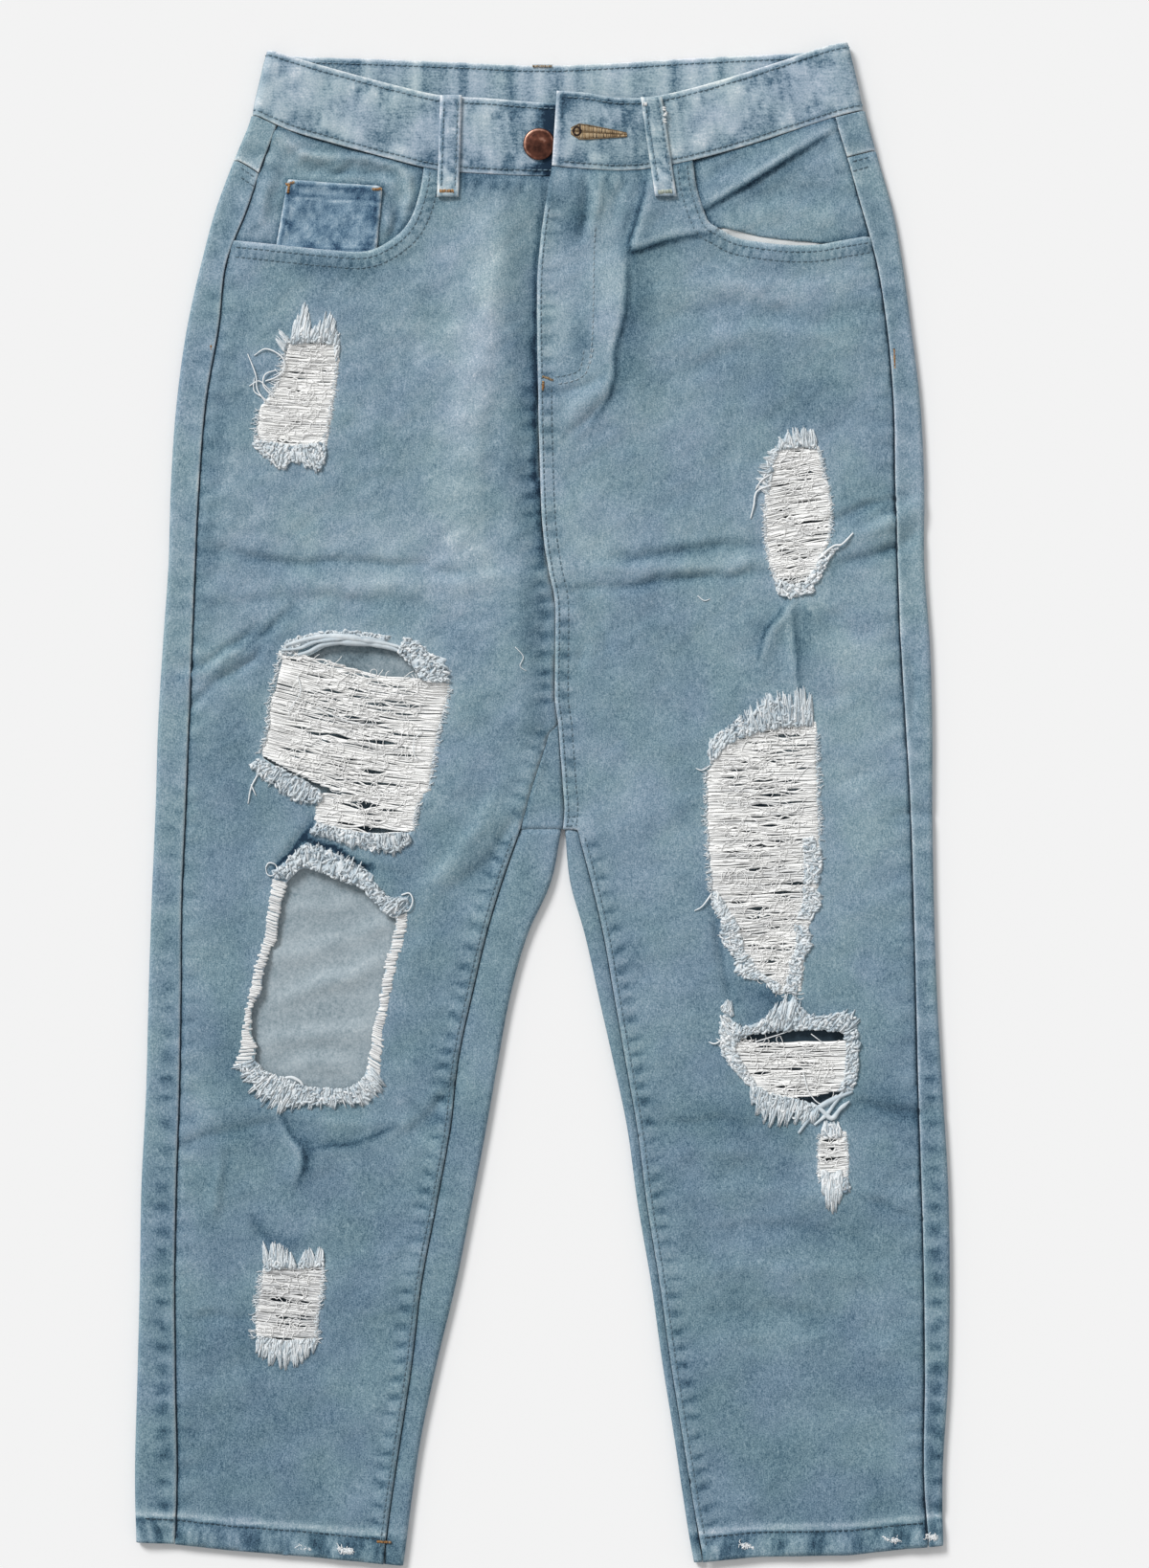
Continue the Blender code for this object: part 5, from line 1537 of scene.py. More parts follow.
def tubes(paths, radius, sides):
    """Round threads along many paths of equal count: each place's ring stands square to the path there.

    The ring's first axis is the path's direction crossed with up, its second that crossed with the first,
    and a place on it is the cosine of its angle along one and the sine along the other. The angles start
    where a flat side of the ring faces up.
    """
    paths = np.asarray(paths, float)
    count, steps = paths.shape[:2]
    along = unit(np.gradient(paths, axis=1))
    level = unit(np.cross(along, (0.02, 0.03, 1.0)))
    up = np.cross(level, along)
    angle = np.linspace(0, 2 * math.pi, sides, endpoint=False) + math.pi / 2 - math.pi / sides
    size = np.broadcast_to(np.asarray(radius, float), (count, steps))[..., None, None]
    points = paths[:, :, None] + size * (np.cos(angle)[:, None] * level[:, :, None]
                                         + np.sin(angle)[:, None] * up[:, :, None])
    corner = np.arange(sides)
    start = (np.arange(count)[:, None] * steps + np.arange(steps - 1)).reshape(-1, 1) * sides
    here, after = start + corner, start + (corner + 1) % sides
    walls = np.stack((here, after, after + sides, here + sides), axis=-1).reshape(-1, 4)
    first = np.arange(count)[:, None] * steps * sides
    caps = np.vstack((first + corner[::-1], first + (steps - 1) * sides + corner))
    return points.reshape(-1, 3), walls, caps


def add_threads(name, groups, kind, slot_name, *nodes):
    """Joins groups of threads in one mesh. A group is its paths, radius, sides and tone, one a thread."""
    points, faces, tones, total = [], [], [], 0
    for paths, radius, sides, tone in groups:
        places, walls, caps = tubes(paths, radius, sides)
        faces += (walls + total).tolist() + (caps + total).tolist()
        points.append(places)
        tone = tone if np.ndim(tone) == 2 else np.reshape(tone, (-1, 1))
        tones.append(np.repeat(np.broadcast_to(tone, np.shape(paths)[:2]), sides))
        total += len(places)
    obj = add_mesh(name, np.vstack(points), faces, (material(kind),), {"wear_and_shade": np.concatenate(tones)})
    return settle(obj, slot_name, *nodes)


# The bared yarns of each rip, field by field: slope, sag, how loose they are, tone, a random slit's odds,
# outline where it isn't the rip's own, and listed slits as middle x, y, half length, half width
YARN_FIELDS = {
    ("right", "hip"): ((-0.06, 0.5, 0.42, 0.06, 0.2, None, ()),),
    ("right", "thigh"): (
        (-0.15, 3.0, 0.9, 0.16, 0.4,
         ((-163, 95), (-150, 93), (-145, 90), (-134, 88), (-121, 85), (-112, 81.5), (-100, 77.5), (-85, 76),
          (-60, 77), (-59, 67), (-63, 54), (-66, 42), (-69, 24), (-71, 9), (-78, 3), (-100, 4), (-128, 8),
          (-140, 13), (-150, 18), (-166, 26), (-175, 31), (-175, 34), (-171, 46), (-170, 64), (-164, 84)),
         ((-147, 70, 6, 1.4), (-132, 70.5, 7, 1.2), (-110, 63, 11, 1.0), (-102, 62.3, 5, 1.7),
          (-83, 61, 8, 1.4), (-87, 56.5, 7, 1.2), (-133, 55, 8, 1.2), (-119, 53.4, 4, 1.8),
          (-107, 51, 9, 1.7), (-131, 42.5, 11, 1.5), (-103, 38, 9, 2.0), (-157, 33.5, 7, 1.2),
          (-122, 28, 9, 0.9), (-106, 20, 6, 1.8), (-126, 15, 7, 1.2), (-93, 7.6, 4, 1.5),
          (-150, 47, 6, 1.0), (-164, 56, 4, 0.9), (-85, 30, 7, 1.0), (-140, 24, 7, 0.9))),
        (-0.08, 0.5, 0.9, 0.14, 0.4,
         ((-139, 6), (-100, 6), (-76, 9), (-78, 2), (-80, -6), (-82, -17), (-105, -19), (-125, -17),
          (-141, -13), (-140, -5)),
         ((-111, -0.8, 6, 2.8), (-98, -4.5, 7, 1.2), (-104, -16.5, 10, 2.8)))),
    ("right", "shin"): ((-0.10, 0.3, 0.5, -0.22, 0.4, None, ((-168, -310, 5, 0.6), (-152, -312.5, 6, 0.6),
                                                      (-165, -318, 5, 0.5), (-149, -321, 5, 0.6))),),
    ("left", "thigh"): ((0.15, -0.5, 0.60, 0.05, 0.3, None,
                         ((150, 207, 5, 0.6), (162, 165, 7, 0.5), (166, 158, 6, 0.5))),),
    ("left", "long"): ((0.03, 0.3, 0.7, 0.02, 0.5, None,
                        ((151, 42, 4, 1.2), (153, 6.5, 8, 0.9), (162, 22, 4, 0.9), (144, -14, 5, 0.8),
                         (160, -12, 5, 0.6), (148, -36.5, 5, 0.8), (150, -57, 6, 0.9), (135, -66, 5, 1.4),
                         (147, -68.5, 6, 0.9), (118, 6, 5, 0.6), (122, -40, 6, 0.6), (141, -107, 4, 0.8))),),
    ("left", "knee"): ((0.01, 0.4, 0.8, 0.10, 0.4,
                        ((122, -148), (190, -148.5), (191, -150), (191, -170), (187, -179), (160, -183.5),
                         (140, -182), (132, -174), (123, -162), (118, -150)),
                        ((137, -169, 4, 0.9), (170, -163, 9, 0.8), (151, -170.5, 9, 0.7),
                         (150, -177.5, 3, 1.2), (141, -155, 6, 0.5))),),
    ("left", "calf"): ((0.04, 0.2, 0.6, 0.02, 0.4, None, ()),),
}


YARN_PLACES = 20


def field_yarns(side, field, looks, rng):
    """One field of yarns, side by side, pushed apart round its slits and tangled a little everywhere.

    Each yarn's ends are where its level meets the outline, sheared by the slope and sagging as a square, and
    a little beyond, where it sinks in the cloth. A slit moves a yarn away by a bell curve of the distance
    along it, dying away with the distance across.
    """
    slope, sag, loose, shown, odds, outline, slits = field
    rip = np.array(outline, float)
    middle, half = rip[:, 0].mean(), np.ptp(rip[:, 0]) / 2

    def fall(x):
        return slope * (x - middle) + sag * (((x - middle) / half) ** 2 - 0.5)

    pitch = looks.yarn_pitch / MM
    sheared = rip[:, 1] - fall(rip[:, 0])
    level = np.arange(sheared.min(), sheared.max(), pitch)
    level += rng.uniform(-0.3, 0.3, len(level)) * pitch
    left, right = np.full(len(level), 1e9), np.full(len(level), -1e9)
    for (ax, bx), (ay, by) in zip(zip(rip[:, 0], np.roll(rip[:, 0], -1)), zip(sheared, np.roll(sheared, -1))):
        met = (ay > level) != (by > level)
        x = ax + (level - ay) / ((by - ay) or 1e-9) * (bx - ax)
        left, right = np.where(met, np.minimum(left, x), left), np.where(met, np.maximum(right, x), right)
    kept = right - left > 3
    level, left, right = level[kept][:, None], left[kept][:, None], right[kept][:, None]
    count = len(level)
    start, end = left - rng.uniform(1.6, 3.6, (count, 1)), right + rng.uniform(1.6, 3.6, (count, 1))
    share = np.linspace(0, 1, YARN_PLACES)
    x = start + share * (end - start)
    own = np.arange(count)[:, None] * 5.3
    tangle = loose * hump(share, 0, 1, 0.6)
    tilt = rng.normal(0, 0.9, (count, 1)) * (share - 0.5) * 1.2
    y = level + fall(x)
    moved = (0.45 * grain(x / 9, own, 91) + 0.25 * grain(x / 3.5, own, 92) + tilt) * tangle
    moved += 0.6 * grain(x / 15, y / 2.8, 94) * tangle
    moved -= 0.75 * np.sin(2 * math.pi * (y / 6 + 0.7 * grain(x / 30, y / 13, 90))) * tangle
    for seed in rng.random(int(odds * count)):
        row = int(seed * count)
        place = left[row, 0] + (right[row, 0] - left[row, 0]) * rng.uniform(0.15, 0.85)
        slits = (*slits, (place, level[row, 0] + fall(place), rng.uniform(3, 9), rng.uniform(0.3, 0.9)))
    for slit_x, slit_y, long, wide in slits:
        away = y - slit_y - fall(x) + fall(slit_x)
        moved += np.where(away > 0, 1, -1) * wide * np.exp(-np.abs(away) / 2.2) * bell(x - slit_x, long)
    inside = np.minimum(x - left, right - x)
    z = (front_height(side, x, y + moved) + 0.35 + 0.45 * bell(inside, 1.6)
         - 0.6 * smooth_step(-inside, 1.0, 3.4))
    z += (0.4 * grain(x / 6, own + 3, 93) * tangle - 0.5 * smooth_step(inside, 2, 14)) * (inside > 0)
    tone = shown + rng.normal(0, 0.10, count) - 0.2 * (rng.random(count) < 0.05)
    return np.stack((x, y + moved, z), axis=-1), tone[:, None] + 0.16 * grain(x / 15, y / 4, 88)


def add_yarns(side, place, looks):
    """The bared yarns of a rip with the loose fibres that lie curled on them, joined."""
    rng = np.random.default_rng(len(place) * 7 + len(side))
    groups = []
    for *rest, outline, slits in YARN_FIELDS[side, place]:
        outline = outline or RIPS[side][place]
        paths, tone = field_yarns(side, (*rest, outline, slits), looks, rng)
        size = looks.yarn_width / MM / 2 * rng.uniform(0.75, 1.25, (len(paths), 1))
        groups.append((paths, size, 3, tone))
        count = int(loop_area(outline) / MM / MM / 16)
        picked = paths[rng.integers(0, len(paths), count), rng.integers(3, YARN_PLACES - 3, count)]
        heading = np.radians(rng.normal(0, 35, count) + 180 * (rng.random(count) < 0.5))
        x, y = strands(picked[:, :2], heading, rng.uniform(3, 10, count), 0.2, rng,
                       bend=rng.normal(0, 2.2, count))
        share = np.linspace(0, 1, x.shape[1])
        z = front_height(side, x, y) + 0.5 + 0.8 * hump(share, 0, 1) * rng.uniform(0.2, 1, (count, 1))
        edges = [corner[0] for corner in outline]
        x = np.clip(x, min(edges) + 2, max(edges) - 1)
        groups.append((np.stack((x, y, z), axis=-1), 0.22, 3, 0.3 + rng.normal(0, 0.1, count)))
    return add_threads(f"yarns_{place}_{side}", groups, "yarn", "bared_weft", f"yarns_{place}_{side}")


def strands(starts, heading, length, curl, rng, count=7, bend=0.0):
    """Loose ends: each walks off along its heading, which turns evenly by its bend and wanders by chance."""
    turns = np.cumsum(rng.normal(0, 1, (len(starts), count - 1)), axis=1) * np.asarray(curl).reshape(-1, 1)
    turns += np.asarray(bend).reshape(-1, 1) * np.linspace(0, 1, count - 1)
    angle = np.asarray(heading).reshape(-1, 1) + turns
    step = np.asarray(length).reshape(-1, 1) / (count - 1)
    x = starts[:, :1] + np.cumsum(np.hstack((np.zeros((len(starts), 1)), step * np.cos(angle))), axis=1)
    y = starts[:, 1:2] + np.cumsum(np.hstack((np.zeros((len(starts), 1)), step * np.sin(angle))), axis=1)
    return x, y


# Thin frayed edges: side, heading in degrees and its spread, least and most length, ends a millimetre,
# curl, tone, rise over the cloth, and the line that they start from
FRAYS = (
    ("right", 185, 30, 2, 6, 1.4, 0.25, 0.10, 1.0, ((-160, 282), (-163, 268), (-168, 256))),
    ("right", 190, 30, 2, 5, 1.4, 0.25, 0.10, 1.0, ((-176, 247), (-178, 233), (-176, 226))),
    ("right", 350, 30, 1, 4, 1.2, 0.25, 0.10, 0.8, ((-129, 278), (-131, 263), (-134, 242), (-137, 226))),
    ("right", 185, 30, 1, 4, 1.6, 0.25, 0.10, 0.8, ((-163, 94), (-165, 84), (-170, 64), (-171, 46),
                                                    (-176, 32))),
    ("right", 355, 30, 1, 4, 1.6, 0.25, 0.10, 0.8, ((-58, 74), (-63, 54), (-66, 42), (-69, 24), (-71, 10))),
    ("right", 10, 30, 2, 5, 2.0, 0.30, 0.10, 1.0, ((-78, 3), (-80, -6), (-82, -18))),
    ("right", 0, 30, 2, 5, 1.6, 0.30, 0.10, 0.8, ((-138, -290), (-139, -304), (-142, -322), (-142, -336))),
    ("right", 180, 30, 2, 5, 1.8, 0.30, 0.10, 0.8, ((-174, -292), (-176, -306), (-179, -320), (-179, -334))),
    ("left", 182, 30, 1, 4, 1.6, 0.30, 0.10, 0.8, ((140, 190), (140, 170), (142, 156), (146, 140))),
    ("left", 0, 30, 1, 4, 1.6, 0.30, 0.10, 0.8, ((172, 222), (175, 206), (178, 196), (180, 178), (178, 164))),
    ("left", 182, 30, 1, 4, 1.8, 0.30, 0.10, 0.8, ((103, 24), (103, -8), (105, -41), (106, -56))),
    ("left", 0, 30, 1, 4, 1.8, 0.30, 0.10, 0.8, ((171, 44), (172, 5), (173, -24))),
    ("left", 182, 30, 1, 3, 1.4, 0.30, 0.10, 0.6, ((174, -206), (173, -220), (174, -236))),
    ("left", 0, 30, 1, 3, 1.4, 0.30, 0.10, 0.6, ((188, -206), (190, -222), (189, -236))),
    ("right", 260, 80, 1.5, 4, 7.0, 0.50, 0.36, 0.8, ((-152, -464), (-146, -466))),
    ("right", 260, 80, 1.5, 4, 9.0, 0.50, 0.36, 0.8, ((-127, -465), (-123, -467), (-118, -466))),
    ("left", 270, 80, 1.5, 4, 7.0, 0.50, 0.36, 0.8, ((124, -463), (132, -464))),
    ("left", 270, 80, 1.5, 4, 7.0, 0.50, 0.36, 0.8, ((214, -459), (222, -460))),
    ("left", 270, 80, 1.5, 4, 7.0, 0.50, 0.36, 0.8, ((240, -457), (246, -458))),
)

# Thick fringes: side, share that is combed out, ends a square millimetre, height, tone, the line that they
# grow from and the line that their tips reach
FRINGES = (
    ("right", 0.75, 2.2, 0.7, 0.14, ((-157, 287), (-151, 288), (-146, 288)),
     ((-155, 300), (-148, 313), (-144.5, 299))),
    ("right", 0.75, 2.2, 0.7, 0.14, ((-146, 288), (-138, 288), (-131, 287)),
     ((-143, 297), (-134, 308), (-129, 300))),
    ("right", 0.1, 2.0, 0.6, 0.16, ((-134, 290), (-130, 286), (-129, 276)),
     ((-128, 298), (-126, 291), (-127, 280))),
    ("right", 0.75, 1.8, 0.3, 0.12, ((-160, 281), (-157, 289)), ((-167, 290), (-164, 298))),
    ("right", 0.1, 2.4, 1.2, 0.16, ((-177, 227), (-160, 224), (-136, 225)),
     ((-183, 225), (-170, 211), (-163, 207), (-155, 212), (-145, 207), (-139, 205), (-134, 216))),
    ("left", 0.75, 2.4, 0.8, 0.12, ((148, 220), (160, 223), (171, 221)),
     ((146, 228), (154, 236), (163, 235), (171, 234))),
    ("left", 0.75, 1.6, 0.4, 0.12, ((149, 222), (143, 206), (142, 192)),
     ((142, 222), (134, 208), (134, 195))),
    ("left", 0.0, 2.2, 1.0, 0.20, ((164, 138), (171, 148), (174, 156)), ((171, 135), (177, 147), (187, 162))),
    ("left", 0.0, 2.4, 1.2, 0.22, ((145, 141), (156, 137), (168, 139)), ((147, 130), (156, 128), (171, 131))),
    ("left", 0.6, 2.2, 0.9, 0.10, ((153, 48), (162, 49), (169, 49)), ((153, 67), (162, 73), (169, 68))),
    ("left", 0.4, 2.2, 1.0, 0.04, ((123, 41), (139, 46), (155, 49)),
     ((120, 53), (134, 66), (141, 72), (153, 70))),
    ("left", 0.1, 1.8, 0.8, 0.12, ((105, 24), (113, 34), (126, 42)), ((102, 38), (112, 48), (124, 57))),
    ("left", 0.1, 2.2, 1.0, 0.16, ((163, -22), (164, -36), (163, -50)),
     ((172, -20), (177.5, -36), (172, -51))),
    ("left", 0.2, 2.2, 1.0, 0.16, ((163, -52), (163, -62), (159, -72)),
     ((171, -52), (176.5, -62), (169, -73))),
    ("left", 0.1, 2.2, 1.0, 0.18, ((158, -76), (159, -88), (155, -98)),
     ((166, -76), (170.5, -88), (163, -99))),
    ("left", 0.1, 2.2, 0.9, 0.18, ((155, -98), (154, -108), (151, -118)),
     ((163, -99), (163.5, -109), (160, -120))),
    ("left", 0.1, 2.2, 0.9, 0.18, ((108, -54), (114, -62), (121, -74)), ((103, -60), (107, -69), (112, -76))),
    ("left", 0.1, 2.2, 1.0, 0.18, ((121, -72), (124, -83), (128, -95)), ((111, -74), (110, -85), (119, -98))),
    ("left", 0.1, 2.2, 1.0, 0.18, ((129, -94), (134, -103), (141, -109), (150, -114)),
     ((119, -97), (120, -107), (129, -111), (137, -110), (146, -121))),
    ("left", 0.25, 1.8, 2.0, 0.08, ((118, -146), (130, -144), (150, -142), (170, -141), (190, -143)),
     ((121, -138), (136, -136), (147, -124), (158, -118), (169, -130), (182, -130), (194, -127),
      (199, -136))),
    ("left", 0.1, 2.0, 1.4, 0.12, ((188, -142), (190, -155), (189, -170), (185, -180)),
     ((199, -135), (199, -150), (198, -168), (195, -181))),
    ("left", 0.1, 2.2, 0.9, 0.20, ((128, -144), (121, -152), (126, -164), (134, -176)),
     ((110, -127), (109, -147), (114, -161), (128, -176))),
    ("left", 0.75, 2.0, 0.5, 0.14, ((111, -130), (120, -134)), ((114, -122), (119, -124))),
    ("left", 0.5, 2.2, 1.6, 0.12, ((130, -175), (145, -182), (160, -185), (174, -191)),
     ((130, -189), (141, -202), (158, -201), (170, -202))),
    ("left", 0.6, 2.8, 0.9, 0.24, ((174, -208), (181, -209), (188, -208)),
     ((176, -199), (181, -196), (186, -200))),
    ("left", 0.9, 3.4, 0.9, 0.24, ((175, -229), (181, -232), (187, -229)),
     ((174.5, -243), (181, -258), (187, -246))),
    ("left", 0.1, 1.8, 1.0, -0.04, ((185, -233), (189, -232)), ((187, -246), (194, -243))),
    ("right", 0.75, 2.4, 0.8, 0.12, ((-174, -292), (-164, -291), (-154, -291)),
     ((-176, -273), (-164, -275), (-155, -283))),
    ("right", 0.75, 2.4, 0.8, 0.12, ((-153, -291), (-145, -290), (-137, -290)),
     ((-151, -283), (-146, -277), (-136, -278))),
    ("right", 0.75, 2.4, 0.9, 0.16, ((-178, -333), (-160, -336), (-141, -334)),
     ((-180, -344), (-169, -352), (-158, -355), (-150, -350), (-141, -342))),
    ("right", 0.0, 2.4, 0.5, 0.10, ((-162, 91), (-150, 98), (-136, 102.5), (-120, 104), (-106, 103),
                                    (-96, 101)),
     ((-166, 99), (-152, 105.5), (-136, 108.5), (-120, 108.5), (-106, 107), (-94, 105))),
    ("right", 0.0, 2.4, 2.0, 0.12, ((-91, 95), (-83, 88), (-76, 79), (-70, 76)),
     ((-85, 106), (-72, 99), (-62, 92), (-56, 84), (-57, 76))),
    ("right", 0.2, 2.2, 2.0, 0.10, ((-178, 28), (-160, 20), (-142, 10), (-137, 5)),
     ((-184, 24), (-178, 16), (-170, 10), (-157, 1), (-147, -2), (-138, 1))),
    ("right", 0.35, 2.0, 2.0, 0.10, ((-141, -12), (-125, -16), (-105, -19), (-84, -18)),
     ((-147, -19), (-132, -25), (-120, -29), (-108, -31.5), (-96, -33), (-90, -32), (-81, -25))),
    ("right", 0.15, 2.0, 2.4, 0.08,
     ((-167, -47), (-158, -46), (-150, -39), (-140, -42), (-125, -48), (-114, -52), (-106, -60),
      (-97, -69), (-91, -71)),
     ((-170, -41), (-163, -37), (-151, -25), (-143, -24), (-130, -28), (-119, -33), (-110, -38),
      (-101, -52), (-94, -58), (-84, -57), (-80, -63))),
    ("right", 0.4, 2.2, 1.8, 0.12,
     ((-181, -160), (-172, -168), (-161, -172), (-149, -177), (-134, -178), (-122, -178), (-112, -172),
      (-107, -165)),
     ((-195, -164), (-186, -177), (-180, -186), (-167, -194), (-155, -192), (-143, -192), (-129, -191),
      (-117, -190), (-107, -189), (-98, -181), (-97, -174))),
)

# Single loose yarns: side, radius, height, and line
STRAYS = (
    ("right", 0.45, 1.6, ((-173, 251), (-178, 259), (-179, 268), (-184, 281))),
    ("right", 0.5, 1.8, ((-173, 264), (-167, 266), (-162, 270), (-161, 276), (-165, 281), (-173, 284),
                         (-180, 280))),
    ("right", 0.5, 1.8, ((-168, 254), (-174, 261), (-173, 268), (-166, 271))),
    ("right", 0.4, 1.4, ((-183, 261), (-177, 264), (-172, 260), (-166, 253))),
    ("right", 0.4, 1.4, ((-170, 250), (-175, 254), (-180, 258), (-180, 266))),
    ("left", 0.6, 1.4, ((143, 199), (134, 195), (132, 186), (130, 178))),
    ("left", 0.5, 1.4, ((143, 206), (137, 202), (133, 196))),
    ("left", 0.7, 1.6, ((174, 155), (182, 161), (187, 162), (194, 169))),
    ("right", 0.5, 1.2, ((-178, 18), (-182, 10), (-184, 0))),
    ("right", 0.4, 1.2, ((-182, 12), (-179, 5))),
    ("right", 0.3, 1.6, ((-75, 45), (-80, 40), (-80, 31), (-77, 28))),
    ("right", 0.3, 1.6, ((-153, 80), (-151, 70), (-157, 60), (-159, 54))),
    ("right", 0.3, 1.6, ((-141, 60), (-128, 54), (-116, 50), (-104, 50))),
    ("right", 0.4, 1.4, ((-173, -40), (-171, -37), (-167, -38), (-166, -42), (-169, -45), (-172, -44),
                         (-173, -40))),
    ("right", 0.5, 1.6, ((-88, -57), (-83, -56), (-81, -61), (-84, -67), (-90, -66))),
    ("left", 0.5, 1.4, ((106, -56), (100, -64), (95, -67))),
    ("left", 0.4, 1.2, ((105, 24), (100, 21), (96, 22))),
    ("left", 0.5, 1.2, ((113, -147), (108, -150), (104, -149))),
    ("left", 0.35, 0.9, ((133, -149), (146, -145), (158, -141))),
    ("left", 0.3, 0.9, ((168, -144), (172, -147), (176, -150))),
    ("left", 0.35, 1.4, ((163, -168), (167, -181), (175, -188), (184, -182))),
    ("right", 0.25, 0.7, ((-17, 98), (-12, 92), (-14, 86), (-10, 83))),
    ("left", 0.3, 0.7, ((97, 130), (101, 127), (105, 128))),
)


def add_frays(side):
    """Every frayed edge of one side: loose ends that rise off the cloth and lie down again at their tips."""
    groups = []
    for number, row in enumerate(FRAYS):
        if row[0] != side:
            continue
        _, heading, spread, least, most, density, curl, tone, rise, line = row
        rng = np.random.default_rng(100 + number)
        path = smooth_path(line, 3)
        run = lengths(path)
        count = max(int(run[-1] * density), 3)
        at = np.sort(rng.uniform(0, run[-1], count))
        starts = read_path(path, run, at) + rng.normal(0, 0.5, (count, 2))
        angle = np.radians(heading + rng.normal(0, spread / 1.6, count))
        x, y = strands(starts, angle, rng.uniform(least, most, count), curl, rng)
        share = np.linspace(0, 1, x.shape[1])
        z = front_height(side, x, y) + 0.7 + rise * rng.uniform(0.3, 1, (count, 1)) * hump(share, 0.1, 0.8)
        size = rng.uniform(0.2, 0.36, (count, 1)) * (1 - 0.5 * share ** 3)
        groups.append((np.stack((x, y, z), axis=-1), size, 3, tone + 0.12 + rng.normal(0, 0.18, count)))
    return add_threads("frays_" + side, groups, "fray", "bared_weft")


def fringe_place(base, tips, share, across):
    """A place between a fringe's two lines: a share along both, then a share from the first to the second."""
    along = np.linspace(0, 1, len(base))
    ends = [read_path(line, along, share) for line in (base, tips)]
    return ends[0] + (ends[1] - ends[0]) * np.asarray(across)[..., None]


def fringe_lines(base, tips):
    """A fringe's two lines with as many places, a millimetre apart on the longer, and the mean width."""
    base, tips = (spaced(smooth_path(line, 1), 1) for line in (base, tips))
    shares = np.linspace(0, 1, max(len(base), len(tips)))
    base, tips = (read_path(line, np.linspace(0, 1, len(line)), shares) for line in (base, tips))
    return base, tips, np.linalg.norm(tips - base, axis=1).mean()


def fringe_mass(side, base, tips, combed, height, tone):
    """A fringe's matted mass: a grid between its lines, raised by a half sine's root times random lumps,
    paler on the lumps and darker in the hollows and at its thin edges as painted shade.
    """
    long = len(base)
    share, across = np.linspace(0, 1, long)[:, None], np.linspace(0, 1, 14)
    reach = 0.88 - 0.3 * combed + 0.18 * grain(share * long / 3, 0 * share, 97)
    plan = fringe_place(base, tips, share + 0 * across, across * reach)
    x, y = plan[..., 0], plan[..., 1]
    plump = hump(across, 0.05, 0.93, 0.6) * hump(share, 0.03, 0.94, 0.4)
    lumps = 0.7 * grain(x / 4.2, y / 4.2, 98) + 0.4 * grain(x / 2, y / 2, 89)
    z = front_height(side, x, y) + 0.1 + (0.5 + height) * plump * (1 + 0.55 * lumps)
    # Tone: paler on the lumps, darker in the hollows and at the thin edges: painted shade
    return np.stack((x, y, z), axis=-1), (tone - 0.08 + 0.38 * lumps - 0.15 * (1 - plump)).ravel()


def combed_ends(base, tips, width, density, combed, step, rng):
    """Plans of ends that run from a fringe's first line to its second and gather in locks."""
    long = len(base)
    count = int(density * width * long * combed * 0.31)
    share = rng.random(count)
    locks = max(round(long / 5.5), 1)
    own = (share * locks).astype(int)
    middle = (own + 0.5 + rng.uniform(-0.3, 0.3, locks)[own]) / locks
    off = (share - middle) * locks
    gathered = off / locks * rng.uniform(0.3, 0.95, locks)[own]
    end = np.clip(share - gathered + rng.normal(0, 0.5 / long, count), 0, 1)
    first = rng.uniform(-0.05, 0.35, count)
    reach = rng.uniform(0.45, 0.85, count) * (1.2 - 0.6 * np.abs(off)) * rng.uniform(0.7, 1.1, locks)[own]
    last = np.minimum(first + reach, rng.normal(0.96, 0.05, count))
    along = share[:, None] + (end - share)[:, None] * step ** 1.5
    plan = fringe_place(base, tips, along, first[:, None] + (last - first)[:, None] * step)
    return plan + np.cumsum(rng.normal(0, 0.15, (count, len(step), 2)), axis=1)


def looped_ends(base, tips, width, density, combed, step, rng):
    """Plans of ends that lie along a fringe and wave across it as a sine."""
    long = len(base)
    count = int(density * width * long * (1 - combed) * 0.155)
    share, low = rng.uniform(0.02, 0.98, (count, 1)), rng.uniform(0.0, 0.88 - 0.4 * combed, (count, 1))
    half = rng.uniform(-6, 6, (count, 1)) / long
    wave = rng.uniform(0.3, 2.2, (count, 1)) / width
    turn = rng.uniform(0.5, 2.4, (count, 1)) * step + rng.uniform(0, 2, (count, 1))
    low = low + wave * np.sin(math.pi * turn)
    along = np.clip(share + half * (step - 0.5), 0, 1)
    lobes = 0.9 + 0.14 * grain(along * long / 3, 0 * along, 97)
    return fringe_place(base, tips, along, np.clip(low, -0.03, lobes))


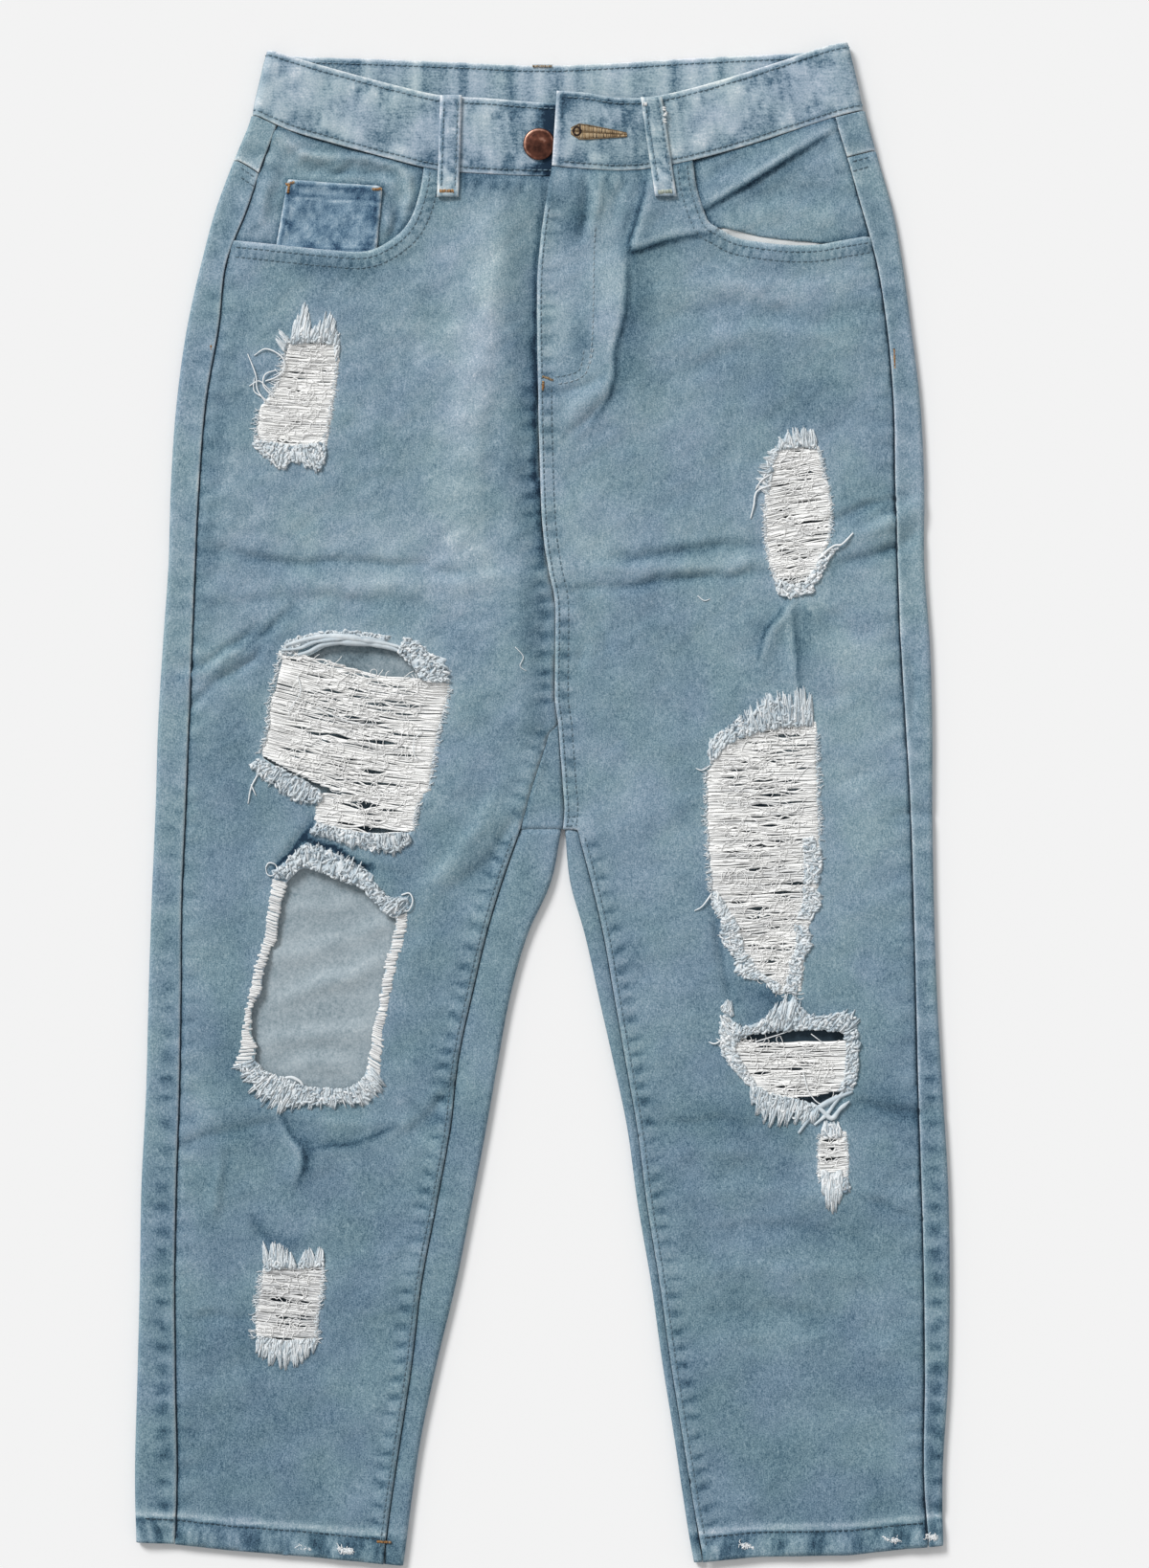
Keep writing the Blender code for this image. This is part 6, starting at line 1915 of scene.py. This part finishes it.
def add_fringes(side):
    """The thick fringes of one side: matted masses with loose ends that grow out of them, and stray yarns."""
    masses, faces, tones, groups, total = [], [], [], [], 0
    step = np.linspace(0, 1, 6)
    for number, (at, combed, density, height, tone, *lines) in enumerate(FRINGES):
        if at != side:
            continue
        rng = np.random.default_rng(300 + number)
        base, tips, width = fringe_lines(*lines)
        mass, shades = fringe_mass(side, base, tips, combed, height, tone)
        masses.append(mass.reshape(-1, 3))
        tones.append(shades)
        middle = len(base) // 2
        crossed = np.cross(tips[middle] - base[middle], base[-1] - base[0])
        faces += grid_faces(*mass.shape[:2], total, flip=bool(crossed < 0))
        total += len(shades)
        ends = base, tips, width, density, combed, step, rng
        for plan, thin, thick in ((combed_ends(*ends), 0.28, 0.62), (looped_ends(*ends), 0.5, 0.95)):
            x, y = plan[..., 0], plan[..., 1]
            rise = (height + 0.5) * rng.uniform(0.4, 1.15, (len(x), 1)) * hump(step, 0.2, 0.7)
            z = front_height(side, x, y) + 0.5 + rise
            size = rng.uniform(thin, thick, (len(x), 1)) * (1 - 0.5 * step ** 3)
            groups.append((np.stack((x, y, z), axis=-1), size, 3, tone + rng.normal(0, 0.16, len(x))))
    for at, radius, rise, line in STRAYS:
        if at == side:
            path = spaced(smooth_path(line, 0.5), 0.7)
            share = np.linspace(0, 1, len(path))
            z = front_height(side, path[:, 0], path[:, 1]) + 0.6 + rise * hump(share, 0.1, 0.8)
            size = radius * (1 - 0.4 * share ** 4) * (1 + 0.2 * grain(share * len(path) / 2, share, 99))
            groups.append((np.column_stack((path, z))[None], size[None], 5, 0.4))
    settle(add_mesh("fringe_masses_" + side, np.vstack(masses), faces, (material("felt"),),
                    {"wear_and_shade": np.concatenate(tones)}), "bared_weft")
    return add_threads("fringes_" + side, groups, "fray", "bared_weft")


# Wrapped edges at the open knee: the hole's side and the outer side of each, from top to bottom
KNEE_BORDERS = (
    (((-160, -50), (-164, -66), (-167, -86), (-171, -92), (-175, -108), (-176.5, -119), (-181, -124),
      (-182.5, -134), (-182.5, -145), (-179, -151), (-181, -163)),
     ((-169, -46), (-172, -69), (-175, -86), (-180, -103), (-184, -123), (-187.5, -140), (-189, -152),
      (-193, -163))),
    (((-91, -71), (-92, -79), (-96, -94), (-100, -113), (-102, -126), (-105.5, -140), (-107, -154),
      (-110, -168)),
     ((-84, -68), (-86, -83), (-89.5, -94), (-93, -108), (-96, -123), (-99.5, -140), (-100.5, -157),
      (-101.5, -172))),
)


def add_knee_borders():
    """Weft yarns that wrap the open knee's sides: each an arch from the hole's side to the outer side."""
    groups = []
    for number, (inner, outer) in enumerate(KNEE_BORDERS):
        rng = np.random.default_rng(number + 5)
        path = smooth_path(inner, 2)
        run = lengths(path)
        count = int(run[-1] / 1.15)
        share = np.clip(np.sort(rng.uniform(-0.3, 0.3, count) / count + np.linspace(0, 1, count)), 0, 1)
        lines = [smooth_path(line, 2) for line in (inner, outer)]
        ends = [read_path(line, np.linspace(0, 1, len(line)), share) for line in lines]
        across = np.linspace(0, 1, 8)[None, :, None]
        plan = ends[0][:, None] * (1 - across) + ends[1][:, None] * across
        plan = plan + np.concatenate((rng.normal(0, 0.5, (count, 1, 1)), np.zeros((count, 1, 1))), axis=-1)
        plan[..., 1] += 0.4 * grain(plan[..., 0] / 3, plan[..., 1] / 3, 95) - 0.8 * across[..., 0]
        arch = hump(across[..., 0], 0.06, 0.88, 0.5)
        z = front_height("right", plan[..., 0], plan[..., 1]) - 0.6 + 1.2 * arch
        paths = np.concatenate((plan, z[..., None]), axis=-1)
        groups.append((paths, rng.uniform(0.7, 0.95, (count, 1)), 4, -0.14 + rng.normal(0, 0.08, count)))
    return add_threads("knee_borders", groups, "yarn", "bared_weft")


# Rolled edges: side, radius, tone, height over the cloth, and line
ROLLS = (
    ("right", 1.9, 0.02, 0.4, ((-153, 93), (-146, 95), (-137, 99.5), (-124, 101), (-110, 100.2),
                               (-98, 98.4), (-90, 95.5), (-84, 90))),
    ("right", 2.0, 0.08, 1.4, ((-160, 99), (-150, 102), (-138, 104.4), (-124, 104.2), (-112, 102.5),
                               (-100, 100.6), (-89, 98))),
    ("right", 1.2, -0.04, 2.0, ((-163, 96), (-152, 97), (-142, 101), (-128, 102.8), (-114, 103.4),
                                (-98, 102))),
    ("left", 1.7, -0.06, 1.2, ((160, -206), (166, -198), (173, -190), (184, -184), (194, -180))),
    ("left", 1.5, 0.02, 1.8, ((168, -187), (175, -192), (181, -197), (186, -191), (192, -186))),
    ("left", 1.3, 0.04, 1.4, ((170, -201), (178, -194), (183, -187), (188, -180))),
    ("left", 1.5, -0.02, 0.8, ((122, -141), (134, -139), (144, -133), (151, -126), (160, -124))),
    ("left", 1.6, 0.02, 0.8, ((152, -137), (164, -134), (178, -136), (192, -135))),
    ("right", 1.1, 0.30, 1.2, ((-163, -172), (-157, -171), (-151, -174), (-149, -178))),
    ("right", 1.6, -0.02, 1.4, ((-166, -44), (-156, -38), (-148, -31), (-138, -30), (-124, -34))),
    ("right", 1.5, 0.02, 1.4, ((-140, -36), (-126, -41), (-112, -46), (-104, -55), (-94, -64))),
)


def add_rolls():
    """Edges of the twill rolled back on themselves: tubes along the rips' edges, thinning to their ends."""
    groups = []
    for number, (side, radius, tone, above, line) in enumerate(ROLLS):
        path = spaced(smooth_path(line, 2), 1.6)
        share = np.linspace(0, 1, len(path))
        z = front_height(side, path[:, 0], path[:, 1]) + above
        lumpy = 1 + 0.28 * grain(share * len(path) / 3, share + 3 * number, 96)
        size = radius * lumpy * hump(share, 0.06, 0.88, 0.5)
        groups.append((np.column_stack((path, z))[None], size[None], 10, tone))
    return add_threads("rolled_edges", groups, "fray", "bared_weft")


# A stitch's places above the cloth, as shares of its radius
STITCH_ARCH = np.array((-0.5, 0.75, 0.75, -0.5))
STITCH_SHARES = np.linspace(0, 1, len(STITCH_ARCH))


def stitch_sizes(looks):
    """Pitch, length and radius of the stitches, in millimetres."""
    return looks.stitch_pitch / MM, looks.stitch_length / MM, looks.thread_width / MM / 2


def stitch_row(path, height, pitch, length, radius, tone, offset=0.0):
    """Stitches along a line: each an arch that dips into the cloth at both ends.

    path runs along the seam and offset moves the row to its left. height(x, y) is the cloth's surface.
    """
    path = beside(spaced(path, 2.0), offset) if offset else spaced(path, 2.0)
    run = lengths(path)
    start = np.arange(pitch / 2, run[-1] - length, pitch)
    at = start[:, None] + STITCH_SHARES * length
    x, y = (np.interp(at, run, column) for column in path.T)
    z = height(x, y) + radius * STITCH_ARCH
    return np.stack((x, y, z), axis=-1), radius, 3, tone


def bar_tack(x, y, width, high, direction, surface, rng):
    """A bar tack: close stitches side by side, each square to the bar's own direction in degrees."""
    turn = math.radians(direction)
    along, across = np.array((math.cos(turn), math.sin(turn))), np.array((-math.sin(turn), math.cos(turn)))
    places = np.arange(-width / 2, width / 2, 0.62)
    reach = np.linspace(-0.5, 0.5, 5) * high
    plan = np.array((x, y)) + places[:, None, None] * along + reach[None, :, None] * across
    plan = plan + rng.normal(0, 0.12, (len(places), 1, 2))
    z = surface(plan[..., 0], plan[..., 1]) + np.array((-0.1, 0.45, 0.6, 0.45, -0.1))
    return np.concatenate((plan, z[..., None]), axis=-1), 0.34, 4, rng.normal(0, 0.15, len(places))


def panel_top(side):
    """The outer surface of a front panel, with the rise of its folded seams."""
    seams = panel_seams(side)
    return lambda x, y: front_height(side, x, y) + seam_relief(side, x, y, seams)[0] + DENIM / 2 - 0.05


def strip_top(side):
    """The outer surface of the strip between an outseam and the side fold."""
    return lambda x, y: front_height(side, x, y) + 0.5 * bell(x - outseam_x(side, y), 5) + DENIM / 2


def band_surface(side):
    """The outer surface of the waistband's front."""
    return lambda x, y: band_height(side, x) + BAND_CLOTH / 2 - 0.12


# The fly's stitch row, and the stretch of it that is bleached
FLY_STITCHES = ((33, 362), (32, 340), (31.5, 301), (30, 281), (26.5, 268), (17, 263.5), (7.5, 262))
FLY_BLEACHED = ((32, 286), (30.5, 279), (29, 272))


def seam_rows(side, looks):
    """The topstitching of one front: pocket mouth, inseam, hem and, on the left, the middle line and the fly.
    """
    top, seams, sign = panel_top(side), panel_seams(side), SIGN[side]
    pitch, length, radius = stitch_sizes(looks)
    rows = [(seams["mouth"], -4.0 * sign, -0.1), (seams["mouth"], -10.0 * sign, -0.1)]
    rows += [(seams["leg"], (-1 if side == "right" else 1) * 3.0, -0.1)]
    hem = seams["hem"] + np.array((0, HEM_DEPTH))
    rows += [(hem, 0, -0.38)]
    if side == "left":
        middle = seams["middle"]
        rows += [(middle[middle[:, 1] < 262], 2.2, -0.1), (middle[middle[:, 1] < 262], 8.0, -0.1),
                 (middle[middle[:, 1] > 250], 2.2, 0.0)]
        fly = smooth_path(FLY_STITCHES, 4)
        rows += [(fly, 0, 0.28), (fly[-9:], -4.5, 0.1), (np.array(FLY_BLEACHED), 0, 1.2)]
    return [stitch_row(path, top, pitch, length, radius, tone, offset) for path, offset, tone in rows]


def add_seam_stitches(side, looks):
    """The stitch rows of one side's front and strips, with dark cords in the outseam and inseam grooves as
    painted shadow, joined.
    """
    pitch, length, radius = stitch_sizes(looks)
    rows = seam_rows(side, looks)
    x = np.linspace(outseam_x(side, -448), fold_x(side, -448, DENIM), 12)
    hem = np.column_stack((x, hem_y(side, x) + HEM_DEPTH))
    rows.append(stitch_row(hem, strip_top(side), pitch, length, radius, -0.38))
    # Dark cords laid in the outseam's and inseam's grooves: painted shadow of the grooves
    for path in (down_line(outseam_x, side, MOUTH_OUTSEAM_Y[side] + 60, -460),
                 down_line(inseam_x, side, CROTCH[1] - 6, -470)):
        z = front_height(side, path[:, 0], path[:, 1]) + DENIM / 2 - 0.45
        rows.append((np.column_stack((path, z))[None], 0.54, 5, -0.52))
    y_out, y_fold, _ = YOKE_SEAM[side]
    yoke = np.array(((outseam_x(side, y_out) - SIGN[side] * 2, y_out), (fold_x(side, y_fold, DENIM), y_fold)))
    for down in (-3, -9):
        rows.append(stitch_row(yoke + (0, down), strip_top(side), pitch, length, radius, -0.1))
    return add_threads("stitches_" + side, rows, "thread", "indigo_denim")


def add_band_stitches(looks):
    """The waistband's two stitch rows, along the front, round the folds and along the back."""
    pitch, length, radius = stitch_sizes(looks)
    grid, _ = band_grid()
    normal = normals(grid)
    rows = []
    for column, face in ((1.55, 1), (18.45, 1), (18.45, -1)):
        low, share = int(column), column % 1
        path, out = between(grid, low, share), between(normal, low, share)
        run = lengths(path)
        start = np.arange(pitch, run[-1] - length - pitch, pitch)
        at = start[:, None] + STITCH_SHARES * length
        place = read_path(path, run, at)
        away = read_path(out, run, at)
        lift = BAND_CLOTH / 2 - 0.2 + radius * STITCH_ARCH
        rows.append((place + away * face * lift[:, None], radius, 3, 0.0))
    for side in SIDES:
        surface = loop_top(side)
        (x_top, y_top), (x_low, y_low) = LOOP_ENDS[side]
        for offset in (-4.3, 4.3):
            path = np.array(((x_top + offset, y_top - 2), (x_low + offset, y_low + 6)))
            rows.append(stitch_row(path, surface, pitch, length, radius, 0.0))
    return add_threads("stitches_waistband", rows, "thread", "waistband_denim")


def loop_top(side):
    """The outer surface of a front belt loop, easing from the band to the panel."""
    (_, y_top), (_, y_low) = LOOP_ENDS[side]

    return lambda x, y: loop_floor(side, x, y, (y_top - y) / (y_top - y_low)) + LOOP_CLOTH + 0.65


# Bar tacks: side, x, y, width, height, direction in degrees, finish, surface
TACKS = (
    ("right", -59.5, 382.5, 9, 2.0, 0, "tack", "loop"),
    ("left", 76.8, 381.8, 9, 2.6, 5, "pale", "loop"),
    ("left", 76.2, 434, 2.4, 2.0, 80, "yarn", "loop"),
    ("left", 76.9, 430.4, 2.8, 1.5, 60, "yarn", "loop"),
    ("left", 76.4, 426.6, 2.2, 1.8, 100, "yarn", "loop"),
    ("left", 64, 436.5, 2.6, 2.4, 3, "yarn", "loop"),
    ("left", 0, 461.5, 12, 1.0, 0, "hole", "back"),
    ("left", 3.5, 265.5, 7, 1.2, -20, "hole", "panel"),
    ("left", 0.5, 261, 5, 1.2, 85, "tack", "panel"),
    ("right", -157.5, 387.5, 5, 1.3, 20, "tack", "facing"),
    ("right", -158.6, 384, 5, 1.2, 80, "tack", "facing"),
    ("right", -103, 384, 6, 1.3, 0, "tack", "facing"),
    ("right", -207, 280.5, 12, 1.1, 88, "tack", "panel"),
    ("left", 220, 278.5, 12, 1.1, 92, "tack", "panel"),
    ("right", -99, -461.6, 9, 1.2, -4, "tack", "panel"),
)


def add_tacks(finish):
    """The bar tacks sewn in one thread."""
    rng = np.random.default_rng(17)
    rows = []
    for side, x, y, width, high, direction, kind, place in TACKS:
        if kind != finish:
            continue
        surface = {"loop": loop_top(side), "panel": panel_top(side),
                   "facing": lambda x, y: front_height("right", x, y) + 0.2,
                   "back": lambda x, y: STACK + BAND_CLOTH + 0.1 + 0 * x}[place]
        rows.append(bar_tack(x, y, width, high, direction, surface, rng))
    return add_threads("bar_tacks_" + finish, rows, finish, "indigo_denim")


def add_buttonhole():
    """The keyhole on the tab: stitches square to its middle line on both sides, and a dark slit and eye that
    are painted shadow of the opening.

    The stitches' length is a bell-like curve along the line, longest by the eye.
    """
    surface = band_surface("left")
    count = 62
    share = np.linspace(0, 1, count)
    middle = np.column_stack((18 + 34.5 * share, 419.8 - 2.2 * share))
    reach = np.interp(share, (0, 0.05, 0.14, 0.28, 0.6, 0.9, 1), (1.5, 3.0, 4.2, 4.0, 2.7, 1.5, 0.7))
    rng = np.random.default_rng(23)
    across = np.linspace(0, 1, 5)[None, :]
    groups = []
    for way in (-1, 1):
        x = middle[:, :1] + 0 * across + rng.normal(0, 0.1, (count, 1))
        y = middle[:, 1:] + way * (0.15 + across * (reach * rng.uniform(0.9, 1.08, count))[:, None])
        z = surface(x, y) + np.array((0.1, 0.6, 0.8, 0.6, -0.1))
        groups.append((np.stack((x, y, z), axis=-1), 0.36, 4, 0.1 + rng.normal(0, 0.2, count)))
    hole = add_threads("buttonhole_stitches", groups, "hole", "waistband_denim")
    share = np.linspace(0, 1, 40)
    line = np.column_stack((19.5 + 30 * share, 419.6 - 1.9 * share, 0 * share))
    size = np.interp(share, (0, 0.02, 0.07, 0.1, 0.5, 1), (0.5, 1.4, 1.4, 0.4, 0.3, 0.2))
    line[:, 2] = surface(line[:, 0], line[:, 1]) + 0.9 - size
    turn = np.linspace(0, 2 * math.pi, 20)
    eye = np.column_stack((21.6 + 2.3 * np.cos(turn), 419.6 + 2.5 * np.sin(turn), 0 * turn))
    reach = np.interp(middle[:, 0], (18, 23, 28, 52.5), (1.9, 4.7, 4.4, 1.2))
    off = np.column_stack((0 * reach, reach))
    edge = np.vstack((middle + off, (middle - off)[::-1]))
    edge = np.column_stack((edge, 0 * edge[:, 0]))
    for path in (eye, edge):
        path[:, 2] = surface(path[:, 0], path[:, 1]) + 0.5
    # The slit and the eye are dark tubes that stand for the shadowed opening: painted shadow. The outline is
    # a darker tan thread round the stitches
    groups = [(line[None], size[None], 6, -0.25), (eye[None], 0.85, 6, -0.6), (edge[None], 0.38, 5, -0.28)]
    return hole, add_threads("buttonhole_outline", groups, "hole", "waistband_denim")


class JeansLooks(bpy.types.PropertyGroup):
    """Sizes of the jeans that a user would change."""

    cloth_step: bpy.props.FloatProperty(
        name="Cloth grid", description="Distance between places on a front panel", default=0.0023,
        min=0.0015, max=0.01, subtype="DISTANCE", unit="LENGTH")
    yarn_pitch: bpy.props.FloatProperty(
        name="Yarn pitch", description="Distance between bared yarns", default=0.0008,
        min=0.0004, max=0.003, subtype="DISTANCE", unit="LENGTH")
    yarn_width: bpy.props.FloatProperty(
        name="Yarn width", description="Thickness of a bared yarn", default=0.0012,
        min=0.0002, max=0.002, subtype="DISTANCE", unit="LENGTH")
    stitch_pitch: bpy.props.FloatProperty(
        name="Stitch pitch", description="Distance from one stitch to the next", default=0.0036,
        min=0.001, max=0.01, subtype="DISTANCE", unit="LENGTH")
    stitch_length: bpy.props.FloatProperty(
        name="Stitch length", description="Length of one stitch", default=0.0028,
        min=0.001, max=0.01, subtype="DISTANCE", unit="LENGTH")
    thread_width: bpy.props.FloatProperty(
        name="Thread width", description="Thickness of the sewing thread", default=0.0008,
        min=0.0002, max=0.002, subtype="DISTANCE", unit="LENGTH")


class StageLooks(bpy.types.PropertyGroup):
    """Colours and levels of the stage."""

    floor: bpy.props.FloatVectorProperty(
        name="Floor", description="Colour of the floor", default=linear("#f3f3f3"), min=0, max=1,
        size=3, subtype="COLOR")
    sky: bpy.props.FloatProperty(
        name="Sky", description="Level of the soft light from all round", default=0.50, min=0, max=2)
    sun: bpy.props.FloatProperty(
        name="Sun", description="Strength of the soft lamp", default=2.55, min=0, max=10)
    spread: bpy.props.FloatProperty(
        name="Spread", description="How wide the soft lamp is", default=math.radians(20), subtype="ANGLE",
        unit="ROTATION")
    reach: bpy.props.FloatProperty(
        name="Camera height", description="How far the camera is above the floor", default=2.5, min=1, max=10,
        subtype="DISTANCE", unit="LENGTH")


class JEANS_OT_panels(bpy.types.Operator):
    """Builds the four leg panels and the two yokes"""

    bl_idname = "jeans.panels"
    bl_label = "Denim panels"

    def execute(self, context):
        for side in SIDES:
            add_front(side, context.scene.jeans_looks)
            add_back(side)
            add_yoke(side)
        return {"FINISHED"}


class JEANS_OT_pockets(bpy.types.Operator):
    """Builds the pocket facings, the coin pocket, the lining that shows and the back pockets"""

    bl_idname = "jeans.pockets"
    bl_label = "Pockets"

    def execute(self, context):
        add_coin_pocket()
        add_lining()
        for side in SIDES:
            add_facing(side)
            add_back_pocket(side)
        return {"FINISHED"}


class JEANS_OT_waist(bpy.types.Operator):
    """Builds the waistband, its belt loops and its button"""

    bl_idname = "jeans.waist"
    bl_label = "Waistband, loops and button"

    def execute(self, context):
        add_waistband()
        for side in SIDES:
            add_front_loop(side)
        for name, x in zip(("back_right", "centre_back", "back_left"), BACK_LOOP_X):
            add_back_loop(name, x)
        add_button()
        return {"FINISHED"}


class JEANS_OT_rips(bpy.types.Operator):
    """Builds the bared yarns, rolled edges and frays of the rips"""

    bl_idname = "jeans.rips"
    bl_label = "Rips"

    def execute(self, context):
        for side, place in YARN_FIELDS:
            add_yarns(side, place, context.scene.jeans_looks)
        for side in SIDES:
            add_frays(side)
            add_fringes(side)
        add_knee_borders()
        add_rolls()
        return {"FINISHED"}


class JEANS_OT_stitches(bpy.types.Operator):
    """Builds the topstitching, the bar tacks and the buttonhole"""

    bl_idname = "jeans.stitches"
    bl_label = "Stitching"

    def execute(self, context):
        for side in SIDES:
            add_seam_stitches(side, context.scene.jeans_looks)
        add_band_stitches(context.scene.jeans_looks)
        for finish in ("tack", "pale", "yarn", "hole"):
            add_tacks(finish)
        add_buttonhole()
        return {"FINISHED"}


class JEANS_OT_stage(bpy.types.Operator):
    """Adds the floor, the soft light and the camera above"""

    bl_idname = "jeans.stage"
    bl_label = "Stage"

    def execute(self, context):
        looks = context.scene.stage_looks
        corners = [(x * FLOOR_REACH, y * FLOOR_REACH, -GAP) for x, y in ((-1, -1), (1, -1), (1, 1), (-1, 1))]
        floor = add_mesh("floor", corners, [(0, 1, 2, 3)], (add_floor_finish(looks),), smooth=False)
        add_light(context.scene, looks)
        add_camera(context.scene, looks)
        return {"FINISHED"}


def add_floor_finish(looks):
    """Matt seamless paper in one pale colour."""
    finish = bpy.data.materials.new("Backdrop paper, matt")
    finish.use_nodes = True
    tree = finish.node_tree
    shader = tree.nodes["Principled BSDF"]
    shader.inputs["Base Color"].default_value = (*looks.floor, 1)
    shader.inputs["Roughness"].default_value = 1.0
    shader.inputs["Specular IOR Level"].default_value = 0.0
    return finish


def add_light(scene, looks):
    """A pale sky that the camera sees as the floor's colour, and one soft lamp from the upper left."""
    world = bpy.data.worlds.new("studio")
    world.use_nodes = True
    tree = world.node_tree
    ray = add_node(tree, "LightPath")
    seen = add_node(tree, "Math", {"operation": "MAXIMUM"}, {0: ray.outputs["Is Camera Ray"],
                                                             1: ray.outputs["Is Glossy Ray"]})
    seen = add_node(tree, "Math", {"operation": "MAXIMUM"}, {0: seen.outputs[0],
                                                             1: ray.outputs["Is Transmission Ray"]})
    level = add_node(tree, "MapRange", {},
                     {"Value": seen.outputs[0], "To Min": looks.sky, "To Max": SKY_SEEN})
    tree.links.new(level.outputs[0], tree.nodes["Background"].inputs["Strength"])
    tree.nodes["Background"].inputs["Color"].default_value = (1, 1, 1, 1)
    scene.world = world
    lamp = bpy.data.lights.new("soft lamp", "SUN")
    lamp.energy = looks.sun
    lamp.angle = looks.spread
    obj = bpy.data.objects.new("soft lamp", lamp)
    obj.rotation_euler = (math.pi / 2 - LAMP_RISE, 0, LAMP_TURN + math.pi / 2)
    scene.collection.objects.link(obj)


def add_camera(scene, looks):
    """A camera straight above the middle of the view, whose long side takes in 983 mm at the floor."""
    lens = bpy.data.cameras.new("camera")
    lens.sensor_width = 36
    lens.lens = lens.sensor_width * looks.reach / VIEW_LENGTH
    obj = bpy.data.objects.new("camera", lens)
    obj.location = (*VIEW_CENTRE, looks.reach)
    scene.collection.objects.link(obj)
    scene.camera = obj
    scene.view_settings.view_transform = "Standard"


class JEANS_PT_build(bpy.types.Panel):
    """Lists the steps that build the jeans and the values that they take"""

    bl_idname = "JEANS_PT_build"
    bl_label = "Ripped jeans"
    bl_space_type = "VIEW_3D"
    bl_region_type = "UI"
    bl_category = "Jeans"

    def draw(self, context):
        for group in (context.scene.jeans_looks, context.scene.stage_looks):
            for key in type(group).__annotations__:
                self.layout.prop(group, key)
        for step in STEPS:
            self.layout.operator(step.bl_idname)


STEPS = (JEANS_OT_panels, JEANS_OT_pockets, JEANS_OT_waist, JEANS_OT_rips, JEANS_OT_stitches, JEANS_OT_stage)
CLASSES = (JeansLooks, StageLooks, *STEPS, JEANS_PT_build)


def register():
    for kind in CLASSES:
        bpy.utils.register_class(kind)
    bpy.types.Scene.jeans_looks = bpy.props.PointerProperty(type=JeansLooks)
    bpy.types.Scene.stage_looks = bpy.props.PointerProperty(type=StageLooks)


def unregister():
    del bpy.types.Scene.stage_looks
    del bpy.types.Scene.jeans_looks
    for kind in reversed(CLASSES):
        bpy.utils.unregister_class(kind)


def main():
    register()
    for step in STEPS:
        group, name = step.bl_idname.split(".")
        result = getattr(getattr(bpy.ops, group), name)()
        if result != {"FINISHED"}:
            raise RuntimeError(step.bl_label + " didn't finish")


if __name__ == "__main__":
    main()
